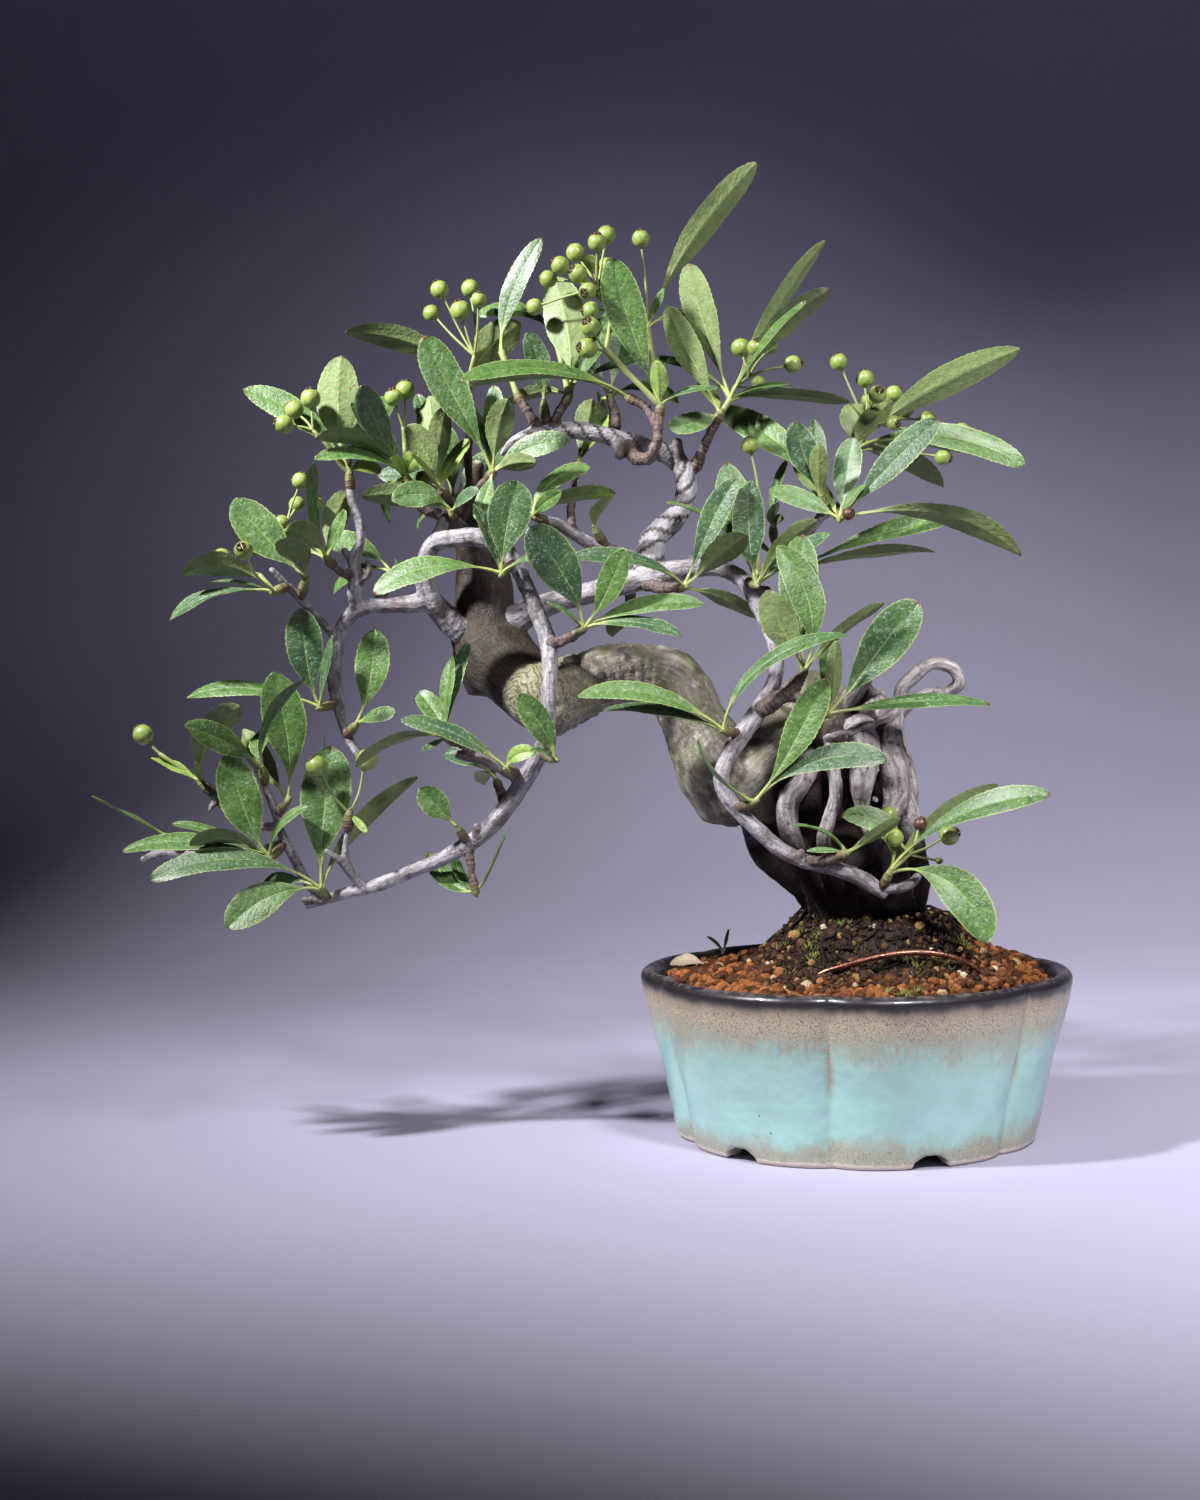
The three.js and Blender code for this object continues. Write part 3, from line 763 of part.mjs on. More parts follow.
// Grows every spray in turn: all fixed middles first, then the berries, then the leaves
function growSprays(wood, others) {
  const sprays = SPRAYS.map((spray) => startSpray(spray, wood));
  const clear = (shape, own) => others.every((one) => !near(shape, one) || shape.minGap(one, CLEAR) >= CLEAR)
    && sprays.every((spray) => spray === own || [spray.body, ...spray.placed].every((one) => (
      !near(shape, one) || shape.minGap(one, CLEAR) >= CLEAR)));
  const settle = (spray, member) => {
    let fallback = null;
    for (const shift of SHIFTS) {
      const shape = member.make(shift);
      if (!clear(shape, spray)) continue;
      if (!spray.placed.some((one) => near(shape, one) && crossing(shape, one, member.bud))) return shape;
      fallback = fallback ?? shape;
    }
    if (!fallback) throw new Error(`${spray.name}: no clear place for ${member.leaf ?? member.berry}`);
    return fallback;
  };
  ['berry', 'leaf'].forEach((kind) => sprays.forEach((spray) => {
    spray.members.filter((member) => member[kind]).forEach((member) => {
      spray.placed.push(settle(spray, member));
    });
  }));
  return sprays;
}

// A weed seedling: a thin stem standing in the soil, with three small leaves
const WEED_STEM = [[-33, 36, 30, 0.45], [-33.2, 43, 30, 0.45], [-34, 47, 30.5, 0.4]];
const WEED_LEAVES = [[-38.2, 51.6, -1, 3.4, 30, 0.5], [-32.6, 53.4, 1, 3.6, 20, 0]];

function makeWeed() {
  const end = WEED_STEM.at(-1);
  const bud = { at: place(end), along: new THREE.Vector3(0, 0, 1), depth: end[2] };
  return join([limb(WEED_STEM, 4), ...WEED_LEAVES.map((leaf) => makeLeaf(bud, leaf, 0))]);
}

// A shed leaf, curled, which comes to rest just above the grains
const SHED_START = [-38.5, 45, 12];
const SHED_LEAF = [-48, 45.4, 4, 4.2, 90, 1.2];
const DROP_STEP = 0.1;
const DROP_STEPS = 60;
const FAR_OFF = 9;

function makeShedLeaf(soil) {
  const at = place(SHED_START);
  const bud = { at, along: new THREE.Vector3(-1, 0, 0), depth: SHED_START[2] };
  let leaf = makeLeaf(bud, SHED_LEAF, 0);
  for (let drop = 0; drop < DROP_STEPS && leaf.minGap(soil, FAR_OFF) > CLEAR; drop += 1) {
    leaf = leaf.translate([0, 0, -DROP_STEP]);
  }
  return leaf;
}

// The wood: the buried column, trunk, roots, branches, stubs and long spurs as one grown piece
function sidesOf(places) {
  const mean = places.reduce((sum, at) => sum + at[3], 0) / places.length;
  if (mean > 5) return mean > 10 ? 10 : 8;
  return mean > 1.5 ? 5 : 4;
}

function makeWood() {
  const column = new THREE.CylinderGeometry(STEM_RADIUS, STEM_RADIUS, STEM_TOP - STEM_FOOT, STEM_SIDES);
  column.rotateX(Math.PI / 2);
  column.translate(STEM_X, 0, (STEM_TOP + STEM_FOOT) / 2);
  const spurs = SPRAYS.map((spray) => spray.stem).filter((stem) => stem.length > 2);
  const thin = [...ROOTS, ...Object.values(BRANCHES), ...STUBS, ...spurs];
  return oneBody(join([
    solid(column),
    ...TRUNK.map((places) => limb(places, sidesOf(places), 1, true, true)),
    ...thin.map((places) => limb(places, sidesOf(places))),
  ]));
}

// Finishes
function finish(color, roughness, metalness = 0) {
  return new THREE.MeshStandardMaterial({ color, roughness, metalness });
}

const BARK = 0x8b8078;
const GLAZE = 0x5f8f86;
const EARTH = 0x9a6a48;
const COPPER = 0xb87a52;
const NET_BLACK = 0x23262a;
const LEAF = 0x4d7a34;
const WEED = 0x86b04e;
const SHED = 0xcdbf98;

const wood = makeWood();
const pot = makePot();
const wire = makeWire();
const weed = makeWeed();
const soil = makeSoil(roomFor(WIRE_ARC.map((at) => [...at, WIRE_RADIUS]), 5), roomFor(WEED_STEM, 4));
const shed = makeShedLeaf(soil);
const sprays = growSprays(wood, [wood, pot, soil, wire, weed, shed]);

const tree = new THREE.Group();
tree.add(meshOf(pot, 'pot', finish(GLAZE, 0.25)));
tree.add(meshOf(soil, 'soil', finish(EARTH, 0.95)));
tree.add(meshOf(makeNet(), 'drain_mesh', finish(NET_BLACK, 0.6)));
tree.add(meshOf(wire, 'tie_wire', finish(COPPER, 0.4, 0.9)));
tree.add(meshOf(wood, 'wood', finish(BARK, 0.85)));
tree.add(meshOf(weed, 'weed_sprig', finish(WEED, 0.5)));
tree.add(meshOf(shed, 'fallen_leaf', finish(SHED, 0.8)));
sprays.forEach((spray) => {
  tree.add(meshOf(oneBody(join([spray.body, ...spray.placed])), spray.name, finish(LEAF, 0.4)));
});

// The origin is the middle of the box that the whole thing stands in, at its bottom
const box = new THREE.Box3().setFromObject(tree);
tree.position.set(-(box.min.x + box.max.x) / 2, -(box.min.y + box.max.y) / 2, -box.min.z);

export default tree;
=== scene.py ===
"""A weeping pyracantha bonsai in a six-lobed glazed pot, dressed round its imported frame."""

import math
from functools import partialmethod

import bmesh
import bpy
import numpy as np
from mathutils import Matrix, Vector
from mathutils.bvhtree import BVHTree


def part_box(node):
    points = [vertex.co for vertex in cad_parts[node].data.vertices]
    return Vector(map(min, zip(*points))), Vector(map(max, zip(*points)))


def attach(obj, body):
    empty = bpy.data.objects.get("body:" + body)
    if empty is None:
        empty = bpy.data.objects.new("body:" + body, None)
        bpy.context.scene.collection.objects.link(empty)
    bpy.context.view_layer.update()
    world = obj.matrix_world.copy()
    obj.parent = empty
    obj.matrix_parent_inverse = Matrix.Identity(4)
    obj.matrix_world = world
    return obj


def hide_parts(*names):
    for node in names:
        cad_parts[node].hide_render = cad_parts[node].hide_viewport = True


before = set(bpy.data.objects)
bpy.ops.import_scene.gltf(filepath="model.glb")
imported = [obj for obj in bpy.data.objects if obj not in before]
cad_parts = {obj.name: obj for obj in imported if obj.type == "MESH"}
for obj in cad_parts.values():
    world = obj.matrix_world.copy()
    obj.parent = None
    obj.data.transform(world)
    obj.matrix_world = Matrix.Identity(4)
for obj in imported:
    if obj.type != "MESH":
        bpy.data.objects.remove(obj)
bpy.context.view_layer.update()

bl_info = {
    "name": "Pyracantha Bonsai",
    "version": (1, 0, 0),
    "blender": (4, 5, 0),
    "location": "3D View > Sidebar > Bonsai",
    "description": "A weeping pyracantha bonsai with unripe berries in a six-lobed glazed pot",
    "category": "Add Mesh",
}

# Lengths are worked out in millimetres and laid down in metres
MM = 0.001
POT_X = 500 * (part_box("pot")[0][0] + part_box("pot")[1][0])

# Camera, fitted to the pot in the photo, with its place counted from the pot's middle
EYE = np.array((-65.5, -580.0, 123.0))
SIGHT = EYE + (POT_X, 0, 0)
LENS, SENSOR = 53.68, 36.0
LOOK_DOWN, TILT = math.radians(2.22), math.radians(0.717)

# Pot, as [radius, height] from the drain hole round the bowl and back
LOBES = 6
LOBE_TURN = 16.5
NOTCH_DEPTH = 0.05
POT_PROFILE = [
    [5, 3.6], [5, 6.5], [42.5, 6.5], [44.2, 9], [47.2, 23.8], [50.2, 38.6], [51.1, 41.4], [52, 42.6],
    [53.3, 43.2], [54.6, 42.9], [55.5, 41.9], [55.6, 40.6], [55.2, 38], [54.6, 35], [52.7, 27.8],
    [50.6, 20], [48.4, 10], [46.9, 2.2], [46.7, 1.2], [46.3, 0.4], [45.5, 0], [43, 0], [41.4, 0.2],
    [40.6, 1.6], [40, 3.6], [22, 3.6], [5, 3.6],
]
INNER_RADIUS, INNER_HEIGHT, INNER_FLARE = 50.2, 38.6, 0.3
FOOT_CUT = [[0, 3.4], [1.6, 3.4], [4, 2.2], [5, 0]]
FOOT_INSIDE = 39.5

# Soil, with a crown of earth round the stem
SOIL_EDGE = 40.0
STEM_X = 4.0
STEM_RADIUS = 17.0
CROWN_RADIUS = STEM_RADIUS + 2.5
CROWN_TOP, CROWN_DROP, CROWN_FOOT = 57.2, 2.6, 51.0
MOUND_RADIUS = 31.0
SOIL_SEED, SMALL_SEED, SPRAY_SEED = 21, 5, 100

# Wire and weed, as places [x, z, y, radius]
WIRE_ARC = [
    [-13, 37, -27, 0.75], [-9, 41.2, -28, 0.75], [-3, 43.3, -29, 0.75], [5, 45.4, -29.5, 0.75],
    [13, 46.6, -29.5, 0.75], [21, 46.4, -29, 0.75], [28, 44.6, -28, 0.75], [33, 41.5, -27, 0.75],
    [36, 37, -26, 0.75],
]
WEED_STEM = [[-33, 36, 30, 0.45], [-33.2, 43, 30, 0.45], [-34, 47, 30.5, 0.4]]
WEED_LEAVES = [[-38.2, 51.6, -1, 1.1, 30, 0.5], [-32.6, 53.4, 1, 1.0, 20, 0]]
SHED_START = [-38.5, 45, 12]
SHED_LEAF = [-48, 45.4, 4, 5.0, 50, 1.2]
LOOSE_ROOT = [[13, 54, -24, 0.5], [14.5, 51, -26, 0.45], [15, 49, -27, 0.4], [16, 46, -28, 0.35]]

# Leaf curves and the steps in depth that a leaf or berry may have been moved by in the frame
HOLD_NEAR, HOLD_FAR, CARRY, CUBIC_RISE = 0.25, 0.72, 0.08, 0.75
GAP = 0.3
BUD_LENGTH = 2.8
SHIFTS = [0, -3, 3, -6, 6, -9, 9, -12, 12, -16, 16, -20, 20, -25, 25]
NEAR_SHIFTS = SHIFTS[:9]
SMALL_WIDTH = 7.0

# Leaves that are young and berries that have dried, by the tip's or the berry's [x, z]
YOUNG_TIPS = [
    (-182, 100), (-170.5, 98.6), (-82.2, 99.8), (-118.5, 176.6), (-111.6, 177.6), (-98.4, 181.2),
    (-113.2, 177.4), (-121, 173.6), (-38.5, 195.2), (-49.5, 200.8), (-61.4, 187.4), (-61.4, 166.5),
    (-126.3, 79.8),
]
DRIED_BERRIES = [(-121.4, 167.8), (17.5, 80.2), (-0.5, 160.8)]

# Wood, as places [x, z, y, radius]. First the thick pieces of the trunk
TRUNK = [
    [[3.5, 55, 0.5, 14.5], [2.5, 63.5, 1, 16.3], [-3, 73, 1, 16.5], [-8, 81, 1, 14.5], [-8, 90, 2, 13],
     [-8, 100, 2, 13.5], [-9, 108, 2, 11.5], [-12, 115, 3, 8]],
    [[-10, 104, 2, 12], [-20, 97, 0, 12.5], [-29, 89.5, -2, 12]],
    [[-29.5, 88.5, -2, 11.6], [-36, 97.5, -3, 10.6], [-40.7, 107, -3, 8.7], [-44.2, 115, -3, 8.5]],
    [[-43.5, 113.5, -3, 8.2], [-47.5, 118.6, -3, 8.2], [-53.5, 120.2, -3, 7.8], [-62, 120, -4, 7.9],
     [-70, 117.3, -6, 8.7], [-77.5, 114.3, -8.5, 9.4], [-81.5, 113.6, -9.5, 9.2]],
    [[-80, 114, -6, 8.6], [-88, 121, 2, 9.4], [-93.5, 128, 7.5, 10.2], [-94.8, 136, 9, 8.3],
     [-95, 145, 9, 7.3], [-96, 152, 8, 6.4]],
    [[-96, 117.5, 8, 5.2], [-95.5, 122, 8, 8.4], [-94, 127, 8, 9.5]],
    [[-96, 151, 8, 6], [-98, 157, 6, 5], [-98.3, 163.5, 4, 3.4], [-97, 169.5, 2, 2.3],
     [-96, 174.8, 0, 1.7]],
]

# Roots that stand clear of the ground, the lumps where they join, and last one behind the trunk
ROOTS = [
    [[-11, 98, -8, 4], [-13.5, 91.5, -12.5, 2.8], [-16.8, 86.5, -14.5, 2.9], [-17, 81, -15, 2.9],
     [-15, 75, -14.5, 2.5], [-12, 68, -13, 2.4], [-8.4, 61.5, -10.8, 2.4], [-6.8, 58.5, -9.5, 2.3],
     [-6, 54, -9, 2.2]],
    [[-6, 101, -9, 2.8], [-5, 94, -14, 1.9], [-4.4, 88, -15.5, 1.7], [-6.3, 81.5, -16, 1.8],
     [-7.6, 76, -15.5, 1.9], [-5, 67, -14, 2.2], [-2.5, 58.5, -11.5, 2.2], [-2, 54, -10, 2.2]],
    [[2, 106, -9, 4.5], [3.2, 98, -13, 3.8], [2.2, 91, -14.5, 3.2], [2.4, 85, -14.5, 1.9],
     [3.5, 77, -13, 1.3], [4, 68, -13.5, 2]],
    [[9, 108, -5, 4.5], [9.5, 101, -9, 3.8], [11.3, 94.5, -9, 4.2], [11.5, 90, -8, 4.2],
     [10.5, 84, -10, 2.9], [7, 79, -13, 2.5], [3.3, 73.6, -15, 2.5], [-0.5, 69.2, -16, 2.4],
     [-1, 63, -14.5, 2], [-0.5, 58, -13, 2], [0, 54, -11, 2]],
    [[9, 92, -3, 5], [13, 84, -4, 4], [15.2, 78, -6, 3.5], [15.7, 72, -8, 3.6], [16.5, 66, -8, 3.6],
     [15.5, 59.5, -7, 3.2], [15, 54, -6, 3]],
    [[-24, 84, 2, 6], [-22, 76, 0, 6], [-17, 70.5, -3, 6], [-9, 63, -4, 5], [-6, 56, -3, 4.8]],
    [[-7, 103, -12, 0.9], [-2, 104.3, -13.5, 0.8], [4, 105.8, -14, 0.8], [9.5, 108.3, -11, 0.9],
     [12, 110, -8, 0.9]],
    [[4, 103, 0, 8], [4.5, 109, 0, 6.5], [5, 113, 1, 4.5]],
    [[-5, 104, -5, 3.6], [-2.2, 111, -5, 2.5], [1.2, 115.5, -4, 2.3], [3, 118, -3, 1.9], [4, 113, 2, 2.2],
     [5, 107, 4, 2.6]],
    [[8, 104, 0, 2.4], [12, 110.5, -1, 2.1], [12.8, 115.3, -2, 1.9], [16.5, 119, -2, 1.9],
     [21, 121.8, -1, 1.8], [26, 120.5, 0, 1.8], [28, 117, 1, 1.7], [25, 114.6, 2, 1.6], [19, 114, 3, 1.6],
     [13, 110, 3, 2], [9, 103, 3, 2.4]],
    [[3, 104, 9, 4.5], [2, 96, 14, 3.2], [3.5, 88, 15.5, 2.8], [2, 80, 15, 2.6], [5, 70, 14, 2.6],
     [7, 61, 11, 2.6], [6, 54, 10, 2.6]],
    [[-8, 102, 9, 4.5], [-11, 93, 14, 3.1], [-10, 84, 15.8, 2.9], [-13, 76, 14.5, 2.7], [-8, 66, 14, 2.6],
     [-4, 60, 11, 2.6], [-3, 54, 10, 2.4]],
    [[9, 106, 5, 4.2], [12, 98, 9, 3.4], [14, 89, 9.5, 3.2], [13, 80, 10, 3], [15, 70, 10, 3],
     [14, 60, 8, 3], [13, 54, 7, 3]],
    [[-18, 94, 8, 5], [-21, 85, 11, 3.4], [-20, 78, 11, 3.1], [-16, 70, 10, 3.2], [-9, 62, 8, 3.2]],
]

# Branches, from the trunk outwards
BRANCHES = {
    "left": [[-97, 130, 7, 5], [-101.5, 132.3, 4, 3.9], [-105.5, 136, 2, 3.3], [-109.3, 139.5, 0, 2.8],
        [-114, 138.9, -0.5, 2.4], [-121.5, 138.6, -1, 2.1], [-128, 137.6, -2, 2.1],
        [-131.8, 133.3, -2, 1.9], [-133.6, 127, -2.5, 2.1], [-134.3, 120, -3, 1.9],
        [-133.2, 113, -3.5, 1.7], [-131.3, 106.5, -4, 1.4], [-129.7, 102.3, -5, 1.1],
        [-128.2, 99.9, -6, 0.9]],
    "leftUpper": [[-127.5, 137.8, -1.5, 2], [-128.3, 142, -2, 2.1], [-128, 146, -2, 2],
        [-128.7, 150.5, -3, 1.7], [-126.8, 155, -4, 1.3], [-127, 160.5, -5, 1.2], [-128.8, 165.5, -6, 1.1],
        [-129.1, 169.6, -6, 1.2]],
    "weeping": [[-108, 138.5, 0, 2.8], [-110.3, 145, -2, 2.6], [-110, 150.3, -4, 2.3],
        [-107.5, 154.6, -6, 2.3], [-103, 155.6, -8, 2.3], [-97, 156, -10, 2.5], [-91.5, 154.4, -12, 2.4],
        [-87.3, 149.8, -13.5, 2.2], [-84.3, 143.5, -14, 2.2], [-81.4, 136.5, -14.5, 2.2],
        [-78.8, 129.5, -16, 2.2], [-78.2, 122.5, -19.5, 2.1], [-78.6, 115.5, -22.3, 2],
        [-78.8, 108, -21.8, 2], [-80.8, 100.5, -19.5, 2.2], [-85.5, 92.5, -17, 2.4],
        [-90.5, 85.2, -15, 2.3], [-97, 78.6, -14, 2.2], [-105.5, 73.4, -13, 2], [-114.5, 69.6, -12, 1.9],
        [-124, 66, -11, 1.8], [-132, 64, -11, 1.6], [-138.8, 62.2, -11, 1.4], [-142.5, 60.9, -11, 1]],
    "outerTwig": [[-138, 62.4, -11, 1.3], [-142.6, 67.8, -11, 1.3], [-145.4, 73.5, -11, 1.3],
        [-148.3, 79, -11, 1.2], [-149.8, 84.5, -11, 1.2], [-151.7, 90, -12, 1.1], [-153.2, 94, -13, 1],
        [-156, 98.3, -14, 0.6], [-159.2, 102, -15, 0.5]],
    "greyTwig": [[-147.4, 77.4, -11, 1.2], [-153, 76, -9, 1.1], [-162, 74.8, -8, 1], [-172, 74.4, -8, 1.2],
        [-180.5, 75, -8, 1.2], [-184.5, 73.3, -8, 1.1]],
    "brownTwig": [[-149, 81.5, -11, 1.2], [-154, 82, -8, 1.2], [-160, 84.6, -8, 1.4],
        [-163.5, 87.7, -9, 1.4], [-166.9, 91.2, -10, 1.1]],
    "darkTwig": [[-127, 65, -11.5, 1.3], [-130.5, 69, -13, 1.2], [-134, 73, -15, 0.9],
        [-137.2, 75.3, -16, 0.6]],
    "clusterTwig": [[-130.3, 69, -13, 0.9], [-131.8, 73, -14, 1.1], [-131.8, 77.3, -14.5, 0.8],
        [-131.2, 81, -15, 0.6]],
    "leftTwig": [[-133, 129.8, -2.5, 1.5], [-138, 135.5, -6, 1.1], [-142, 140, -9, 1.2],
        [-146, 144.2, -12, 1], [-150, 148.4, -14, 0.8]],
    "right": [[-92, 131.5, 8, 5.5], [-84.5, 135.8, 5, 3.8], [-76, 139.2, 3, 3], [-66, 141.7, 1, 2.9],
        [-57, 144, 0, 3.1], [-49, 145.9, -1, 3], [-41, 147.2, -2, 2.5], [-33.5, 147, -3, 2.2],
        [-27.8, 143.9, -4, 2.2], [-24.5, 138, -5, 2], [-21.2, 131, -8, 1.9], [-19.4, 124, -12, 1.9],
        [-20.5, 116.8, -15, 2], [-24.5, 109.8, -17.5, 2.4], [-29, 103.6, -19, 2.4], [-32.8, 97.5, -20, 2.2],
        [-34, 91.8, -20.5, 2.1], [-31.4, 86, -21, 2], [-25.5, 80, -21, 2.1], [-18.8, 74, -21, 2],
        [-13.2, 71.1, -21, 1.9], [-6, 69.2, -21, 1.9], [0.8, 66.8, -20, 2], [5, 64.2, -20, 2],
        [8, 61.6, -20, 1.2]],
    "rightTwig": [[-27.5, 143.5, -4, 1.6], [-20.8, 146.6, 0, 1.5], [-14.5, 151.5, 1, 1.3],
        [-10, 157, 0, 1.2], [-7, 160.7, -2, 1.4], [-3.4, 162.4, -3, 1.4], [-0.8, 163.7, -3, 1.1]],
    "upperLoop": [[-54, 144.6, 0, 3.4], [-51.8, 150, 2, 3.9], [-51, 155, 4, 3.5], [-46, 159.8, 5, 3.2],
        [-42.8, 164.8, 6, 2.8], [-42.3, 170, 6, 2.8], [-44.2, 174.4, 6, 2.8], [-48.8, 177.4, 5, 2.7],
        [-54.5, 179.4, 4, 2.5], [-61, 181.2, 3, 2.4], [-67, 182.6, 2, 2.4], [-73.5, 183.3, 1, 2.3],
        [-80, 182.8, 0, 2], [-86, 180.5, -2, 1.7], [-89.6, 177.4, -3, 1]],
    "crossTwig": [[-53.5, 150.3, 3, 2.3], [-59.5, 151.2, 2, 1.9], [-66, 153.5, 0, 1.9],
        [-71, 156.2, -1, 1.7], [-76, 159.2, -2, 1.5], [-79.6, 160.4, -3, 1.1]],
    "ringedSpur": [[8, 63.5, -20, 1.4], [12, 63.7, -21, 1.4], [15.5, 65.2, -22, 1.2], [16.8, 66.8, -22, 1]],
}

# Short stubs, cut ends and knobs
STUBS = [
    [[-85.5, 93, -17, 1.7], [-95, 98, -16, 1.6], [-102.6, 99.8, -15, 1.3]],
    [[-16.5, 113.8, -20, 1.6], [-14, 113.6, -22, 1.2]],
    [[-44, 174.5, 5, 1.7], [-44.7, 180.3, 3, 1.3]],
    [[-107.5, 154, -6, 2], [-105.2, 160, -4, 1.4], [-104.2, 163.7, -3, 1]],
    [[-59.5, 180.5, 3, 2.3], [-59.4, 176.4, 0, 1.4]],
    [[-127.5, 145, -2, 1.2], [-124.8, 147, -5, 1], [-124.9, 150.3, -5, 0.7]],
    [[-129.2, 149.5, -3, 1], [-131, 153.3, -5, 0.8]],
    [[-97.5, 78.8, -15, 1.4], [-97.9, 81.3, -16, 0.9]],
    [[-79.8, 104, -20.5, 1.2], [-82.3, 107.4, -18.5, 0.8]],
    [[-138, 62, -11, 1.3], [-143.3, 62.5, -12, 0.8]],
    [[-24.5, 141.5, -5, 1.5], [-21.3, 141.2, -7, 1.1]],
    [[-14.5, 71.5, -21.5, 1.4], [-13.3, 73.6, -22.5, 0.9]],
    [[-165, 89, -9.5, 1], [-167.2, 86, -11, 0.6]],
]

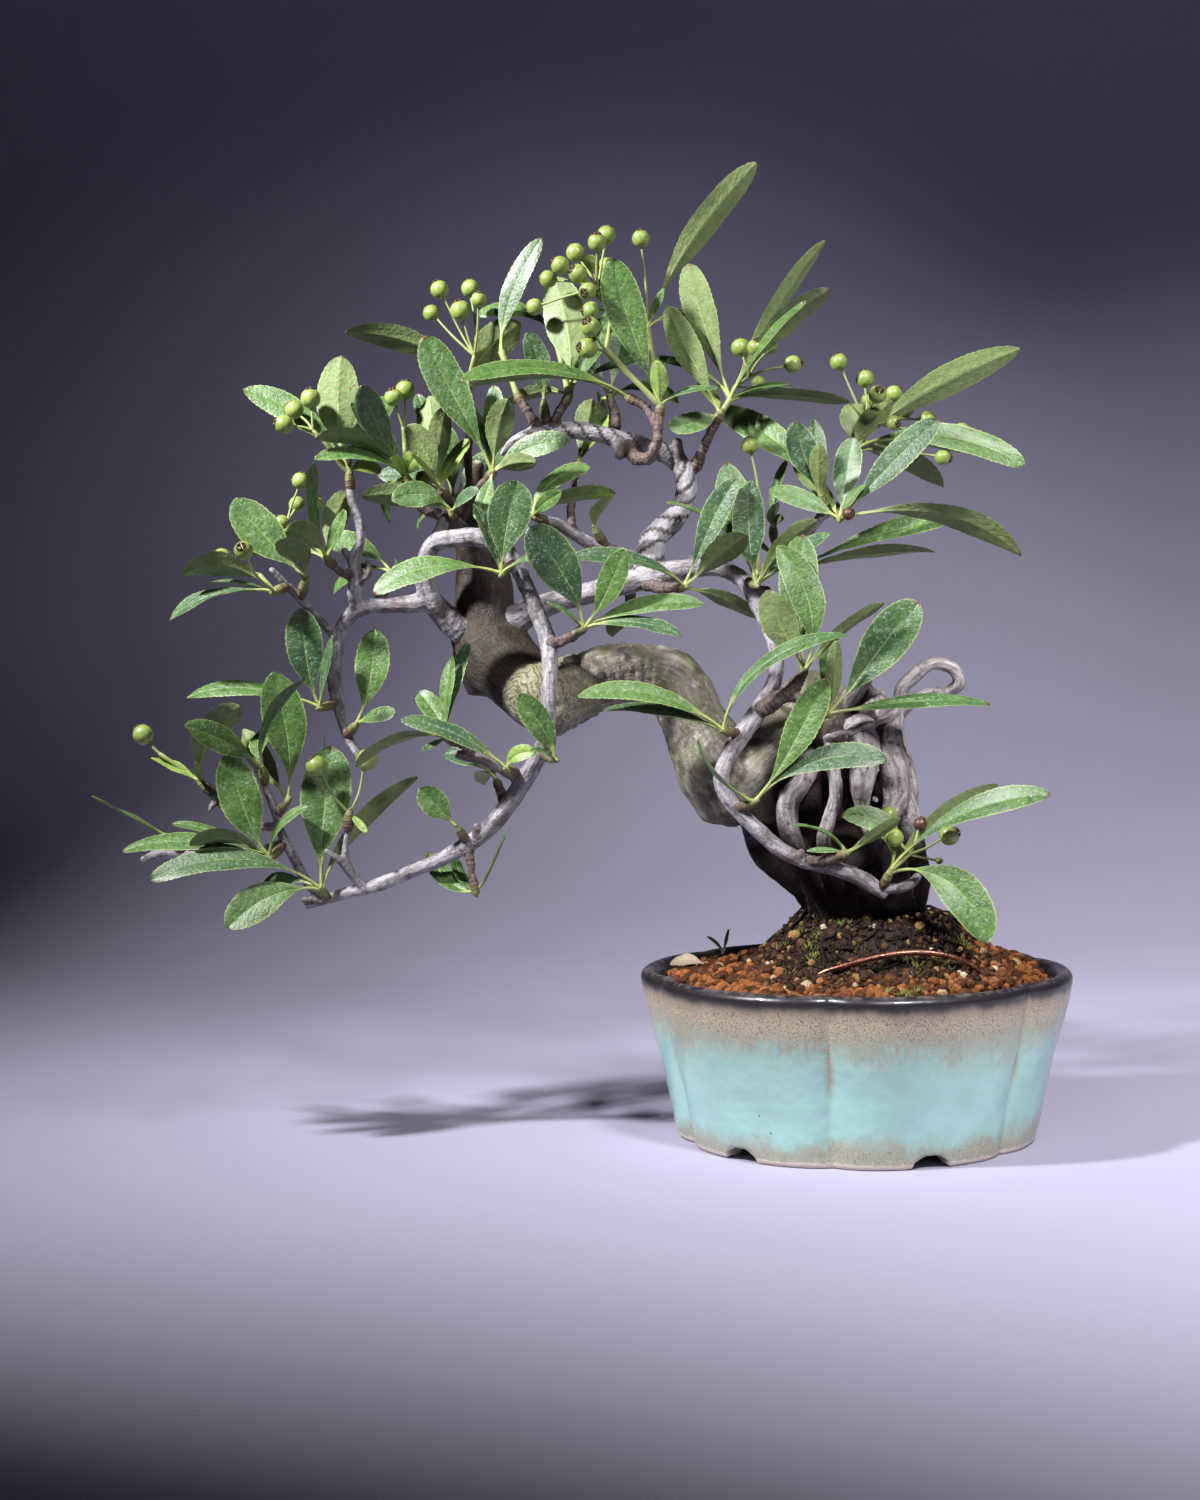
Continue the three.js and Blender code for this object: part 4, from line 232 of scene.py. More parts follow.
# Sprays, each on its spur, the stem. A leaf is [tip x, tip z, tip depth past the bud, width, turn,
# rise]: turn 0 shows its upper face, 180 its underside, and 90 has the upper face up. A berry is
# [x, z, depth past the bud, radius]. What stands under more_ is too small for the frame's solids.
SPRAYS = {
    "far_left": dict(stem=[[-166, 90.3, -10, 1.1], [-167.8, 92, -10.3, 0.9]],
        leaves=[[-182, 100, 2, 4, 50, 0.5], [-158.7, 113, -13, 9.5, 150, 3]],
        rachis=[[-170, 94, 1], [-179.8, 101, 1]], berries=[[-184, 106, 2, 2.7]],
        more_leaves=[[-170.5, 98.6, -1, 1.8, 10, 0]]),
    "twig_bud": dict(stem=[[-152.7, 93, -13, 0.9], [-152.9, 95, -14.5, 0.8]],
        leaves=[[-141.8, 120, -8, 5.5, -60, 4], [-173, 108.3, 9, 7.5, 24, 1], [-150, 108, 15, 7, 34, 2]]),
    "twig_side": dict(stem=[[-149.9, 84.5, -11, 1], [-147.8, 87, -12, 0.9]],
        leaves=[[-150, 121.8, -2, 11, 5, 1], [-158, 107, 6, 7, 160, -1]]),
    "left_fork": dict(stem=[[-148, 77, -11.5, 1], [-150.3, 74.6, -14, 0.9]],
        leaves=[[-162, 101, -2, 10.5, 0, -1], [-141.2, 86.8, -4, 4.5, 65, 3], [-172.5, 77.2, -7, 8, 120, 4],
            [-190, 75.6, -2, 7, 50, 4], [-177, 82.7, 6, 4.5, 50, 2]]),
    "grey_twig": dict(stem=[[-174.5, 75, -8, 0.9], [-175.8, 77, -8.4, 0.8]],
        leaves=[[-197.5, 90.2, 2, 4.5, 80, 0]]),
    "low_end": dict(stem=[[-137, 62.6, -12, 1.1], [-137.8, 64, -14, 1]],
        leaves=[[-135, 102.4, 2, 12.8, 5, 0.5], [-183, 68, -2, 7.5, 35, 6], [-163, 55.3, -10, 9.5, 20, 3],
            [-137, 105.3, 10, 4, 80, 0], [-113, 94, 16, 5.5, 140, 3], [-158, 58, 16, 8, 40, 5]]),
    "low_cluster": dict(stem=[[-131.3, 80.5, -15, 0.6], [-131, 83, -15.4, 0.6]],
        berries=[[-139.2, 97.3, -3, 2.7], [-126.2, 98.6, 3, 2.9]],
        more_leaves=[[-126.3, 79.8, -3, 2, 20, 0]]),
    "left_post": dict(stem=[[-131.2, 105, -4.5, 1], [-129.6, 106.8, -6.5, 0.9]],
        leaves=[[-123.5, 132.5, 0, 9, 10, -1], [-118.5, 110.4, -8, 5, 40, 1]]),
    "mid_low": dict(stem=[[-97.5, 98.8, -15.5, 1.1], [-101, 101.8, -17, 0.9], [-103.5, 103.3, -18, 0.8]],
        leaves=[[-129, 97.1, -3, 5, 120, 3], [-103.5, 125.6, 3, 4.5, 45, 0.5],
            [-99.2, 128.6, 7, 5.5, 40, 1], [-112.5, 116, 9, 6, 15, 1]],
        more_leaves=[[-111.6, 101, -2, 2.2, 30, 0]]),
    "under_knob": dict(stem=[[-86.7, 94.5, -17.5, 1.3], [-88.8, 95.3, -20.8, 1]],
        leaves=[[-117, 108.8, -3, 6, 45, 2.8]], more_leaves=[[-82.2, 99.8, -5, 4.2, 20, 2]]),
    "knob_front": dict(stem=[[-80.8, 99.8, -20, 1.4], [-78.4, 98.7, -22.8, 1.2]],
        leaves=[[-86.6, 115.1, -4, 6.8, 10, 1]], more_leaves=[[-83.5, 100.7, -4, 2.6, 60, 1]]),
    "low_branch": dict(stem=[[-100.5, 77, -14.5, 1.3], [-101.8, 79.2, -16, 1]],
        leaves=[[-112.5, 91.2, -3, 7, 10, 0]]),
    "hanging_spur": dict(stem=[[-100, 76.5, -14, 1.2], [-99.5, 70.5, -15, 1], [-98.6, 65.8, -15.5, 1]],
        leaves=[[-110.5, 74.6, 4, 5.5, 30, -2], [-104, 74, 8, 4, 40, -1]],
        more_leaves=[[-89.7, 80.4, -2, 3, 82, 0]]),
    "trunk_front": dict(stem=[[-29.5, 104.6, -20, 0.9], [-32, 104.8, -22.5, 0.8]],
        leaves=[[-71, 114.4, -4, 6, 40, 5], [-64.5, 110.8, 1, 5.2, 55, 2.5],
            [-1, 129.4, -9, 6.5, 55, 6.5]]),
    "elbow": dict(stem=[[-30.5, 84.8, -21.5, 1.1], [-27, 86, -24, 0.9]],
        leaves=[[-40, 103.1, -4, 4.2, -78, -3], [-6.7, 118.3, -3, 8.3, 10, -0.5], [9, 97, -4, 7.3, 30, 5]]),
    "low_small": dict(stem=[[-13, 71.3, -21.5, 1.2], [-7.3, 70.9, -23.5, 1.3], [-3.7, 72.2, -24.5, 1.3]],
        leaves=[[12.3, 81.8, -4, 4.5, 130, 0]],
        more_leaves=[[-15.5, 80.4, -2, 2.6, 75, 2], [-12, 73.6, -1, 1.8, 40, 0.5]]),
    "low_right": dict(stem=[[7.5, 64, -21, 1.3], [8.7, 66.3, -22.5, 1.2]],
        leaves=[[-3, 82.6, -4, 6.5, 30, 6], [38, 90.2, 2, 5.8, 130, 2.5], [51.4, 87.3, -2, 7.5, 40, 4.5],
            [34.6, 48.9, -9, 10.6, 10, 6]], rachis=[[11.4, 69.5, -2], [14.5, 72.4, -3]],
        berries=[[10.7, 76.7, -2, 2.4], [25, 77.2, -4, 2.6], [17.5, 80.2, -1, 1.8]],
        more_berries=[[9.3, 82.6, 2, 2.3], [22.3, 70.6, -1, 0.9]]),
    "post_left": dict(stem=[[-133.2, 113.8, -3.5, 1.3], [-136.6, 112.7, -7, 0.9]],
        leaves=[[-142.6, 138.2, -3, 9.4, 5, -0.5], [-134.4, 131, -6, 4.6, 65, 0],
            [-172.5, 115.4, -3, 6, 55, 4]]),
    "left_outer": dict(stem=[[-145.8, 143.8, -12, 1], [-147.9, 143, -14, 0.9]],
        leaves=[[-176.5, 135.4, -2, 7, 65, 3.5], [-173, 147.4, -4, 8, 135, 4.5]], rachis=[[-153, 147, 1]],
        berries=[[-162.7, 151.5, -1, 2.5], [-157, 153.3, 3, 2.4]],
        more_leaves=[[-167, 145, 5, 3.5, 75, 1.5]]),
    "left_inner": dict(stem=[[-142.6, 141, -9.6, 1.1], [-141.4, 144.2, -12.5, 1]],
        leaves=[[-147.5, 156.2, -11, 9, 145, 1], [-159, 166.7, 5, 10.5, 10, -1]]),
    "left_fan": dict(stem=[[-128.8, 146.4, -2.5, 1.4], [-132, 147.3, -5, 1.1], [-134.3, 149.6, -7, 1]],
        leaves=[[-138.4, 175.7, -3, 5, 50, -1.5], [-146.2, 158, -10, 8, 160, 2],
            [-129.6, 168.3, 5, 7, 165, 1], [-156, 152.5, 8, 5, 150, 2]],
        rachis=[[-138.5, 154, 0], [-146, 158.2, 3], [-152.3, 158.3, 0]],
        berries=[[-157, 164, -1, 2.6], [-142, 171, 5, 2.3], [-138, 165, 8, 2.1]],
        more_leaves=[[-130.6, 163.4, -4, 4, 30, 0]],
        more_berries=[[-143, 165, 3, 2.2], [-147, 160.4, 4, 2]]),
    "left_crown": dict(stem=[[-129, 168.3, -6, 1.2], [-129.2, 171, -6.2, 1.1]],
        leaves=[[-130.6, 203, 0, 11, 170, -2], [-156.4, 194.8, 4, 7.5, 25, 3], [-121, 173.6, 9, 5, 30, 1],
            [-118, 192, 14, 7, 20, 2]], rachis=[[-131.5, 175, -1], [-134.5, 179.5, -3], [-138.5, 184, -4]],
        berries=[[-146, 185.6, -5, 2.5], [-143.2, 189.3, -1, 2.4], [-139, 192.2, -4, 2.6]]),
    "crown_small": dict(
        stem=[[-101.5, 158.5, 5, 1.9], [-106, 161.5, 2, 1.6], [-110.5, 163.8, 0, 1.4],
            [-113.4, 167, -1, 1.2], [-114.2, 169.8, -2, 1.1]],
        leaves=[[-111.6, 177.6, -7, 5.2, 10, 0.5], [-138, 182, -3, 6, 140, 4],
            [-138.3, 176.6, -6, 5, 50, 3], [-128.5, 191.1, -4, 6, 20, 1], [-125.6, 195.4, -8, 7.6, 10, -1],
            [-119, 160, 12, 7, 50, 3]], rachis=[[-115, 180, 3], [-115.3, 184.5, 3]],
        berries=[[-117.6, 192.2, 1, 2.4], [-114.6, 194, 4, 2.6]],
        more_leaves=[[-118.5, 176.6, -5, 3.4, 20, 0.5]], more_berries=[[-121.4, 167.8, -3, 1.9]]),
    "crown_left": dict(stem=[[-100.5, 161.8, 4, 1.7], [-102.6, 164.8, 0, 1.3], [-104.6, 167, -3, 1.1]],
        leaves=[[-114.2, 185, -5, 7.2, 160, 1], [-108.4, 192.4, 6, 9, 165, 0],
            [-111.6, 193, 10, 5.5, 20, 1], [-104, 190.1, 0, 7, 145, 1], [-98.4, 181.2, 5, 5, 40, 1]],
        more_leaves=[[-113.2, 177.4, -7, 3.4, 60, 0.5]]),
    "crown_oval": dict(stem=[[-100.3, 158, 3, 1.6], [-102.2, 159.8, -2.5, 1.3], [-102.6, 161.2, -4.5, 1.1]],
        leaves=[[-118.4, 165.6, -7, 7, 25, 3]],
        more_leaves=[[-96, 168, -9, 4, 40, 1], [-126.3, 166.8, -3, 6.5, 150, 2]]),
    "crown_heart": dict(stem=[[-97.5, 166.5, 2, 1.7], [-94.8, 169.3, -0.5, 1.4], [-93.2, 171.4, -2.5, 1.2]],
        leaves=[[-109.2, 207.9, -4, 9.8, 5, -1], [-88.1, 191.4, -6, 7.2, 172, 1],
            [-100, 193.6, 2, 4.6, 40, 0.5], [-91.6, 195, 6, 6.5, 20, 0], [-72.3, 180.6, -6, 6.6, 30, 2],
            [-81, 175, -8, 5, 160, 1]], more_leaves=[[-96.8, 160.6, -8, 4, 20, 0]]),
    "trunk_top": dict(stem=[[-87.3, 149.5, -14.5, 1.3], [-89.4, 147.3, -17.5, 1.1]],
        leaves=[[-86, 170.4, -3, 10.8, 5, 0.5], [-123.4, 141.6, -5, 8, 40, 5],
            [-72.4, 151.1, -6, 5, 65, 2.5]], more_leaves=[[-97.5, 164.5, -2, 3.6, 30, 1]]),
    "middle": dict(stem=[[-77.8, 128.2, -18, 1.4], [-74, 129.4, -20, 1.4], [-70.8, 131.2, -21.5, 1.3]],
        leaves=[[-83, 158.6, -2, 11.2, 5, 1], [-58.4, 152.7, -8, 7, 15, -0.5],
            [-38.2, 137.8, -5, 5.6, 40, 2.5], [-44, 129.8, -9, 5.4, 50, 2.2]],
        more_leaves=[[-78.6, 139, -3, 2.4, 60, 0.5]]),
    "right_inner": dict(stem=[[-53, 143, -2.5, 1.6], [-48.5, 142.2, -5, 1.5], [-45, 142.3, -6.5, 1.2]],
        leaves=[[-72.8, 150.1, -3, 5.4, 45, 3.5], [-29.4, 170.1, -6, 7, 15, 1.5],
            [-26.6, 155.5, -9, 9, 140, 1], [-23.6, 134, 9, 5.6, 140, 1]]),
    "right_middle": dict(stem=[[-27, 144, -5, 1.6], [-25.3, 143, -8.5, 1.2]],
        leaves=[[-25.6, 169.6, -2, 8.4, 10, -1.5], [-31.6, 174.4, 5, 9.4, 5, -1],
            [-8.6, 159.2, -7, 6.2, 140, 2], [-5, 156.1, 0, 5.4, 55, 1], [-47.6, 164.3, 5, 4.8, 70, 5]],
        rachis=[[-24, 152, 8], [-23.6, 166, 9]], berries=[[-25.8, 178.6, 9, 2.3]]),
    "root_left": dict(
        stem=[[-23, 110.8, -19, 2.2], [-18.5, 113.6, -20.5, 1.9], [-15.4, 115.8, -21, 1.9],
            [-13.4, 118.6, -21.5, 1.6]],
        leaves=[[-21.6, 141.4, -4, 8.8, 170, -1], [-19, 152.8, 3, 9, 15, 4], [-12, 155.5, 9, 10, 5, 2],
            [8.5, 137.6, -5, 5, 130, 1.5]]),
    "root_top": dict(stem=[[-15.4, 114, -20.5, 1.4], [-11, 111.2, -19.5, 1.3], [-8, 109.8, -19, 1.2]],
        leaves=[[17.6, 137.7, -4, 11.2, 8, 1], [-7, 128.6, 3, 5.4, 20, 0.5], [-3.9, 128.1, -6, 4.4, 160, 0],
            [35.8, 111.1, -3, 6.2, 55, 2.5]]),
    "right_front": dict(stem=[[-7, 160.8, -2.5, 1.4], [-7.2, 163.2, -4.5, 1.2]],
        leaves=[[-14.4, 184.7, -4, 7.8, 10, -0.5], [-9.2, 185.3, 3, 5, 15, 0],
            [-7.8, 179, -8, 5, 165, -0.5], [-34, 187.9, 5, 8.2, 15, 3], [-15, 174.8, 9, 6.4, 160, 1]]),
    "right_spread": dict(stem=[[-3.2, 161.9, -3, 1.3], [-3, 160.2, -6, 1.2]],
        leaves=[[0.6, 180.5, 4, 7.4, 15, 0], [23, 184.8, -4, 7.8, 20, 1], [44, 149.5, -5, 8, 140, 7],
            [4, 168.2, -4, 3.6, 60, 1]],
        more_leaves=[[-21, 167, -3, 5.5, 30, 1.5], [-13, 173, 6, 5, 160, 1]],
        more_berries=[[-0.5, 160.8, -1, 1.7]]),
    "right_far": dict(
        stem=[[-1.5, 163.3, -3, 1.2], [-0.2, 166.5, 1.5, 0.9], [0, 171, 5, 0.9], [0.2, 175, 6.5, 0.9]],
        leaves=[[44, 202.6, 0, 8.4, 160, 2], [11, 189.6, -3, 6, 165, 1], [3, 189, 5, 10, 165, 0],
            [45, 172.7, 2, 8, 30, 5], [31.4, 176.4, 9, 6, 130, 2.5], [24, 167.5, 12, 6.5, 150, 3]],
        rachis=[[2.2, 180, 2], [4, 184.5, 3]],
        berries=[[-2.7, 199.8, 3, 2.4], [4, 195.4, 5, 2.5], [11.4, 191.4, 6, 2.4], [14, 187, 7, 2.3],
            [20, 184.9, 8, 2.2], [28.7, 181.6, 6, 2.4], [24, 175, 4, 2.2]],
        more_berries=[[7.2, 191.4, 2, 2.4], [11.3, 184, 4, 2], [5, 190, 9, 2.1]]),
    "right_low": dict(stem=[[-15.8, 150.5, 1, 1.2], [-14.4, 148.4, 3.5, 1]],
        leaves=[[26, 158.2, -6, 7.4, 45, 3], [21.8, 150.7, -4, 5.8, 120, 2]]),
    "right_young": dict(stem=[[-19.5, 147.4, 0.5, 1.1], [-19.8, 152, 3, 0.9], [-20, 155.6, 3.2, 0.8]],
        leaves=[[-16.2, 175, 2, 4.6, 60, 1]],
        more_leaves=[[-17.3, 159.8, -4, 3.2, 20, 0.5], [-19, 164, -3, 4, 150, 0.5]]),
    "top_right": dict(
        stem=[[-40, 173, 6, 1.7], [-38.3, 177, 4, 1.4], [-36.5, 181, 2, 1.3], [-34.2, 185.4, 0, 1.2]],
        leaves=[[-46.6, 214.9, 0, 7.4, 170, -1], [-47, 184, -6, 5.8, 20, -1], [-38.5, 195.2, 8, 5, 40, 0]],
        shoots=[
            dict(to=[-30.8, 190.5, 0.5],
                leaves=[[-41, 225.5, 3, 8.6, 165, -1.5], [-6, 230.9, 8, 5.8, 140, 2],
                    [-5, 218.4, 2, 7.4, 150, 3], [-11, 215.4, -5, 4.4, 60, 2], [0, 189.6, -2, 5.2, 130, 1],
                    [-11.4, 191, 4, 5, 45, 1], [-15.4, 194.3, -5, 4, 72, 1], [-67, 197.4, 9, 5.4, 60, 6]],
                rachis=[[-29.3, 194, -1], [-26, 196.2, -2]],
                berries=[[-28, 203.8, 0, 2.5], [-20.5, 203.9, 1, 2.2], [-14.5, 199.4, -3, 2.4],
                    [-23.5, 194.6, 5, 2]], more_berries=[[-24, 203.8, -3, 2.3]]),
        ]),
    "top": dict(
        stem=[[-57.3, 178.8, 2, 2], [-55.3, 175.9, -3, 1.7], [-51.8, 176, -5.5, 1.6],
            [-49.8, 179.8, -6.5, 1.4], [-49.4, 184.5, -6.5, 1.3], [-49, 187.4, -6.3, 1.2]],
        leaves=[[-60.6, 227, -3, 10, 5, -1.5], [-49.5, 200.8, -5, 5, 150, 0],
            [-33.8, 193.4, -4, 4.2, 65, 1.5]],
        shoots=[
            dict(to=[-52, 209, 13], leaves=[[-23.4, 251, 1, 8, 160, 2], [-36.4, 204, 4, 6, 40, 5]],
                berries=[[-53.3, 232, -2, 2.4]], more_leaves=[[-47.6, 219.3, -3, 2.6, 40, 0]]),
            dict(to=[-62.6, 203.5, -1], rachis=[[-61.5, 214, 1], [-64.5, 219.5, 0]],
                berries=[[-67.4, 204.2, -2, 2.7], [-66.4, 213.8, 1, 2.4], [-67.2, 218.7, -4, 2.3],
                    [-69.6, 223.3, -3, 2.5], [-62.2, 233, 5, 2.5], [-70.2, 228.6, 3, 2.5],
                    [-74.2, 225.5, 0, 2.4], [-77.3, 222, 4, 2.3], [-81, 214.9, 5, 2.2]],
                more_berries=[[-66.6, 209.6, -3, 2.6], [-63, 218, 5, 2.2], [-66.4, 225.6, 1, 2.5],
                    [-62.3, 225.2, 5, 2.2], [-64.6, 231.2, 0, 2.4]]),
        ]),
    "top_long": dict(stem=[[-49.6, 184, -5.8, 1.3], [-52.8, 189, -3.5, 1.2], [-55.8, 190.7, -3, 1.1]],
        leaves=[[-97.6, 194.9, -8, 6, 125, 4], [-100.2, 196.4, -1, 6.6, 50, 4.5]]),
    "top_broad": dict(stem=[[-76.5, 184.5, 0, 1.7], [-75, 188, -2, 1.3], [-73.3, 190.5, -3, 1.2]],
        leaves=[[-75.6, 222.6, -2, 11.2, 168, 1], [-59.8, 213.9, 4, 6, 15, 1],
            [-88.6, 189.6, 5, 4.6, 140, 2]],
        shoots=[
            dict(to=[-75.5, 207, 10], leaves=[[-95.9, 212.8, 0, 5.4, 50, 4]]),
        ]),
    "top_dark": dict(stem=[[-78.4, 184.5, 0, 1.6], [-78.7, 188.2, -1, 1.3]],
        leaves=[[-83, 208.4, 3, 6.4, 10, 1]]),
    "top_left": dict(stem=[[-80, 183.5, 0, 1.7], [-82.6, 187.2, -0.5, 1.3], [-84.8, 190.8, 0, 1.2]],
        shoots=[
            dict(to=[-89.6, 203.6, 3], leaves=[[-78.9, 232.4, -1, 6.4, 25, 2]]),
        ]),
    "crown_back": dict(
        stem=[[-97.4, 168, 4, 1.6], [-98.4, 174, 8, 1.2], [-98.4, 184, 10, 1.1], [-98.5, 193.5, 9, 1]],
        leaves=[[-129.8, 208.9, -2, 8, 145, 3.5], [-84.6, 210.8, -5, 9.6, 165, 1.5]],
        rachis=[[-96.6, 202.5, -2]],
        berries=[[-105.3, 219.6, 0, 2.5], [-100, 214.2, -3, 2.8], [-97.4, 219.8, 1, 2.5]],
        more_berries=[[-95.2, 217, -3, 2.1], [-107.5, 213.6, 4, 2.3]]),
    "loop_back": dict(
        stem=[[-72, 157.5, -1, 1.3], [-72.3, 162, 2, 1], [-71.4, 167.5, 4, 1], [-71.1, 171.8, 4.5, 0.9]],
        leaves=[[-66.4, 191.1, 7, 7.4, 165, -0.5], [-61.4, 187.4, 9, 3.8, 40, 0]]),
    "loop_left": dict(stem=[[-77, 159.4, -2, 1.4], [-80.5, 160.6, -3.5, 1.2]],
        leaves=[[-67, 173.8, 5, 6, 40, 3], [-60.6, 166.9, -6, 6, 130, 2]],
        more_leaves=[[-74.6, 167.3, -9, 4, 10, 0.5]]),
    "loop_young": dict(stem=[[-63.3, 152.8, 0.5, 1.4], [-65.2, 156.2, -2, 1.2]],
        leaves=[[-61.4, 166.5, -5, 6, 130, 1.5]]),
    "under_right": dict(stem=[[-57, 142.5, 1.5, 1.3], [-57.2, 139.6, 3.5, 1.1]],
        leaves=[[-61.8, 129.9, 6, 5.6, 150, 1]]),
    "back_crown": dict(stem=[[-97, 156.5, 9, 1.9], [-99, 160, 14, 1.5], [-101.5, 163.5, 17, 1.2]],
        leaves=[[-122, 172, 4, 8, 40, 3], [-106, 186, 6, 8, 20, 1], [-88, 178, 8, 7.5, 30, 2],
            [-112, 158, 10, 7, 60, 3], [-95, 160, 20, 7, 60, 2]], rachis=[[-103, 168, 4]],
        berries=[[-106, 175, 7, 2.5], [-110, 171, 9, 2.4]], more_berries=[[-101, 176, 9, 2.4]]),
    "back_loop": dict(stem=[[-61, 182, 5, 1.9], [-60.5, 186, 9, 1.5], [-61.5, 190, 12, 1.2]],
        leaves=[[-74, 205, 4, 8, 20, 1], [-57, 212, 10, 7, 10, 0], [-44, 190, 8, 7, 60, 3],
            [-62, 188, 22, 7, 70, 3]]),
    "back_right": dict(stem=[[-42, 147.2, 0, 1.8], [-40, 150, 6, 1.5], [-38, 153.5, 10, 1.2]],
        leaves=[[-26, 164, 7, 7.5, 30, 2], [-20, 150, 9, 7, 60, 3], [-36, 150, 24, 7, 70, 3]]),
    "back_left": dict(stem=[[-122, 139, 0.5, 1.6], [-121, 142.5, 5, 1.3], [-119.5, 146, 9, 1.1]],
        leaves=[[-136, 156, 5, 7, 30, 2], [-134, 142, 8, 7, 60, 3], [-114, 146, 22, 7, 70, 3]]),
    "back_low": dict(stem=[[-90.5, 85.4, -13, 1.4], [-91, 88.5, -8, 1.2], [-92, 91.5, -4, 1.1]],
        leaves=[[-106, 100, 6, 7, 40, 2], [-96, 92, 20, 6.5, 70, 3]]),
}


# Places, lines and random values

def place(spot):
    """A spot [x, z, y] read on the plane through the pot's middle, moved along the line of sight to y."""
    x, z, y = spot[:3]
    k = 1 - y / EYE[1]
    return np.array((EYE[0] + (x - EYE[0]) * k + POT_X, y, EYE[2] + (z - EYE[2]) * k))


def knots_of(places):
    """Rows of x, y, z and radius from places [x, z, y, radius]."""
    return np.array([[*place(at), at[3]] for at in places])


def unit(way):
    """A direction, or rows of directions, at length one."""
    way = np.asarray(way, float)
    return way / np.maximum(np.linalg.norm(way, axis=-1, keepdims=True), 1e-9)


def ease(value, low, high):
    """Rises smoothly from 0 at low to 1 at high."""
    share = np.clip((value - low) / (high - low), 0, 1)
    return share * share * (3 - 2 * share)


def circle(sides):
    """Angles in even steps round a circle."""
    return np.linspace(0, 2 * math.pi, sides, endpoint=False)


def fan(side, up, angles):
    """Directions round a line at these angles, for one side and up or for rows of them."""
    return side[..., None, :] * np.cos(angles)[:, None] + up[..., None, :] * np.sin(angles)[:, None]


def lumps(spots, size, seed=0):
    """Smooth random values between -1 and 1 that change over the given size."""
    cell = np.asarray(spots, float) / size + 5000.0
    low = np.floor(cell).astype(np.int64)
    part = cell - low
    part = part * part * (3 - 2 * part)
    total = np.zeros(len(cell))
    for corner in range(8):
        step = np.array((corner & 1, corner >> 1 & 1, corner >> 2 & 1))
        at = low + step
        mixed = at[:, 0] * 73856093 ^ at[:, 1] * 19349663 ^ at[:, 2] * 83492791 ^ (seed + 7) * 9176543
        mixed = (mixed ^ (mixed >> 13)) * 1274126177 & 0x7FFFFFFF
        mixed = (mixed ^ (mixed >> 15)) & 0xFFFF
        total += (mixed / 32767.5 - 1) * np.prod(np.where(step, part, 1 - part), axis=1)
    return total


def smooth_line(knots, per_span):
    """A rounded line through rows of knots."""
    knots = np.asarray(knots, float)
    ends = np.vstack([2 * knots[:1] - knots[1:2], knots, 2 * knots[-1:] - knots[-2:-1]])
    share = np.linspace(0, 1, per_span, endpoint=False)[:, None]
    rows = []
    for a, b, c, d in zip(ends, ends[1:], ends[2:], ends[3:]):
        ab, bc, cd = (max(np.linalg.norm((q - p)[:3]), 1e-6) ** 0.5 for p, q in ((a, b), (b, c), (c, d)))
        from_b = ((b - a) / ab - (c - a) / (ab + bc) + (c - b) / bc) * bc
        into_c = ((c - b) / bc - (d - b) / (bc + cd) + (d - c) / cd) * bc
        rows.append(
            b * (2 * share**3 - 3 * share**2 + 1) + from_b * (share**3 - 2 * share**2 + share)
            + c * (3 * share**2 - 2 * share**3) + into_c * (share**3 - share**2)
        )
    return np.vstack([*rows, knots[-1:]])


def steady_frame(line):
    """Tangent, side and up at each place of a line, without twist."""
    ahead = unit(np.gradient(line, axis=0))
    side = np.cross((0, 1, 0), ahead[0])
    if np.linalg.norm(side) < 0.1:
        side = np.cross((1, 0, 0), ahead[0])
    sides = []
    for way in ahead:
        side = unit(side - way * side.dot(way))
        sides.append(side)
    sides = np.array(sides)
    return ahead, sides, np.cross(sides, ahead)


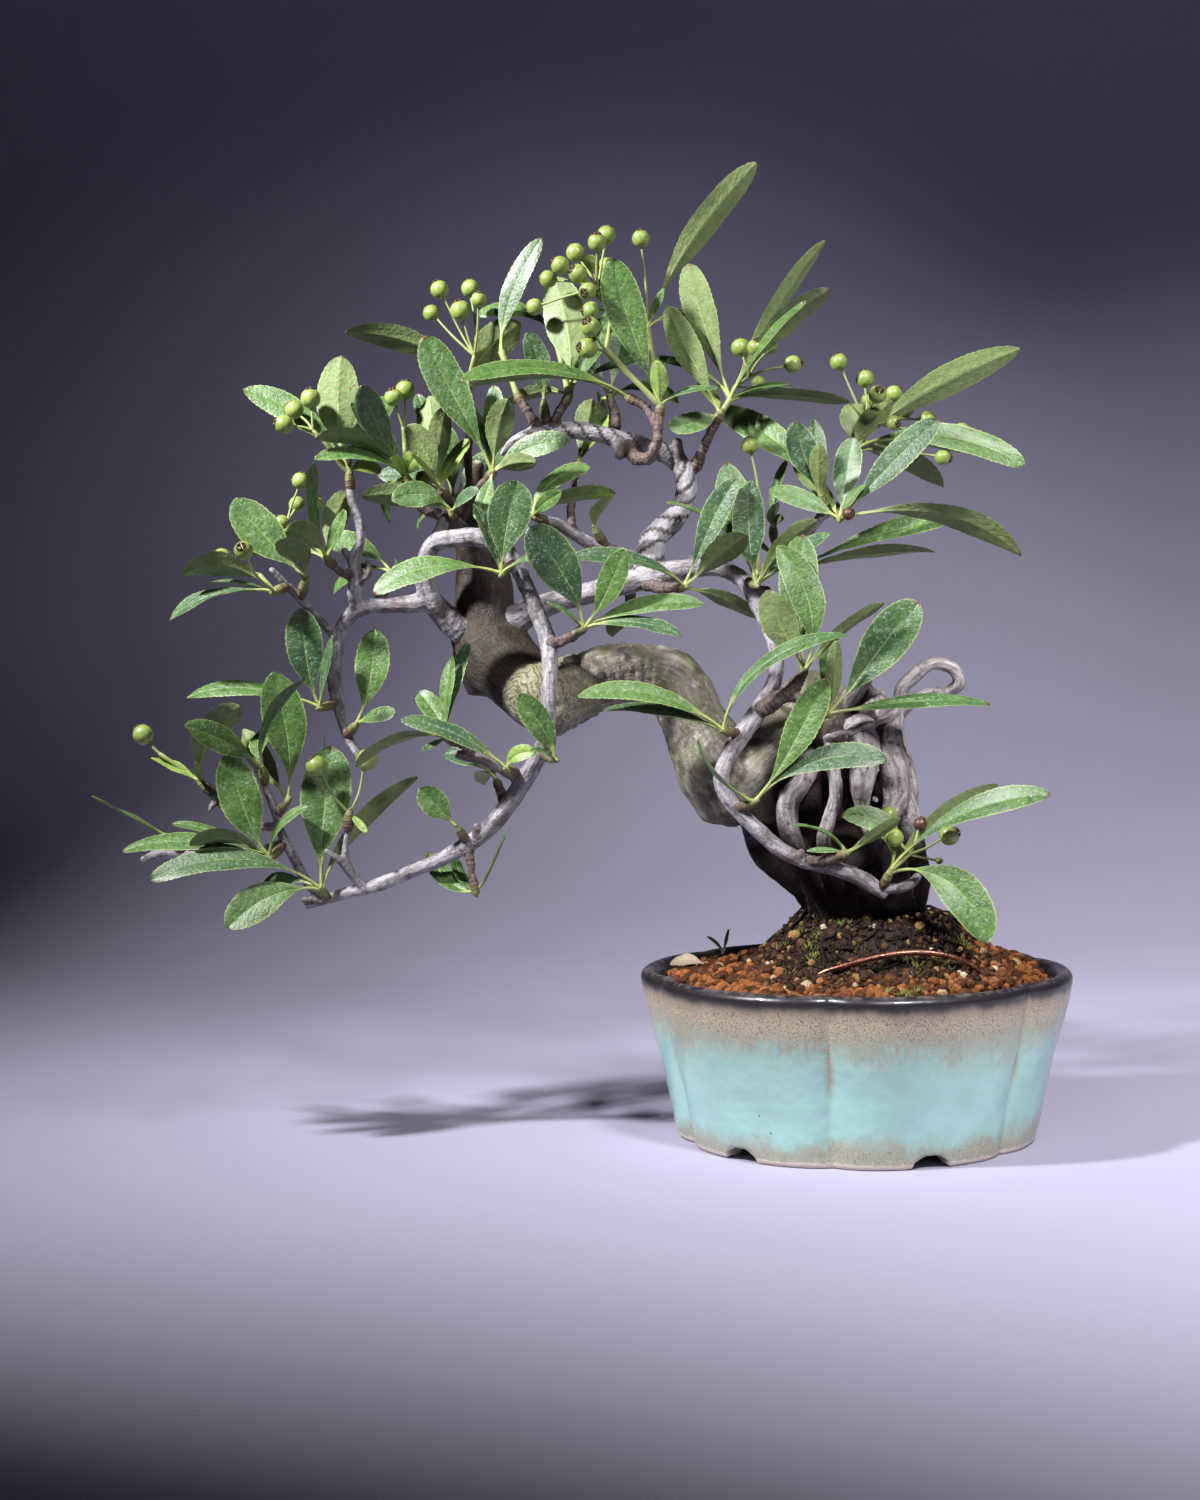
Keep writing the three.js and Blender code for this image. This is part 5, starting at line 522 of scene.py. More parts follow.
class Skin:
    """The spots, faces and marks of one piece, gathered part by part in millimetres."""

    def __init__(self, *marks):
        self.spots, self.count = [], 0
        self.faces, self.finishes = {4: [], 3: []}, {4: [], 3: []}
        self.marks = {name: [] for name in marks}

    def add(self, spots, faces, finish=0, **marks):
        """Adds spots, and faces that count from the first of them. Marks are numbers or one per spot."""
        spots = np.asarray(spots, float).reshape(-1, 3)
        for group in faces:
            group = np.asarray(group, int)
            corners = group.shape[1]
            self.faces[corners].append(group + self.count)
            self.finishes[corners].append(np.full(len(group), finish))
        for name, rows in self.marks.items():
            rows.append(np.broadcast_to(np.asarray(marks.get(name, 0.0), float), (len(spots),)))
        self.spots.append(spots)
        self.count += len(spots)

    def sweep(self, rings, finish=0, **marks):
        """Joins rings, shaped (stations, around, 3), into a closed body with a point at each end."""
        stations, around = rings.shape[:2]
        spots = np.vstack([rings[0].mean(axis=0), rings.reshape(-1, 3), rings[-1].mean(axis=0)])
        along, turn = np.meshgrid(np.arange(stations - 1), np.arange(around), indexing="ij")
        a = 1 + along * around + turn
        b = 1 + along * around + (turn + 1) % around
        quads = np.stack([a, b, b + around, a + around], axis=-1).reshape(-1, 4)
        j = np.arange(around)
        last = 1 + (stations - 1) * around
        first_cap = np.stack([np.zeros_like(j), 1 + (j + 1) % around, 1 + j], axis=1)
        last_cap = np.stack([np.full_like(j, len(spots) - 1), last + j, last + (j + 1) % around], axis=1)
        threes = np.vstack([first_cap, last_cap])
        # A body whose volume comes out negative is inside out
        all_threes = np.vstack([quads[:, :3], quads[:, [0, 2, 3]], threes])
        p, q, r = (spots[all_threes[:, k]] - spots[0] for k in range(3))
        if np.einsum("ij,ij->i", p, np.cross(q, r)).sum() < 0:
            quads, threes = quads[:, ::-1], threes[:, ::-1]
        for name, value in marks.items():
            value = np.asarray(value, float)
            if value.ndim == 2:
                marks[name] = np.concatenate([[value[0].mean()], value.ravel(), [value[-1].mean()]])
        self.add(spots, [quads, threes], finish, **marks)

    def tube(self, knots, sides, per_span=4, finish=0, **marks):
        """A round stalk through rows of x, y, z and radius, with domed ends."""
        line = smooth_line(knots, per_span)
        ahead, side, up = steady_frame(line[:, :3])
        domes = line[[0, -1]]
        domes[:, :3] += ahead[[0, -1]] * domes[:, 3:] * ((-0.5,), (0.5,))
        domes[:, 3] *= 0.6
        line = np.vstack([domes[:1], line, domes[1:]])
        side = np.vstack([side[:1], side, side[-1:]])
        up = np.vstack([up[:1], up, up[-1:]])
        rings = line[:, None, :3] + line[:, None, 3:] * fan(side, up, circle(sides))
        marks.setdefault("along", np.linspace(0, 1, len(line))[:, None] * np.ones(sides))
        self.sweep(rings, finish, **marks)

    def piece(self, name, materials, stands_for=(), sharp_mark=None, smooth=True):
        """Makes the mesh object, and lets it ride on the tree."""
        mesh = bpy.data.meshes.new(name)
        mesh.from_pydata((np.vstack(self.spots) * MM).tolist(), [], self.all_faces())
        finishes = np.concatenate(self.finishes[4] + self.finishes[3]).astype(np.int32)
        mesh.polygons.foreach_set("material_index", finishes)
        for mark, rows in self.marks.items():
            values = np.concatenate(rows).astype(np.float32)
            mesh.attributes.new(mark, "FLOAT", "POINT").data.foreach_set("value", values)
            if mark == sharp_mark:
                ends = np.zeros(len(mesh.edges) * 2, np.int32)
                mesh.edges.foreach_get("vertices", ends)
                sharp = (values[ends.reshape(-1, 2)] > 0.5).all(axis=1)
                mesh.edges.foreach_set("use_edge_sharp", sharp)
        mesh.polygons.foreach_set("use_smooth", np.full(len(mesh.polygons), smooth))
        for material in materials:
            mesh.materials.append(material)
        mesh.update()
        made = bpy.data.objects.new(name, mesh)
        bpy.context.scene.collection.objects.link(made)
        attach(made, "root")
        if stands_for:
            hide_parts(*stands_for)

    def all_faces(self):
        return [face for group in self.faces[4] + self.faces[3] for face in group.tolist()]


# Shader values

class Value:
    """A number socket that adds a Math node for each operator it meets."""

    def __init__(self, finish, socket):
        self.finish, self.socket = finish, socket

    def math(self, operation, *others):
        sockets = dict(enumerate((self, *others)))
        return self.finish.node("ShaderNodeMath", 0, sockets, operation=operation)

    __add__ = __radd__ = partialmethod(math, "ADD")
    __sub__ = partialmethod(math, "SUBTRACT")
    __mul__ = __rmul__ = partialmethod(math, "MULTIPLY")
    __pow__ = partialmethod(math, "POWER")
    __abs__ = partialmethod(math, "ABSOLUTE")
    most = partialmethod(math, "MAXIMUM")
    wave = partialmethod(math, "SINE")

    def __rsub__(self, other):
        return self.finish.node("ShaderNodeMath", 0, {0: other, 1: self}, operation="SUBTRACT")

    def rise(self, low, high):
        """0 below low, 1 above high, smooth between; the other way round where low is the larger."""
        limits = {"Value": self, "From Min": low, "From Max": high}
        return self.finish.node("ShaderNodeMapRange", 0, limits, interpolation_type="SMOOTHSTEP")


class Finish:
    """One material, and the nodes that colour it."""

    def __init__(self, name):
        self.material = bpy.data.materials.new(name)
        self.material.use_nodes = True
        self.tree = self.material.node_tree
        self.tree.nodes.clear()
        spots = self.node("ShaderNodeTexCoord", "Object")
        self.spots = self.node("ShaderNodeVectorMath", 0, {0: spots, "Scale": 1 / MM}, operation="SCALE")

    def node(self, kind, output, sockets=None, **settings):
        """Adds a node: its settings first, then its sockets' values or links. Gives the output asked for."""
        made = self.tree.nodes.new(kind)
        for key, value in settings.items():
            setattr(made, key, value)
        for key, value in (sockets or {}).items():
            socket = made.inputs[key]
            if isinstance(value, Value):
                self.tree.links.new(value.socket, socket)
            elif socket.type == "RGBA":
                socket.default_value = (*value, 1)
            else:
                socket.default_value = value
        return Value(self, made.outputs[output])

    def marks(self, names):
        """The values that the mesh carries under these names."""
        return [self.node("ShaderNodeAttribute", "Fac", attribute_name=name) for name in names.split()]

    def axes(self):
        return [self.node("ShaderNodeSeparateXYZ", letter, {0: self.spots}) for letter in "XYZ"]

    def noise(self, size, detail=3.0, spots=None, rough=0.55):
        sockets = {"Vector": spots or self.spots, "Scale": 1 / size, "Detail": detail, "Roughness": rough}
        return self.node("ShaderNodeTexNoise", "Fac", sockets)

    def cells(self, size):
        return self.node("ShaderNodeTexVoronoi", "Distance", {"Vector": self.spots, "Scale": 1 / size})

    def spot_of(self, x, y, z):
        return self.node("ShaderNodeCombineXYZ", 0, {0: x, 1: y, 2: z})

    def blend(self, mask, first, second, blend_type="MIX"):
        """The first colour where mask is 0, the second where it is 1."""
        sockets = {0: mask, 6: first, 7: second}
        return self.node("ShaderNodeMix", 2, sockets, data_type="RGBA", blend_type=blend_type)

    def shaded(self, mask, colour, dark):
        """A colour that a user can change, with that share of its brightness where mask is 0."""
        return self.blend(mask, tuple(part * dark for part in colour), colour)

    def layers(self, colour, *coats):
        """A colour under coats. Each coat is a mask and the colour that it brings."""
        for mask, coat in coats:
            colour = self.blend(mask, colour, coat)
        return colour

    def relief(self, height, depth):
        """Bump of the given depth in millimetres."""
        return self.node("ShaderNodeBump", 0, {"Height": height, "Distance": depth * MM, "Strength": 1.0})

    def done(self, colour, **sockets):
        """Ends in a Principled shader with these sockets, named with _ for a space."""
        sockets = {key.replace("_", " "): value for key, value in sockets.items()}
        shader = self.node("ShaderNodeBsdfPrincipled", 0, {"Base Color": colour, **sockets})
        end = self.tree.nodes.new("ShaderNodeOutputMaterial")
        self.tree.links.new(shader.socket, end.inputs["Surface"])
        return self.material


# Finishes. Colours are linear.

def leaf_finish(looks):
    """Leaf: glossy green above with chalky specks and a pale margin, matt yellow-green below."""
    f = Finish("leaf")
    along, across, under, tone, young, wear, length = f.marks("along across under tone young wear length")
    side = abs(across)
    mottle, broad = f.noise(1.6, 5), f.noise(7.0, 3)
    patch = mottle.rise(0.3, 0.7)
    # Faint veins leave the midrib at a slant and fade before the margin
    vein = ((along * length - side * length * 0.13 + broad * 5) * 2.0).wave().rise(-0.2, 1.0)
    vein = vein * side.rise(0.9, 0.3)
    rib = side.rise(0.07, 0.015) * along.rise(0.92, 0.35)
    margin = side.rise(0.90, 0.985)
    # Chalky specks and film that water has left, thick on some leaves and thin on others
    laden = (tone * 0.35 + f.noise(5.0, 3)).rise(0.42, 0.75)
    speck = f.cells(0.75).rise(0.30, 0.14) * f.noise(2.2, 4, rough=0.7).rise(0.46, 0.60)
    film = f.noise(1.1, 5, rough=0.75).rise(0.50, 0.76)
    chalk = (speck * 0.62).most(film * 0.45) * (laden * 0.65 + 0.35) * (1 - young * 0.8)
    above = f.layers(
        f.shaded(patch, looks.leaf_colour, 0.55),
        (tone.rise(0.45, 0.95), f.shaded(mottle, looks.old_leaf_colour, 0.45)),
        (broad.rise(0.42, 0.7) * 0.35, (0.120, 0.210, 0.050)),
        (young, f.shaded(patch, looks.young_leaf_colour, 0.7)),
        (rib * 0.65, (0.30, 0.40, 0.13)),
        (chalk, (0.46, 0.56, 0.46)),
        (margin * 0.7, (0.32, 0.42, 0.15)),
    )
    below = f.layers(
        f.shaded(patch, looks.underside_colour, 0.7),
        (rib * 0.8, (0.34, 0.42, 0.15)),
        (vein * 0.10, (0.21, 0.28, 0.11)),
        (speck * 0.35, (0.40, 0.48, 0.30)),
        (margin * 0.6, (0.34, 0.42, 0.12)),
        (young * 0.7, (0.24, 0.36, 0.08)),
    )
    stalk = along.rise(0.30, 0.08) * side.rise(1.2, 0.2)
    # Red-brown scorch on some tips, and a few spots
    scorch = along.rise(0.965, 0.992) * wear.rise(0.62, 0.72)
    blot = f.noise(1.8, 3).rise(0.66, 0.71) * wear.rise(0.86, 0.92)
    colour = f.layers(
        f.blend(under, above, below),
        (stalk, f.blend(tone, (0.42, 0.50, 0.13), (0.50, 0.52, 0.17))),
        (scorch.most(blot) * 0.8, (0.12, 0.035, 0.018)),
    )
    rough = under * 0.22 + 0.34 + chalk * 0.35 + mottle * 0.16
    bump = f.relief(rib * -0.5 + vein * -0.12 + f.noise(0.8, 4) * 0.9 + mottle * 0.4 + speck * 0.12, 0.20)
    return f.done(colour, Roughness=rough, Normal=bump, Coat_Weight=0.10, Coat_Roughness=0.3)


def stalk_finish():
    """Green stalk of a bunch or a young shoot, yellowish, with red-brown freckles and fine down."""
    f = Finish("stalk")
    tone, = f.marks("tone")
    colour = f.layers(
        f.blend(f.noise(3.0, 3), (0.17, 0.25, 0.055), (0.30, 0.36, 0.11)),
        (tone * 0.4, (0.33, 0.33, 0.12)),
        (f.noise(0.9, 3).rise(0.60, 0.72) * 0.5, (0.16, 0.085, 0.035)),
        (f.noise(0.35, 2).rise(0.55, 0.8) * 0.25, (0.50, 0.52, 0.36)),
    )
    return f.done(colour, Roughness=0.55, Normal=f.relief(f.noise(0.5, 3), 0.12), Sheen_Weight=0.15)


def berry_finish(looks):
    """Unripe berry: waxy yellow-green, browner at the top, freckled; a dried one is dark brown."""
    f = Finish("berry")
    along, tone, dried = f.marks("along tone young")
    colour = f.layers(
        f.shaded(f.noise(1.6, 3).rise(0.3, 0.7), looks.berry_colour, 0.68),
        (tone * 0.45, (0.16, 0.27, 0.055)),
        (along.rise(0.62, 0.90) * 0.6, (0.17, 0.145, 0.050)),
        (f.cells(0.42).rise(0.2, 0.1) * 0.30, (0.50, 0.55, 0.30)),
        (dried, f.blend(f.noise(0.8, 3), (0.035, 0.018, 0.012), (0.13, 0.05, 0.025))),
    )
    return f.done(
        colour, Roughness=f.noise(0.8, 2) * 0.2 + 0.30, Normal=f.relief(f.noise(0.5, 3), 0.06),
        Subsurface_Weight=0.15, Subsurface_Scale=1.0, Subsurface_Radius=(0.0012, 0.0015, 0.0004),
        Coat_Weight=0.1,
    )


def calyx_finish():
    """Dried calyx at the top of a berry, and the dark bristles in it."""
    f = Finish("calyx")
    colour = f.blend(f.noise(0.4, 3), (0.022, 0.012, 0.008), (0.11, 0.06, 0.035))
    return f.done(colour, Roughness=0.8, Normal=f.relief(f.noise(0.25, 3), 0.08))


def down_finish():
    """The fine pale hairs on berries."""
    f = Finish("down")
    return f.done(f.blend(f.noise(1.0, 1), (0.50, 0.52, 0.42), (0.66, 0.66, 0.56)), Roughness=0.7)


def bud_finish():
    """Bud on a spur: ringed, brown at the foot and green towards its top."""
    f = Finish("bud")
    along, tone = f.marks("along tone")
    ring = (along * 26 + f.noise(1.0, 2) * 3).wave().rise(0.2, 0.9)
    green = f.blend(f.noise(0.8, 3), (0.15, 0.20, 0.050), (0.26, 0.30, 0.095))
    colour = f.layers(
        f.blend(f.noise(0.6, 3), (0.055, 0.030, 0.018), (0.16, 0.095, 0.055)),
        (along.rise(0.25, 0.85) * (0.55 + tone * 0.45), green),
        (ring * 0.4, (0.20, 0.14, 0.085)),
    )
    return f.done(colour, Roughness=0.62, Normal=f.relief(ring + f.noise(0.4, 3) * 0.6, 0.18))


def bark_finish(looks):
    """Bark: silver-grey branches, olive grey-brown trunk, grey-tan roots over a near-black core of painted
    shade; painted shade also darkens the foot by the soil and the hollows.
    """
    f = Finish("bark")
    trunk, root, spur, hollow, core, scar, loop, cut, run, east, north = f.marks(" ".join(BARK_MARKS))
    x, _, z = f.axes()
    grain = f.spot_of(east, north, run * 0.20)
    fibre, fine, patch = f.noise(1.0, 5, grain), f.noise(0.7, 4), f.noise(5.0, 5)
    blotch, fleck, thread = f.noise(1.8, 5), f.noise(0.45, 2), f.noise(0.45, 3, grain)
    plain = 1 - loop * 0.8
    silver = f.layers(
        f.shaded(fibre.rise(0.34, 0.62), looks.branch_colour, 0.5),
        (patch.rise(0.52, 0.60) * 0.62 * plain, (0.110, 0.072, 0.060)),
        (blotch.rise(0.57, 0.65) * 0.55 * plain, (0.048, 0.030, 0.027)),
        (loop * 0.4, (0.52, 0.50, 0.54)),
        (thread.rise(0.60, 0.68) * 0.45, (0.070, 0.050, 0.048)),
        (fleck.rise(0.66, 0.76) * 0.5, (0.58, 0.56, 0.58)),
    )
    # Old growth rings show on the rounded end of the trunk and just behind it
    knob = x.rise(POT_X - KNOB_START, POT_X - KNOB_END) * (1 - core)
    band = (run - (east * east + north * north) ** 0.5) * 5.2 + f.noise(3.0, 4) * 18 + fine * 3
    band = band.wave().rise(0.1, 1.0) * blotch.rise(0.40, 0.54) * knob
    stem = f.layers(
        f.shaded(fibre.rise(0.32, 0.68), looks.trunk_colour, 0.50),
        (f.noise(9.0, 4).rise(0.44, 0.62) * 0.65, (0.150, 0.150, 0.070)),
        (patch.rise(0.50, 0.62) * 0.6, (0.070, 0.050, 0.040)),
        (blotch.rise(0.57, 0.68) * 0.5, (0.400, 0.390, 0.360)),
        (thread.rise(0.58, 0.68) * 0.4, (0.050, 0.036, 0.028)),
        (fleck.rise(0.62, 0.74) * 0.5, (0.44, 0.42, 0.36)),
        (knob * 0.45, (0.34, 0.32, 0.19)),
        (band * 0.65, (0.070, 0.050, 0.034)),
    )
    tan = f.layers(
        f.shaded(fibre.rise(0.34, 0.64), looks.root_colour, 0.42),
        (patch.rise(0.50, 0.64) * 0.5, (0.120, 0.078, 0.080)),
        (blotch.rise(0.57, 0.66) * 0.65, (0.060, 0.028, 0.024)),
        (thread.rise(0.60, 0.70) * 0.4, (0.070, 0.040, 0.038)),
        (fleck.rise(0.64, 0.76) * 0.4, (0.56, 0.52, 0.52)),
    )
    brown = f.layers(
        f.blend(fine.rise(0.3, 0.75), (0.030, 0.015, 0.011), (0.150, 0.090, 0.066)),
        ((run * 6.0 + patch * 4).wave().rise(0.2, 0.9) * 0.3, (0.20, 0.14, 0.105)),
        (blotch.rise(0.56, 0.68) * 0.6, (0.30, 0.24, 0.21)),
    )
    # Painted shade: next to the soil the roots and the trunk are painted near-black
    low = (z + patch * 12).rise(92, 80) * root.most(trunk)
    colour = f.layers(
        f.blend(trunk, silver, stem),
        (root, tan),
        (spur * 0.85, brown),
        (scar * 0.85, (0.060, 0.032, 0.024)),
        # Painted shade: the trunk's foot between the roots and the upright trunk behind the knob are
        # near-black
        (core, f.blend(patch.rise(0.3, 0.7), (0.004, 0.002, 0.002), (0.034, 0.014, 0.010))),
        # Painted shade at the foot of the tree, next to the soil
        (low, f.blend(fine.rise(0.40, 0.80), (0.002, 0.001, 0.001), (0.020, 0.006, 0.005))),
        # Painted shade: hollows and cracks in the bark are darkened
        (hollow.rise(0.10, 0.80) * 0.92, (0.022, 0.008, 0.007)),
        (cut, f.blend(fleck, (0.34, 0.28, 0.22), (0.62, 0.56, 0.48))),
    )
    height = fibre * 0.6 + fine * 0.6 + thread * 0.4 + f.noise(0.3, 3) * 0.3
    bump = f.relief(height - band * trunk * 0.7, 0.42)
    return f.done(colour, Roughness=fine * 0.3 + 0.34 + low * 0.2, Normal=bump, Specular_IOR_Level=0.22)


def glaze_finish(looks):
    """Glaze: black-brown on the rim, a freckled beige fade, pale aqua body, bare clay at the foot."""
    f = Finish("glaze")
    x, y, height = f.axes()
    notch, = f.marks("notch")
    x = x - POT_X
    radius = (x * x + y * y) ** 0.5
    run = f.spot_of(x, y, height * 0.25)
    broad, drips, streak = f.noise(15.0, 3), f.noise(5.0, 4, run), f.noise(0.8, 4, run)
    fine, freckle = f.noise(0.42, 3), f.noise(0.9, 4)
    aqua = f.layers(
        f.shaded(broad.rise(0.3, 0.7), looks.glaze_colour, 0.86),
        (f.noise(2.0, 5).rise(0.54, 0.74) * 0.20, (0.45, 0.63, 0.57)),
    )
    tan = f.layers(
        f.blend(fine.rise(0.32, 0.56), (0.185, 0.120, 0.075), looks.fade_colour),
        (height.rise(38.0, 29.0) * freckle.rise(0.30, 0.60) * 0.75, (0.29, 0.36, 0.28)),
    )
    level = height + (drips - 0.5) * 4.0 + (broad - 0.5) * 15.0
    fade = level.rise(18.0, 40.0).most(level.rise(12.5, 0.5) * 0.9)
    fade = fade.most(notch.rise(0.62, 1.0) * height.rise(12, 24) * 0.75)
    grit = (fine - 0.5) * 0.75 + (streak - 0.5) * 0.65
    speckled = (fade + grit * (1 - abs(fade * 2 - 1)) * 1.6).rise(0.05, 0.88)
    rim = height + (f.noise(6.0, 3, run) - 0.5) * 3.0 + (fine - 0.5) * 2.5
    edge = height.rise(42.3, 43.1) * f.noise(2.5, 4).rise(0.40, 0.62)
    pit = f.cells(6.0).rise(0.05, 0.03) * f.noise(20, 1).rise(0.45, 0.5)
    bare = (height + (freckle - 0.5) * 1.4).rise(1.7, 1.0)
    bare = bare.most(radius.rise(43.0, 42.2) * height.rise(6.0, 5.0))
    colour = f.layers(
        f.blend(speckled, aqua, tan),
        (rim.rise(35.5, 40.5) * 0.6, f.blend(fine, (0.050, 0.036, 0.040), (0.20, 0.150, 0.130))),
        (rim.rise(38.6, 40.8), f.shaded(fine, looks.rim_colour, 0.25)),
        (edge * 0.55, (0.17, 0.14, 0.125)),
        (pit * 0.8, (0.10, 0.075, 0.055)),
        (bare, f.shaded(f.noise(1.0, 4), looks.clay_colour, 0.75)),
    )
    rough = bare * 0.6 + 0.17 + f.noise(3.0, 3) * 0.10 + speckled * 0.14
    bump = f.relief(f.noise(7.0, 2) * 0.8 - pit * 0.6 + bare * freckle * 0.3, 0.5)
    return f.done(colour, Roughness=rough, Normal=bump, Coat_Weight=(1 - bare) * 0.25)


def earth_finish(name, bed, looks):
    """Clay grains, orange-brown, and dark with specks where they are wet; the bed lies below them and is
    darkened there as painted shade.
    """
    f = Finish(name)
    tone, wet = f.marks("tone wet")
    if bed:
        x, y, _ = f.axes()
        east = x - (POT_X + STEM_X)
        tone = f.noise(1.5, 3)
        wet = ((east * east + y * y) ** 0.5 + f.noise(5.0, 3) * 10).rise(42, 34)
    dry = f.layers(
        f.shaded(tone.rise(0.15, 0.95), looks.grain_colour, 0.14),
        (f.noise(0.9, 4).rise(0.4, 0.7) * 0.5, (0.14, 0.045, 0.014)),
        (f.noise(9.0, 3).rise(0.60, 0.72) * 0.5, (0.11, 0.095, 0.020)),
        (tone.rise(0.965, 0.99), (0.40, 0.26, 0.13)),
    )
    damp = f.layers(
        f.shaded(tone, looks.mound_colour, 0.14),
        (tone.rise(0.68, 0.74), (0.10, 0.048, 0.017)),
        (tone.rise(0.88, 0.90), (0.26, 0.15, 0.048)),
        (tone.rise(0.96, 0.97), (0.48, 0.40, 0.29)),
    )
    colour = f.layers(
        f.blend(wet, dry, damp),
        (f.noise(0.5, 3).rise(0.6, 0.8) * 0.25, (0.34, 0.17, 0.075)),
    )
    # Painted shade: the bed, which shows only between the grains, is darkened
    if bed:
        colour = f.blend(0.85, colour, (0.40, 0.36, 0.36), "MULTIPLY")
    bump = f.relief(f.noise(0.7, 4), 0.7)
    return f.done(colour, Roughness=0.70 - wet * 0.26, Normal=bump, Specular_IOR_Level=0.25)


def moss_finish(looks):
    """Moss: bright yellow-green tips over dark green."""
    f = Finish("moss")
    along, tone = f.marks("along tone")
    colour = f.layers(
        f.blend(tone, (0.030, 0.050, 0.010), (0.060, 0.085, 0.016)),
        (along.rise(0.1, 0.9), f.shaded(tone, looks.moss_colour, 0.5)),
        (f.noise(0.8, 2) * 0.3, (0.10, 0.14, 0.02)),
    )
    return f.done(colour, Roughness=0.7)


def copper_finish():
    """Copper-coloured tying wire, dulled and specked with soil."""
    f = Finish("copper")
    dull = f.noise(2.5, 4).rise(0.45, 0.68)
    colour = f.layers(
        f.blend(dull, (0.36, 0.16, 0.105), (0.15, 0.065, 0.048)),
        (f.noise(0.9, 3).rise(0.62, 0.72), (0.045, 0.025, 0.018)),
    )
    bump = f.relief(f.noise(0.6), 0.1)
    return f.done(colour, Metallic=1 - dull * 0.4, Roughness=dull * 0.35 + 0.28, Normal=bump)


def net_finish():
    """Black plastic net over the drain hole, with dust."""
    f = Finish("net")
    dust = f.noise(1.5, 4).rise(0.5, 0.75)
    colour = f.blend(dust * 0.5, (0.012, 0.013, 0.015), (0.10, 0.075, 0.055))
    return f.done(colour, Roughness=dust * 0.3 + 0.42, Normal=f.relief(f.noise(0.7), 0.1))


def dry_leaf_finish():
    """Shed leaf and dry sprig: pale straw with brown veins and blots."""
    f = Finish("dry_leaf")
    across, = f.marks("across")
    colour = f.layers(
        f.blend(f.noise(1.8, 4), (0.27, 0.21, 0.14), (0.46, 0.39, 0.28)),
        (abs(across).rise(0.09, 0.02) * 0.6, (0.30, 0.21, 0.11)),
        (f.noise(1.0, 4).rise(0.60, 0.75) * 0.6, (0.22, 0.12, 0.06)),
    )
    return f.done(colour, Roughness=0.8, Normal=f.relief(f.noise(0.6, 4), 0.2))


def paper_finish(looks):
    """The plain pale sheet that the pot stands on."""
    f = Finish("paper")
    colour = f.shaded(f.noise(60, 2), looks.paper_colour, 0.94)
    return f.done(colour, Roughness=0.75, Normal=f.relief(f.noise(1.2, 2), 0.03))


# Sprays: what grows from each spur

LEAF_MARKS = ("along", "across", "under", "tone", "young", "wear", "length", "rim")
LEAF, STALK, BERRY, CALYX, DOWN, BUD = range(6)

# Once round a leaf's section: how far across each place is, and whether it is on the upper side
ACROSS = np.array([-1, -0.86, -0.5, -0.1, 0, 0.1, 0.5, 0.86, 1, 0.86, 0.5, 0.1, 0, -0.1, -0.5, -0.86])
UPPER = np.array([1] * 9 + [0] * 7)


def first_bud(stem):
    """The bud on a stem: where its leaves start, which way it points, its depth, and its body's line."""
    start, end = place(stem[-2]), place(stem[-1])
    along = unit(end - start)
    foot = end - along if len(stem) > 2 else start
    return {"at": end + along * (GAP + BUD_LENGTH / 2), "along": along, "depth": stem[-1][2],
            "foot": foot, "top": end + along * (GAP + BUD_LENGTH)}


def grow(bud, spray, members):
    """Lists the leaves, berries, stalks and shoots of a spray, and of the shoots on it."""
    joints = [bud["at"]] + [place((x, z, bud["depth"] + dy)) for x, z, dy in spray.get("rachis", [])]
    members["stalks"].append(joints)
    for more, sure in (("", True), ("more_", False)):
        members["berries"] += [(bud, joints, berry, sure) for berry in spray.get(more + "berries", [])]
        members["leaves"] += [(bud, leaf, sure) for leaf in spray.get(more + "leaves", [])]
    for shoot in spray.get("shoots", []):
        x, z, dy = shoot["to"]
        at = place((x, z, bud["depth"] + dy))
        members["shoots"].append((bud["at"], at))
        grow({"at": at, "along": unit(at - bud["at"]), "depth": bud["depth"] + dy}, shoot, members)


def listed(member, spots):
    """Whether the place of a leaf's tip or of a berry is in the list."""
    return min(abs(member[0] - x) + abs(member[1] - z) for x, z in spots) < 0.5


def leaf_line(bud, leaf, shift, stations):
    """A leaf's middle line, its tangents, and the way its upper face looks."""
    x, z, deeper, _, turn, rise = leaf
    tip = place((x, z, bud["depth"] + deeper + shift))
    chord = tip - bud["at"]
    view = unit(SIGHT - (bud["at"] + tip) / 2)
    upper = unit(np.cross(view, chord))
    upper = -upper if upper[2] < 0 else upper
    hold = upper * rise / CUBIC_RISE
    near = bud["at"] + chord * HOLD_NEAR + bud["along"] * np.linalg.norm(chord) * CARRY + hold
    far = bud["at"] + chord * HOLD_FAR + hold
    s = np.linspace(0, 1, stations)[:, None]
    line = (1 - s) ** 3 * bud["at"] + 3 * (1 - s) ** 2 * s * near + 3 * (1 - s) * s**2 * far + s**3 * tip
    ahead = unit((1 - s) ** 2 * (near - bud["at"]) + 2 * (1 - s) * s * (far - near) + s**2 * (tip - far))
    angle = math.radians(turn)
    return line, ahead, view * math.cos(angle) + upper * math.sin(angle)


def berry_spots(joints, berry, depth, shift):
    """A berry's joint, centre and the way it points."""
    x, z, deeper = berry[:3]
    centre = place((x, z, depth + deeper + shift))
    joint = min(joints, key=lambda one: np.linalg.norm(one - centre))
    return joint, centre, unit(centre - joint)


def frame_shift(corners, spot_at):
    """The shift for which the spot is a corner of the CAD node."""
    away = [np.linalg.norm(corners - spot_at(shift), axis=1).min() for shift in SHIFTS]
    return SHIFTS[int(np.argmin(away))]


def free_shift(taken, spots_at, least):
    """The first small shift that keeps clear of everything so far, or the clearest one."""
    rooms = []
    for shift in NEAR_SHIFTS:
        rooms.append(np.linalg.norm(taken[:, None] - spots_at(shift)[None], axis=2).min())
        if rooms[-1] > least:
            break
    return NEAR_SHIFTS[int(np.argmax(rooms))]


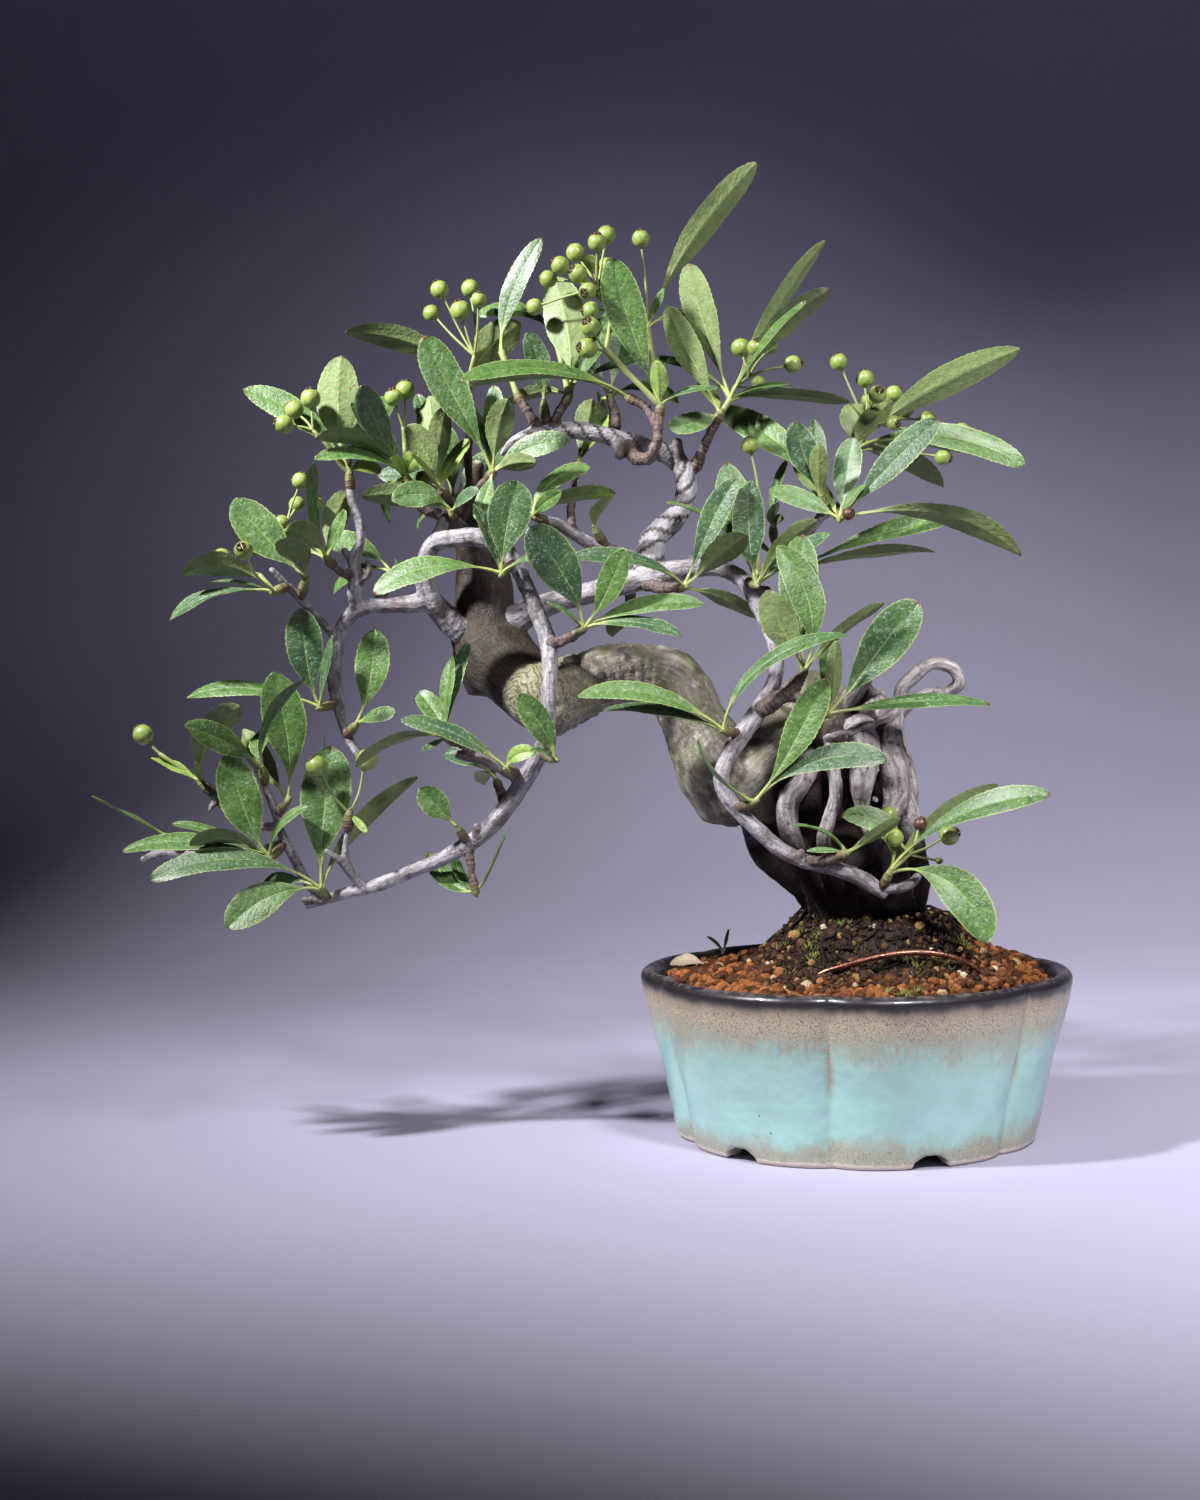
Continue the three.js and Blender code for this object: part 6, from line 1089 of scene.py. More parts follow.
def half_width(s, small, slim):
    """A blade's half width, as a share of the widest, at a share s of its length; slim is from 0 to 1."""
    foot, peak, power = (0.05, 0.58, 1.35) if small else (0.11, 0.67 - 0.10 * slim, 1.9)
    rise = np.sin(np.pi / 2 * np.clip((s - foot) / (peak - foot), 0, 1)) ** power
    fall = np.clip(1 - np.clip((s - peak) / (1 - peak), 0, 1) ** 2.4, 0, 1) ** (0.58 + 0.14 * slim)
    return np.where(s < peak, rise, fall)


def add_leaf(skin, looks, bud, leaf, shift, chance, young):
    """One leaf: a round stalk that opens into a blade with a fold, a rib and a finely toothed margin."""
    x, z, deeper, width = leaf[:4]
    length = np.linalg.norm(place((x, z, bud["depth"] + deeper + shift)) - bud["at"])
    stations = int(np.clip(length * looks.leaf_detail, 14, 84))
    line, ahead, facing = leaf_line(bud, leaf, shift, stations)
    s = np.linspace(0, 1, stations)
    u, level = ACROSS[None, :], np.abs(ACROSS)[None, :]
    above = UPPER[None, :] == 1
    # The blade rolls a little about its middle line
    roll = chance.uniform(-0.12, 0.12) * (s - 0.2) + 0.05 * np.sin(s * 5 + chance.uniform(0, 6))
    up = unit(facing - ahead * (ahead @ facing)[:, None])
    side = np.cross(up, ahead)
    cos, sin = np.cos(roll)[:, None], np.sin(roll)[:, None]
    up, side = up * cos + side * sin, side * cos - up * sin
    half = (half_width(s, width < SMALL_WIDTH, chance.random()) * width / 2)[:, None]
    phase = (s * length / looks.tooth_pitch + chance.uniform(0, 1)) % 1
    tooth = looks.tooth_depth * min(width / 7, 1) * (phase - 0.4) * ease(s, 0.30, 0.45)
    reach = np.maximum(half, 0.30) + np.where(level == 1, tooth[:, None], 0)
    # Folded up along the rib, waved along the margin and bent down at the edge
    fold = chance.uniform(0.08, 0.26)
    wave = chance.uniform(0.15, 0.40) * np.sin(s * chance.uniform(9, 15) + chance.uniform(0, 6))
    wave = (wave * ease(s, 0.3, 0.5))[:, None] * min(width / 8, 1)
    lift = level**1.3 * half * fold + u * level * wave
    lift = lift - np.where(u == 0, 0.07, 0) - level**3 * half * 0.10
    thick = looks.leaf_thickness * np.interp(s, [0, 0.8, 1], [1.2, 1.0, 0.55])[:, None]
    rib = np.interp(s, [0, 0.9, 1], [0.42, 0.05, 0])[:, None] * np.interp(level, [0, 0.1, 0.5], [1, 0.45, 0])
    under = np.where(above, 0, thick * (1 - level**4) + rib)
    # The round stalk opens into the blade near its foot
    stalk = np.interp(s, [0, 0.06, 0.2, 1], [0.75, 0.48, 0.42, 0.2])[:, None]
    round_up = np.sqrt(np.clip(1 - u**2, 0, 1)) * np.where(above, 1, -1)
    blade = ease(s, 0.08, 0.24)[:, None]
    out = u * (stalk * (1 - blade) + reach * blade)
    high = round_up * stalk * (1 - blade) + (lift - under) * blade
    rings = line[:, None] + side[:, None] * out[:, :, None] + up[:, None] * high[:, :, None]
    wide = np.ones_like(high)
    skin.sweep(
        rings, LEAF, along=s[:, None] * wide, across=u * wide, under=(1 - above) * wide,
        tone=chance.random(), young=float(young), wear=chance.random(), length=length,
        rim=(level == 1) * (s[:, None] > 0.24) * wide,
    )


def add_berry(skin, looks, joint, centre, outward, radius, chance, dried):
    """One berry on its stalk, with its dried calyx, dark bristles and fine down."""
    side = unit(np.cross((0, 1, 0), outward))
    up = np.cross(side, outward)
    tone = chance.random()
    angles = circle(20)
    polar = np.radians([8, 22, 38, 54, 70, 86, 102, 118, 132, 146, 156, 164])
    away = np.sin(polar) * radius * (1 + 0.03 * np.cos(2 * polar))
    height = -np.cos(polar) * radius * 0.96
    # The last ring lies in a dimple under the calyx
    away[-1], height[-1] = radius * 0.20, radius * 0.84
    ribs = 1 + 0.018 * np.sin(angles * 5 + tone * 6)[None, :] * np.sin(polar)[:, None]
    rings = centre + outward * height[:, None, None]
    rings = rings + (away[:, None] * ribs)[:, :, None] * fan(side, up, angles)
    full = np.ones(ribs.shape)
    skin.sweep(rings, BERRY, along=polar[:, None] / math.pi * full, tone=tone, young=float(dried))
    foot = centre - outward * radius * 0.9
    bend = np.cross(outward, unit(chance.normal(size=3))) * np.linalg.norm(foot - joint) * 0.06
    middle, seat = (joint + foot) / 2 + bend, foot + outward * 0.5
    stalk = [[*joint, 0.40], [*middle, 0.34], [*foot, 0.42], [*seat, 0.7]]
    skin.tube(stalk, 7, 4, STALK, tone=chance.random())
    # Five sepals lie over the top and close inwards
    steps = np.linspace(0, 1, 4)
    turn = chance.uniform(0, 6)
    for k in range(5):
        a = turn + k * 2 * math.pi / 5
        out = side * math.cos(a) + up * math.sin(a)
        path = centre + outward * (radius * (0.83 + 0.22 * np.sin(steps * 2.2)))[:, None] \
            + out * (radius * (0.50 - 0.34 * steps))[:, None]
        half = radius * 0.26 * (1 - steps) ** 0.7 + 0.03
        across = np.cross(outward, out) * (half[:, None] * np.array((-1, 0, 1, 0)))[:, :, None]
        skin.sweep(path[:, None] + across + outward * np.array((0, 0.10, 0, -0.10))[None, :, None], CALYX)
    top = centre + outward * radius * 0.86
    for k in range(4):
        lean = unit(outward + chance.normal(size=3) * 0.28)
        tip = top + lean * chance.uniform(0.5, 1.1) * radius * 0.42
        skin.tube([[*top, 0.075], [*tip, 0.05]], 4, 1, CALYX)
    for k in range(looks.down_count):
        way = unit(chance.normal(size=3))
        if way @ outward > 0.75:
            continue
        root = centre + way * radius * 0.97
        tip = root + unit(way + chance.normal(size=3) * 0.4) * chance.uniform(0.25, 0.55)
        across = unit(np.cross(way, (0.3, 0.5, 0.8))) * 0.03
        other = np.cross(way, across)
        skin.add([root + across, root - across + other, root - across - other, tip],
                 [[(0, 1, 2), (0, 3, 1), (1, 3, 2), (2, 3, 0)]], DOWN)


def add_bud(skin, bud, chance):
    """A bud: a short knobbly cone of closed scales on the end of its spur."""
    steps = np.linspace(0, 1, 7)[:, None]
    radii = np.array((1.15, 1.35, 1.45, 1.40, 1.25, 0.95, 0.45)) * chance.uniform(0.85, 1.0)
    knots = np.column_stack([bud["foot"] + (bud["top"] - bud["foot"]) * steps, radii])
    skin.tube(knots, 12, 3, BUD, tone=chance.random())


# Wood

BARK_MARKS = ("trunk", "root", "spur", "hollow", "core", "scar", "loop", "cut", "run", "east", "north")
CUT_END = (-96, 176.6, 0)
TWIST = {"upperLoop": 0.22}
PLAIN_TWIST = 0.05
ROUNDS_OF_SPREAD = 60
LIMB_OFFSET = 37
KNOB_START, KNOB_END = 62, 80


def limb_list():
    """Every limb as knots, with the marks of its bark: trunk, root, spur, and how its grooves twist."""
    thick = [(places, 1, 0, 0, 0.02) for places in TRUNK] + [(places, 0, 1, 0, 0.03) for places in ROOTS]
    thin = [(places, 0, 0, 0, TWIST.get(name, PLAIN_TWIST)) for name, places in BRANCHES.items()]
    thin += [(places, 0, 0, 0.6, PLAIN_TWIST) for places in STUBS]
    stems = [spray["stem"] for spray in SPRAYS.values() if len(spray["stem"]) > 2]
    thin += [(places, 0, 0, 1, PLAIN_TWIST) for places in stems]
    return [[(knots_of(places), *marks) for places, *marks in limbs] for limbs in (thick, thin)]


def limb_axes(limbs):
    """Close places along every limb: place, radius, run, the three bark marks, twist, side and up."""
    rows = []
    for knots, *marks in limbs:
        line = smooth_line(knots, 8)
        _, side, up = steady_frame(line[:, :3])
        run = np.concatenate([[0], np.linalg.norm(np.diff(line[:, :3], axis=0), axis=1).cumsum()])
        facts = np.broadcast_to(marks, (len(line), 4))
        # Limbs start at different runs, so that no two have the same rings and grain
        rows.append(np.column_stack([line, run + LIMB_OFFSET * len(rows), facts, side, up]))
    return np.vstack(rows)


def fused(limbs, voxel):
    """One skin grown round all the limbs, as spots and four-sided faces."""
    skin = Skin()
    for knots, *_ in limbs:
        skin.tube(knots, 24 if knots[:, 3].mean() > 5 else 14, 6)
    mesh = bpy.data.meshes.new("limbs")
    mesh.from_pydata(np.vstack(skin.spots).tolist(), [], skin.all_faces())
    rough = bpy.data.objects.new("limbs", mesh)
    bpy.context.scene.collection.objects.link(rough)
    fuse = rough.modifiers.new("fuse", "REMESH")
    fuse.mode, fuse.voxel_size, fuse.adaptivity = "VOXEL", voxel, 0
    whole = rough.evaluated_get(bpy.context.evaluated_depsgraph_get()).to_mesh()
    spots = np.zeros(len(whole.vertices) * 3, np.float32)
    whole.vertices.foreach_get("co", spots)
    corners = np.zeros(len(whole.loops), np.int32)
    whole.loops.foreach_get("vertex_index", corners)
    bpy.data.objects.remove(rough)
    bpy.data.meshes.remove(mesh)
    return spots.reshape(-1, 3).astype(float), corners.reshape(-1, 4)


def neighbour_mean(spots, faces):
    """Each spot moved to the mean of its neighbours."""
    a, b = faces.ravel(), np.roll(faces, -1, axis=1).ravel()
    count = np.bincount(a, minlength=len(spots))[:, None]
    return np.stack([np.bincount(a, spots[b, c], len(spots)) for c in range(3)], axis=1) / count


def outward_ways(spots, faces):
    """The way that each spot of a closed skin faces."""
    across = np.cross(spots[faces[:, 2]] - spots[faces[:, 0]], spots[faces[:, 3]] - spots[faces[:, 1]])
    ways = [np.bincount(faces.ravel(), np.repeat(across[:, c], 4), len(spots)) for c in range(3)]
    return unit(np.stack(ways, axis=1))


def nearest_axis(spots, axes):
    """For each spot, the axis place whose limb's surface is closest."""
    best = np.zeros(len(spots), int)
    for first in range(0, len(spots), 4000):
        part = spots[first:first + 4000]
        square = (part**2).sum(axis=1)[:, None] + (axes[:, :3] ** 2).sum(axis=1) - 2 * part @ axes[:, :3].T
        best[first:first + 4000] = (np.sqrt(np.maximum(square, 0)) - axes[:, 3]).argmin(axis=1)
    return axes[best]


def row_dot(first, second):
    return np.einsum("ij,ij->i", first, second)


def bark_piece(name, limbs, voxel, looks, material):
    """Grows the bark round the limbs, with its grooves, rings, scars and knobs as real relief."""
    spots, faces = fused(limbs, voxel)
    # The voxel steps are evened out without shrinking what is thin
    for pull in (0.5, -0.52) * 4:
        spots = spots + (neighbour_mean(spots, faces) - spots) * pull
    # How deep each spot lies in a hollow, which the bark's colour darkens as painted shade
    filled = spots
    for _ in range(ROUNDS_OF_SPREAD):
        filled = neighbour_mean(filled, faces)
    hollow = row_dot(filled - spots, outward_ways(spots, faces))
    near = nearest_axis(spots, limb_axes(limbs))
    girth, run, trunk, root, spur, twist = near[:, 3:9].T
    east, north = (row_dot(spots - near[:, :3], near[:, k:k + 3]) for k in (9, 12))
    slow, mid, fine = lumps(spots, 7, 1), lumps(spots, 2.6, 2), lumps(spots, 1.1, 3)
    thick = np.clip(girth / 8, 0.12, 1.1)
    ridges = np.where(girth > 5, 7, 3)
    grooves = np.sin(np.arctan2(north, east) * ridges + run * twist * 6 + lumps(spots, 9, 4) * 1.4)
    rings = np.sin(run * np.where(trunk > 0.5, 2.1, 4.6) + lumps(spots, 5, 5) * 1.5)
    knob = ease(spots[:, 0], POT_X - 84, POT_X - 78) * ease(spots[:, 0], POT_X - 44, POT_X - 56) * trunk
    relief = 0.40 * slow * thick + 0.22 * mid * thick + 0.10 * fine * np.clip(girth / 3, 0.35, 1)
    relief += (0.22 * root + 0.07 * trunk + 0.085 * (1 - root - trunk)) * grooves * thick ** 0.4
    relief += rings * (0.03 * trunk + 0.16 * knob + 0.07 * spur + 0.035 * (1 - trunk - root))
    cracks = np.maximum(0, lumps(np.column_stack([east, north, run * 0.25]), 1.7, 6) - 0.35)
    relief -= cracks * 0.55 * np.clip(thick, 0.2, 1)
    scar = (twist > 0.1) * ease(grooves, 0.45, 0.9)
    relief += spur * 0.30 * lumps(spots, 1.5, 8) - scar * 0.35
    relief *= looks.bark_relief
    spots = spots + outward_ways(spots, faces) * relief[:, None]
    # Painted shade: the foot of the trunk between the raised roots, and the upright trunk behind the knob,
    # are a near-black red-brown core
    core = trunk * (near[:, 0] > POT_X - 14) * ease(near[:, 2], 108, 98)
    core = np.maximum(core, 0.82 * trunk * (near[:, 0] < POT_X - 79) * ease(near[:, 1], -8, -5))
    skin = Skin(*BARK_MARKS)
    skin.add(spots, [faces], trunk=trunk, root=root, spur=spur, core=core, scar=scar, loop=twist > 0.1,
             hollow=hollow - np.minimum(relief, 0) * 0.8, run=run, east=east, north=north,
             cut=ease(np.linalg.norm(spots - place(CUT_END), axis=1), 1.9, 1.5))
    skin.piece(name, [material], ["wood"])


# Ground

def pebbles(chance, count):
    """A few lumpy pebble shapes, each as spots about one across from its middle, with their faces."""
    shapes = []
    for k in range(count):
        ball = bmesh.new()
        bmesh.ops.create_icosphere(ball, subdivisions=2, radius=1)
        spots = np.array([v.co for v in ball.verts])
        faces = np.array([[v.index for v in f.verts] for f in ball.faces])
        ball.free()
        spots = spots * (1 + 0.30 * lumps(spots, 0.8, k)[:, None])
        spots = spots / np.maximum(np.abs(spots) / chance.uniform(0.78, 0.95), 1)
        shapes.append((spots * chance.uniform(0.72, 1.0, size=3), faces))
    return shapes


def turned(chance):
    """A random turn."""
    w, x, y, z = unit(chance.normal(size=4))
    return np.array([
        [1 - 2 * (y * y + z * z), 2 * (x * y - w * z), 2 * (x * z + w * y)],
        [2 * (x * y + w * z), 1 - 2 * (x * x + z * z), 2 * (y * z - w * x)],
        [2 * (x * z - w * y), 2 * (y * z + w * x), 1 - 2 * (x * x + y * y)],
    ])


def soil_ground():
    """A function that gives the height of the soil, with the crown of earth round the stem, at x and y."""
    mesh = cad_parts["soil"].data
    spots = [v.co / MM for v in mesh.vertices]
    tree = BVHTree.FromPolygons(spots, [tuple(p.vertices) for p in mesh.polygons])

    def height(x, y):
        hit = tree.ray_cast(Vector((x, y, 90)), Vector((0, 0, -1)))[0]
        return max(hit.z if hit else SOIL_EDGE, crown_height(from_stem(x, y), x, y))

    return height


def from_stem(x, y):
    """How far x and y are from the middle of the stem."""
    return math.hypot(x - POT_X - STEM_X, y)


def crown_height(away, x, y):
    """Height of the crown of earth, which closes the soil round the foot of the stem."""
    if away > CROWN_RADIUS:
        return -1.0
    return CROWN_TOP + 0.7 * float(lumps([[x, y, 0]], 4, 9)[0]) - CROWN_DROP * (away / CROWN_RADIUS) ** 4


def lobe_pull(degrees):
    """How far the wall is drawn in at this angle from a notch, from 0 to 1."""
    return (1 - np.abs(np.sin(np.radians(degrees * LOBES / 2)))) ** 3


def pot_inside(x, y, height):
    """How far the pot's inner wall is from its middle, in the direction of x and y."""
    degrees = math.degrees(math.atan2(y, x - POT_X)) - LOBE_TURN
    radius = INNER_RADIUS + (height - INNER_HEIGHT) * INNER_FLARE
    return radius * (1 - NOTCH_DEPTH * float(lobe_pull(degrees)))


# What a user would change

def size_prop(name, description, default, low, high, unit_kind="NONE"):
    return bpy.props.FloatProperty(
        name=name, description=description, default=default, min=low, max=high, unit=unit_kind)


def count_prop(name, description, default, low):
    return bpy.props.IntProperty(name=name, description=description, default=default, min=low)


def colour_prop(name, description, default):
    return bpy.props.FloatVectorProperty(
        name=name, description=description, default=default, min=0, max=1, subtype="COLOR")


class BonsaiWoodLooks(bpy.types.PropertyGroup):
    trunk_voxel: size_prop("Trunk grain", "Size of the steps that the trunk is grown in, in mm", 0.70, 0.4, 2)
    branch_voxel: size_prop("Branch grain", "Size of the branches' steps, in mm", 0.46, 0.3, 2)
    bark_relief: size_prop("Bark relief", "How deep the bark's grooves and rings are", 1.0, 0, 3)
    branch_colour: colour_prop("Branches", "Palest silver-grey of the branches", (0.41, 0.385, 0.42))
    trunk_colour: colour_prop("Trunk", "Palest grey-brown of the trunk", (0.30, 0.27, 0.225))
    root_colour: colour_prop("Roots", "Palest grey-tan of the raised roots", (0.50, 0.45, 0.455))


class BonsaiLeafLooks(bpy.types.PropertyGroup):
    leaf_detail: size_prop("Leaf detail", "Stations along a leaf, for each millimetre", 1.9, 0.5, 4)
    tooth_pitch: size_prop("Tooth pitch", "Distance between the teeth of a leaf's margin, in mm", 1.5, 0.5, 5)
    tooth_depth: size_prop("Tooth depth", "Depth of the teeth of a leaf's margin, in mm", 0.30, 0, 1)
    leaf_thickness: size_prop("Leaf thickness", "Thickness of a blade, in mm", 0.30, 0.1, 1)
    down_count: count_prop("Down", "Fine hairs on a berry", 22, 0)
    leaf_colour: colour_prop("Leaf", "Green of a leaf's upper side", (0.085, 0.185, 0.036))
    old_leaf_colour: colour_prop("Old leaf", "Blue-green of the darkest leaves", (0.048, 0.118, 0.048))
    young_leaf_colour: colour_prop("Young leaf", "Yellow-green of the young leaves", (0.25, 0.39, 0.075))
    underside_colour: colour_prop("Underside", "Green of a leaf's lower side", (0.19, 0.265, 0.088))
    berry_colour: colour_prop("Berry", "Green of the unripe berries", (0.31, 0.40, 0.095))


class BonsaiSoilLooks(bpy.types.PropertyGroup):
    grain_spacing: size_prop("Grain spacing", "Distance between the clay grains, in mm", 2.1, 1, 6)
    mound_spacing: size_prop("Mound spacing", "Distance between the grains on the mound, in mm", 1.85, 1, 6)
    grain_colour: colour_prop("Grains", "Palest orange-brown of the clay grains", (0.30, 0.105, 0.029))
    mound_colour: colour_prop("Mound", "Palest brown of the wet mound", (0.052, 0.023, 0.010))
    moss_colour: colour_prop("Moss", "Yellow-green of the tips of the moss", (0.30, 0.30, 0.05))
    moss_tufts: count_prop("Moss", "Tufts of moss on the mound", 24, 0)


class BonsaiPotLooks(bpy.types.PropertyGroup):
    glaze_colour: colour_prop("Glaze", "Pale aqua of the body", (0.365, 0.635, 0.585))
    fade_colour: colour_prop("Fade", "Beige of the freckled fade", (0.49, 0.41, 0.29))
    rim_colour: colour_prop("Rim", "Near-black of the rim", (0.028, 0.024, 0.030))
    clay_colour: colour_prop("Clay", "Bare clay at the foot", (0.72, 0.60, 0.53))
    columns: count_prop("Columns", "Columns round the pot", 360, 60)


class BonsaiStageLooks(bpy.types.PropertyGroup):
    paper_colour: colour_prop("Paper", "Colour of the floor and the wall", (0.392, 0.378, 0.500))
    key_power: size_prop("Key light", "Power of the light at the right", 2.5, 0, 200, "POWER")
    fill_power: size_prop("Second light", "Power of the light at the left", 1.22, 0, 200, "POWER")
    wall_power: size_prop("Wall light", "Power of the light behind, on the wall", 0.144, 0, 200, "POWER")


# Operators

class BonsaiPot(bpy.types.Operator):
    """Make the six-lobed glazed pot"""
    bl_idname = "bonsai.pot"
    bl_label = "Pot"

    def execute(self, context):
        looks = context.scene.bonsai_pot
        profile = smooth_line(np.array(POT_PROFILE, float)[:, [0, 1, 1]], 3)[:-1]
        degrees = np.linspace(0, 360, looks.columns, endpoint=False)
        drawn = lobe_pull(degrees)
        radius = profile[:, None, 0] * (1 - NOTCH_DEPTH * drawn * ease(profile[:, 0], 30, 46)[:, None])
        angle = np.radians(degrees + LOBE_TURN)[None]
        height = np.repeat(profile[:, 1:2], looks.columns, axis=1)
        # The six openings under the foot lift what lies below their outline
        off = (degrees % (360 / LOBES)) - 180 / LOBES
        cut = np.interp(np.abs(radius * np.radians(off)), *zip(*FOOT_CUT))
        height = np.where(radius > FOOT_INSIDE, np.maximum(height, cut), height)
        spots = np.stack([POT_X + radius * np.cos(angle), radius * np.sin(angle), height], axis=-1)
        wobble = lumps(spots.reshape(-1, 3), 14, 3).reshape(radius.shape) * 0.12
        way_out = np.stack([np.cos(angle), np.sin(angle)], axis=-1)
        spots[..., :2] += way_out * (wobble * ease(radius, 38, 46))[..., None]
        rows, columns = radius.shape
        i, j = np.meshgrid(np.arange(rows), np.arange(columns), indexing="ij")
        k, m = (i + 1) % rows, (j + 1) % columns
        quads = np.stack([i * columns + j, i * columns + m, k * columns + m, k * columns + j], axis=-1)
        skin = Skin("notch")
        outer = (profile[:, None, 1] > 0.5) * (radius > 44)
        skin.add(spots, [quads.reshape(-1, 4)], notch=(drawn[None] * outer).ravel())
        skin.piece("glazed_pot", [glaze_finish(looks)], ["pot"])
        return {"FINISHED"}


class BonsaiSoil(bpy.types.Operator):
    """Cover the soil with clay grains, wet grit, moss and rootlets"""
    bl_idname = "bonsai.soil"
    bl_label = "Soil and moss"

    def execute(self, context):
        looks = context.scene.bonsai_soil
        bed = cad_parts["soil"].data
        bed.materials.clear()
        bed.materials.append(earth_finish("soil_bed", True, looks))
        ground = soil_ground()
        grain = earth_finish("grain", False, looks)
        self.make_crown(grain)
        chance = np.random.default_rng(SOIL_SEED)
        shapes = pebbles(chance, 9)
        for name, spacing, mound in (
            ("clay_grains", looks.grain_spacing, False), ("mound_grit", looks.mound_spacing, True),
        ):
            skin = Skin("tone", "wet")
            for row, y in enumerate(np.arange(-51, 51, spacing * 0.87)):
                for x in np.arange(-51, 51, spacing) + (row % 2) * spacing / 2:
                    self.drop(skin, shapes, chance, ground, x + POT_X, y, mound, spacing)
            skin.piece(name, [grain], smooth=False)
        self.make_moss(looks, ground, chance)
        self.make_rootlets(ground, chance)
        return {"FINISHED"}

    def drop(self, skin, shapes, chance, ground, x, y, mound, spacing):
        """Drops a grain near x and y, where this kind of grain lies."""
        x, y = x + chance.normal() * spacing * 0.16, y + chance.normal() * spacing * 0.16
        away = from_stem(x, y)
        edge = MOUND_RADIUS + 5 * float(lumps([[x, y, 0]], 6, 12)[0]) + 8 * float(ease(-y, 10, 34))
        if (away < edge) is not mound:
            return
        size = spacing * (chance.uniform(0.30, 0.62) if mound else chance.uniform(0.34, 0.90))
        size = size * 1.8 if mound and chance.random() < 0.09 else size
        height = ground(x, y)
        if math.hypot(x - POT_X, y) > pot_inside(x, y, height) - size * 0.9:
            return
        shape, faces = shapes[chance.integers(len(shapes))]
        spots = shape @ turned(chance).T * size + (x, y, height + size * chance.uniform(-0.05, 0.45))
        wet = 1 - ease(away - edge + chance.normal() * 2.5, -5, 3)
        skin.add(spots, [faces], tone=chance.random(), wet=wet)

    def make_crown(self, grain):
        """Closes the soil round the stem with a domed crown of earth."""
        rings = []
        for away in np.linspace(0.5, CROWN_RADIUS - 0.1, 12):
            flat = [(POT_X + STEM_X + away * math.cos(a), away * math.sin(a)) for a in circle(72)]
            rings.append([(x, y, crown_height(away, x, y)) for x, y in flat])
        rings.append([(x, y, CROWN_FOOT) for x, y, _ in rings[-1]])
        skin = Skin("tone", "wet")
        skin.sweep(np.array(rings), tone=0.3, wet=1)
        skin.piece("earth_crown", [grain])

    def make_moss(self, looks, ground, chance):
        """Sets tufts of moss on the mound, in front of it and in a few clusters, as three-sided blades."""
        skin = Skin("along", "tone")
        places = [(chance.uniform(0, 2 * math.pi), chance.uniform(15, 36)) for _ in range(looks.moss_tufts)]
        spots = [(POT_X + STEM_X + r * math.cos(a), r * math.sin(a)) for a, r in places]
        spots += [(POT_X + 6 + chance.normal() * 2.2, -45.5 + chance.normal() * 0.9) for _ in range(12)]
        spots += [(POT_X + x + chance.normal() * 1.6, y + chance.normal() * 1.6) for x, y in
                  ((28, -14), (-14, -20), (12, -30), (22, -26)) for _ in range(3)]
        for x, y in spots:
            if math.hypot(x - POT_X, y) > 47:
                continue
            tone = chance.random()
            for _ in range(int(chance.integers(14, 34))):
                at = np.array((x, y)) + chance.normal(size=2) * 0.9
                root = np.array((*at, ground(*at) + 0.3))
                lean = np.array((0, 0, 1)) + np.append((at - (x, y)) * 0.45, 0)
                tip = root + unit(lean + chance.normal(size=3) * 0.2) * chance.uniform(0.9, 2.0)
                a = chance.uniform(0, 2)
                ring = [root + 0.17 * np.array((math.cos(a + t), math.sin(a + t), 0)) for t in (0, 2.1, 4.2)]
                skin.add([*ring, tip], [[(0, 2, 1), (0, 1, 3), (1, 2, 3), (2, 0, 3)]],
                         along=np.array((0, 0, 0, 1)), tone=tone)
        skin.piece("moss", [moss_finish(looks)])

    def make_rootlets(self, ground, chance):
        """Lays thin roots over the mound, and one loose root at its front."""
        skin = Skin(*BARK_MARKS)
        # The rootlets and the loose root take a little of the bark's painted shade of hollows
        for _ in range(26):
            a, r = chance.uniform(0, 2 * math.pi), chance.uniform(14, 20)
            heading = a + chance.normal() * 0.5
            rows = []
            for step in range(7):
                x, y = POT_X + STEM_X + r * math.cos(a), r * math.sin(a)
                x, y = x + math.cos(heading) * step * 2.1, y + math.sin(heading) * step * 2.1
                heading += chance.normal() * 0.25
                rows.append((x, y, ground(x, y) + 0.7 + chance.uniform(0, 0.9), chance.uniform(0.22, 0.42)))
            skin.tube(rows, 6, 3, root=1, hollow=0.3)
        skin.tube(knots_of(LOOSE_ROOT), 6, 4, root=1, hollow=0.3)
        skin.piece("rootlets", [bark_finish(bpy.context.scene.bonsai_wood)])


class BonsaiSmallThings(bpy.types.Operator):
    """Make the tying wire, the net over the drain hole, the weed sprig and the shed leaf"""
    bl_idname = "bonsai.small_things"
    bl_label = "Wire, net, weed and shed leaf"

    def execute(self, context):
        looks = context.scene.bonsai_leaves
        wire = Skin()
        wire.tube(knots_of(WIRE_ARC), 14, 6)
        wire.piece("tying_wire", [copper_finish()], ["tie_wire"])
        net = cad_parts["drain_mesh"].data
        net.materials.clear()
        net.materials.append(net_finish())
        chance = np.random.default_rng(SMALL_SEED)
        dry = dry_leaf_finish()
        weed = Skin(*LEAF_MARKS)
        weed.tube(knots_of(WEED_STEM), 8, 4)
        bud = {"at": place(WEED_STEM[-1]), "along": np.array((0, 0, 1.0)), "depth": WEED_STEM[-1][2]}
        for leaf in WEED_LEAVES:
            add_leaf(weed, looks, bud, leaf, 0, chance, True)
        weed.piece("weed", [dry], ["weed_sprig"], "rim")
        shed = Skin(*LEAF_MARKS)
        bud = {"at": place(SHED_START), "along": np.array((-1.0, 0, 0)), "depth": SHED_START[2]}
        add_leaf(shed, looks, bud, SHED_LEAF, 0, chance, False)
        shed.spots[0][:, 2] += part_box("fallen_leaf")[0][2] / MM - shed.spots[0][:, 2].min()
        shed.piece("shed_leaf", [dry], ["fallen_leaf"], "rim")
        return {"FINISHED"}


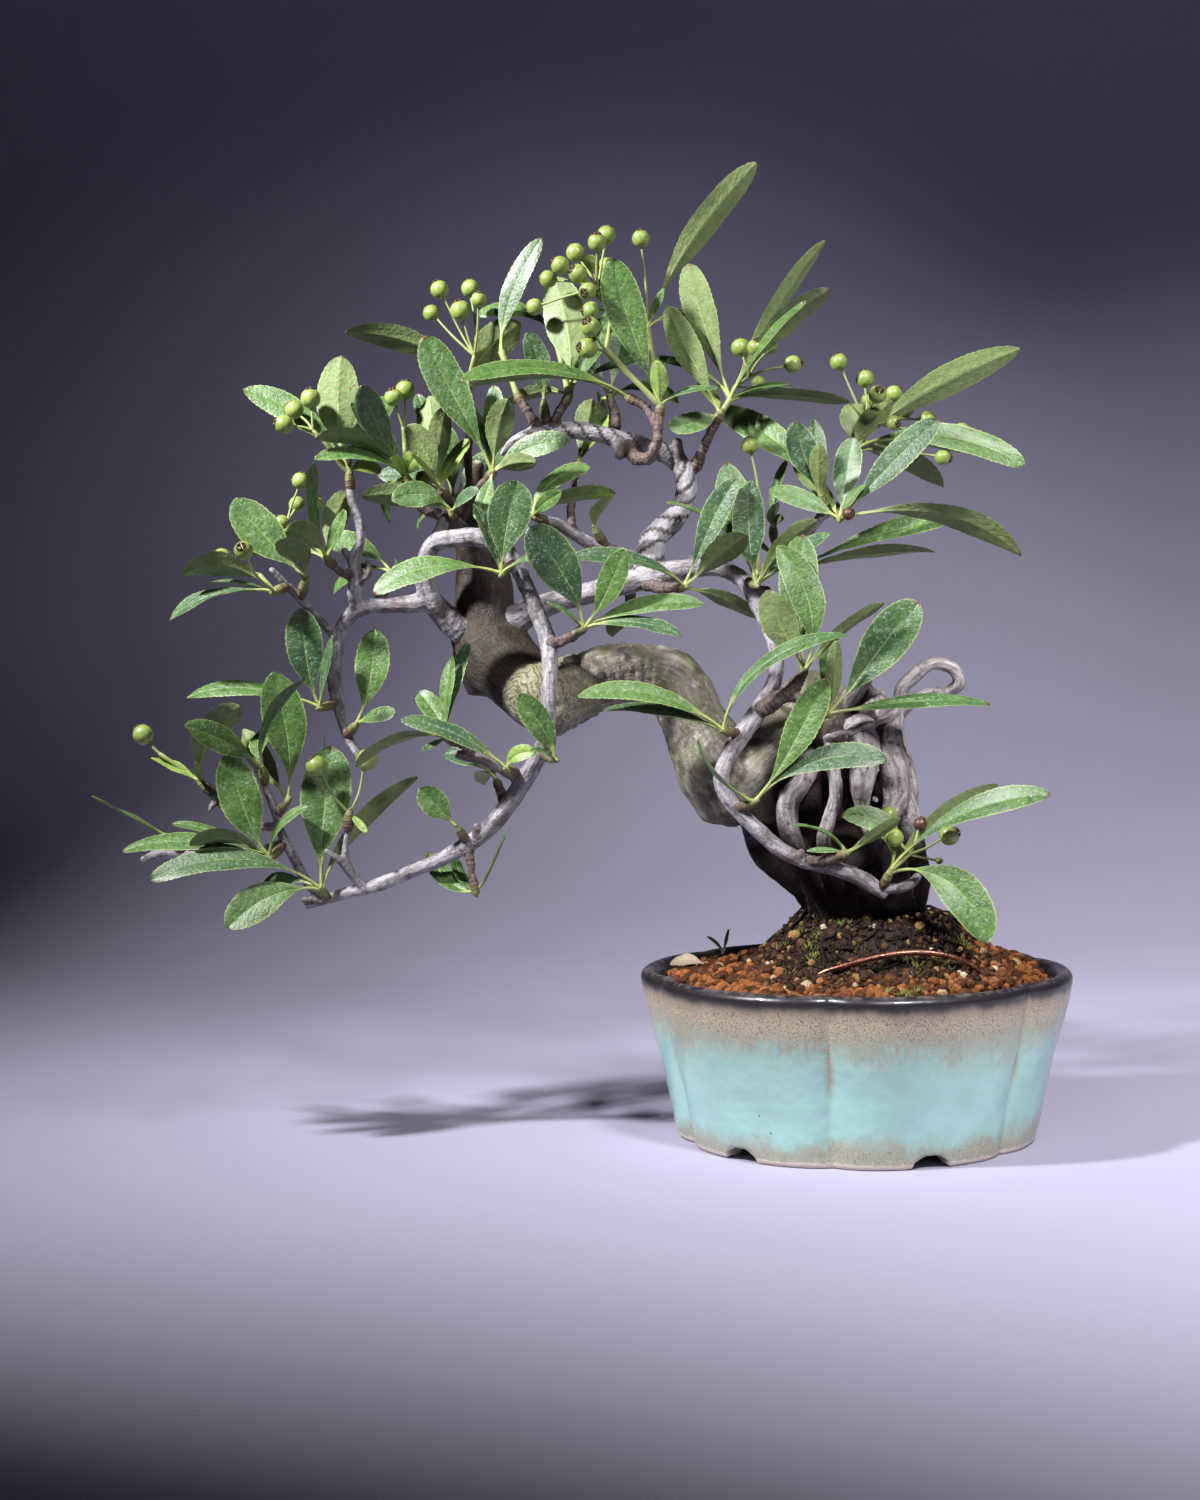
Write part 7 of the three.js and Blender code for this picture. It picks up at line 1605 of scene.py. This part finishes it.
class BonsaiWood(bpy.types.Operator):
    """Grow the bark of the trunk, the raised roots and the branches"""
    bl_idname = "bonsai.wood"
    bl_label = "Trunk, roots and branches"

    def execute(self, context):
        looks = context.scene.bonsai_wood
        thick, thin = limb_list()
        material = bark_finish(looks)
        bark_piece("trunk_bark", thick, looks.trunk_voxel, looks, material)
        bark_piece("branch_bark", thin, looks.branch_voxel, looks, material)
        return {"FINISHED"}


class BonsaiSprays(bpy.types.Operator):
    """Grow the leaves, buds, stalks and berries of every spur"""
    bl_idname = "bonsai.sprays"
    bl_label = "Leaves and berries"

    def execute(self, context):
        looks = context.scene.bonsai_leaves
        finishes = [leaf_finish(looks), stalk_finish(), berry_finish(looks), calyx_finish(), down_finish(),
                    bud_finish()]
        nodes = [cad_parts["spray_" + name].data for name in SPRAYS]
        corners = [np.array([v.co for v in node.vertices]) / MM for node in nodes]
        taken = np.vstack(corners)
        for number, (name, spray) in enumerate(SPRAYS.items()):
            chance = np.random.default_rng(SPRAY_SEED + number)
            skin = Skin(*LEAF_MARKS)
            self.fill(skin, spray, looks, chance, corners[number], taken)
            skin.piece("leaves_" + name, finishes, ["spray_" + name], "rim")
        return {"FINISHED"}

    def fill(self, skin, spray, looks, chance, corners, taken):
        """Adds every member of a spray, each moved in depth as in the frame, or to where it is free."""
        members = {"leaves": [], "berries": [], "stalks": [], "shoots": []}
        bud = first_bud(spray["stem"])
        grow(bud, spray, members)
        add_bud(skin, bud, chance)
        for joints in members["stalks"]:
            if len(joints) > 1:
                knots = [[*at, 0.62 - 0.05 * k] for k, at in enumerate(joints)]
                skin.tube(knots, 9, 5, STALK, tone=chance.random())
        for start, end in members["shoots"]:
            bulge = [[*start, 0.85], [*(start + (end - start) * 0.5), 0.72], [*end, 0.95]]
            skin.tube(bulge, 10, 5, STALK, tone=chance.random())
        for at, leaf, sure in members["leaves"]:
            if sure:
                shift = frame_shift(corners, lambda s: leaf_line(at, leaf, s, 2)[0][-1])
            else:
                shift = free_shift(taken, lambda s: leaf_line(at, leaf, s, 9)[0][4:], 2.5)
            add_leaf(skin, looks, at, leaf, shift, chance, listed(leaf, YOUNG_TIPS))
        for at, joints, berry, sure in members["berries"]:
            radius = berry[3]

            def apex(s):
                _, centre, outward = berry_spots(joints, berry, at["depth"], s)
                return centre + outward * radius * 0.95

            if sure:
                shift = frame_shift(corners, apex)
            else:
                shift = free_shift(taken, lambda s: apex(s)[None], radius + 1.5)
            spots = berry_spots(joints, berry, at["depth"], shift)
            add_berry(skin, looks, *spots, radius, chance, listed(berry, DRIED_BERRIES))


class BonsaiStage(bpy.types.Operator):
    """Set up the pale floor, the soft studio light and the camera"""
    bl_idname = "bonsai.stage"
    bl_label = "Floor, light and camera"

    def execute(self, context):
        scene = context.scene
        looks = scene.bonsai_stage
        self.make_paper(scene)
        # Place, aim, width, spread in degrees, power and colour
        self.make_lamp(scene, "key_light", (0.246, -0.473, 0.598), (0.374, 0.046, 0.05), 0.12, 75,
                       looks.key_power, (1.0, 0.98, 0.98))
        self.make_lamp(scene, "second_light", (-0.31, -0.20, 0.46), (0.092, 0.127, 0.05), 0.04, 77,
                       looks.fill_power, (1.0, 0.98, 0.99))
        self.make_lamp(scene, "wall_light", (0.32, 0.257, 0.702), (-0.10, 0.89, 0.021), 0.10, 53,
                       looks.wall_power, (1.0, 0.98, 1.0))
        world = bpy.data.worlds.new("studio")
        scene.world = world
        world.use_nodes = True
        world.node_tree.nodes["Background"].inputs[0].default_value = (0.56, 0.54, 0.84, 1)
        world.node_tree.nodes["Background"].inputs[1].default_value = 0.05
        self.make_camera(scene)
        scene.view_settings.view_transform = "Standard"
        return {"FINISHED"}

    def make_lamp(self, scene, name, spot, aim, width, spread, power, colour):
        """Hangs a square lamp at a spot, turned to its aim."""
        lamp = bpy.data.lights.new(name, "AREA")
        lamp.size, lamp.energy, lamp.color, lamp.spread = width, power, colour, math.radians(spread)
        holder = bpy.data.objects.new(name, lamp)
        holder.location = spot
        holder.visible_camera = False
        holder.rotation_euler = (Vector(aim) - Vector(spot)).to_track_quat("-Z", "Y").to_euler()
        scene.collection.objects.link(holder)

    def make_paper(self, scene):
        """Lays one sheet as the floor and, past a bend, as the wall."""
        bend, wall = 0.60, 0.89
        line = [(y, 0) for y in (-1.6, -0.8, -0.3, 0, 0.2, wall - bend)]
        line += [(wall - bend + bend * math.sin(a), bend - bend * math.cos(a))
                 for a in np.radians(np.arange(6, 91, 6))]
        line += [(wall, 1.2), (wall, 2.1)]
        spots = [(x, y, z) for y, z in line for x in (-2.2, 2.2)]
        faces = [(2 * k, 2 * k + 1, 2 * k + 3, 2 * k + 2) for k in range(len(line) - 1)]
        mesh = bpy.data.meshes.new("paper")
        mesh.from_pydata(spots, [], faces)
        mesh.shade_smooth()
        mesh.materials.append(paper_finish(scene.bonsai_stage))
        paper = bpy.data.objects.new("paper", mesh)
        scene.collection.objects.link(paper)

    def make_camera(self, scene):
        """Puts the camera at the eye, looking down and tilted a little."""
        lens = bpy.data.cameras.new("camera")
        lens.lens, lens.sensor_width, lens.sensor_fit = LENS, SENSOR, "AUTO"
        lens.clip_start, lens.clip_end = 0.05, 10
        camera = bpy.data.objects.new("camera", lens)
        scene.collection.objects.link(camera)
        ahead = Vector((0, math.cos(LOOK_DOWN), -math.sin(LOOK_DOWN)))
        up = Vector((0, math.sin(LOOK_DOWN), math.cos(LOOK_DOWN)))
        right = Vector((1, 0, 0))
        level_right = right * math.cos(TILT) - up * math.sin(TILT)
        level_up = right * math.sin(TILT) + up * math.cos(TILT)
        turn = Matrix((level_right, level_up, -ahead)).transposed()
        camera.matrix_world = Matrix.Translation(Vector(SIGHT) * MM) @ turn.to_4x4()
        scene.camera = camera


class BonsaiPanel(bpy.types.Panel):
    """Lists the pieces of the bonsai and what can be changed"""
    bl_idname = "VIEW3D_PT_bonsai"
    bl_label = "Bonsai"
    bl_space_type = "VIEW_3D"
    bl_region_type = "UI"
    bl_category = "Bonsai"

    def draw(self, context):
        for operator in OPERATORS:
            self.layout.operator(operator.bl_idname, text=operator.bl_label)
        for name, group in GROUPS.items():
            box = self.layout.box()
            for key in group.__annotations__:
                box.prop(getattr(context.scene, name), key)


GROUPS = {
    "bonsai_wood": BonsaiWoodLooks, "bonsai_leaves": BonsaiLeafLooks, "bonsai_soil": BonsaiSoilLooks,
    "bonsai_pot": BonsaiPotLooks, "bonsai_stage": BonsaiStageLooks,
}
OPERATORS = [BonsaiStage, BonsaiPot, BonsaiWood, BonsaiSoil, BonsaiSmallThings, BonsaiSprays]


def register():
    for group in (*GROUPS.values(), *OPERATORS, BonsaiPanel):
        bpy.utils.register_class(group)
    for name, group in GROUPS.items():
        setattr(bpy.types.Scene, name, bpy.props.PointerProperty(type=group))


def unregister():
    for name in GROUPS:
        delattr(bpy.types.Scene, name)
    for group in reversed((*GROUPS.values(), *OPERATORS, BonsaiPanel)):
        bpy.utils.unregister_class(group)


def main():
    register()
    for operator in OPERATORS:
        getattr(bpy.ops.bonsai, operator.bl_idname.split(".")[1])()


if __name__ == "__main__":
    main()
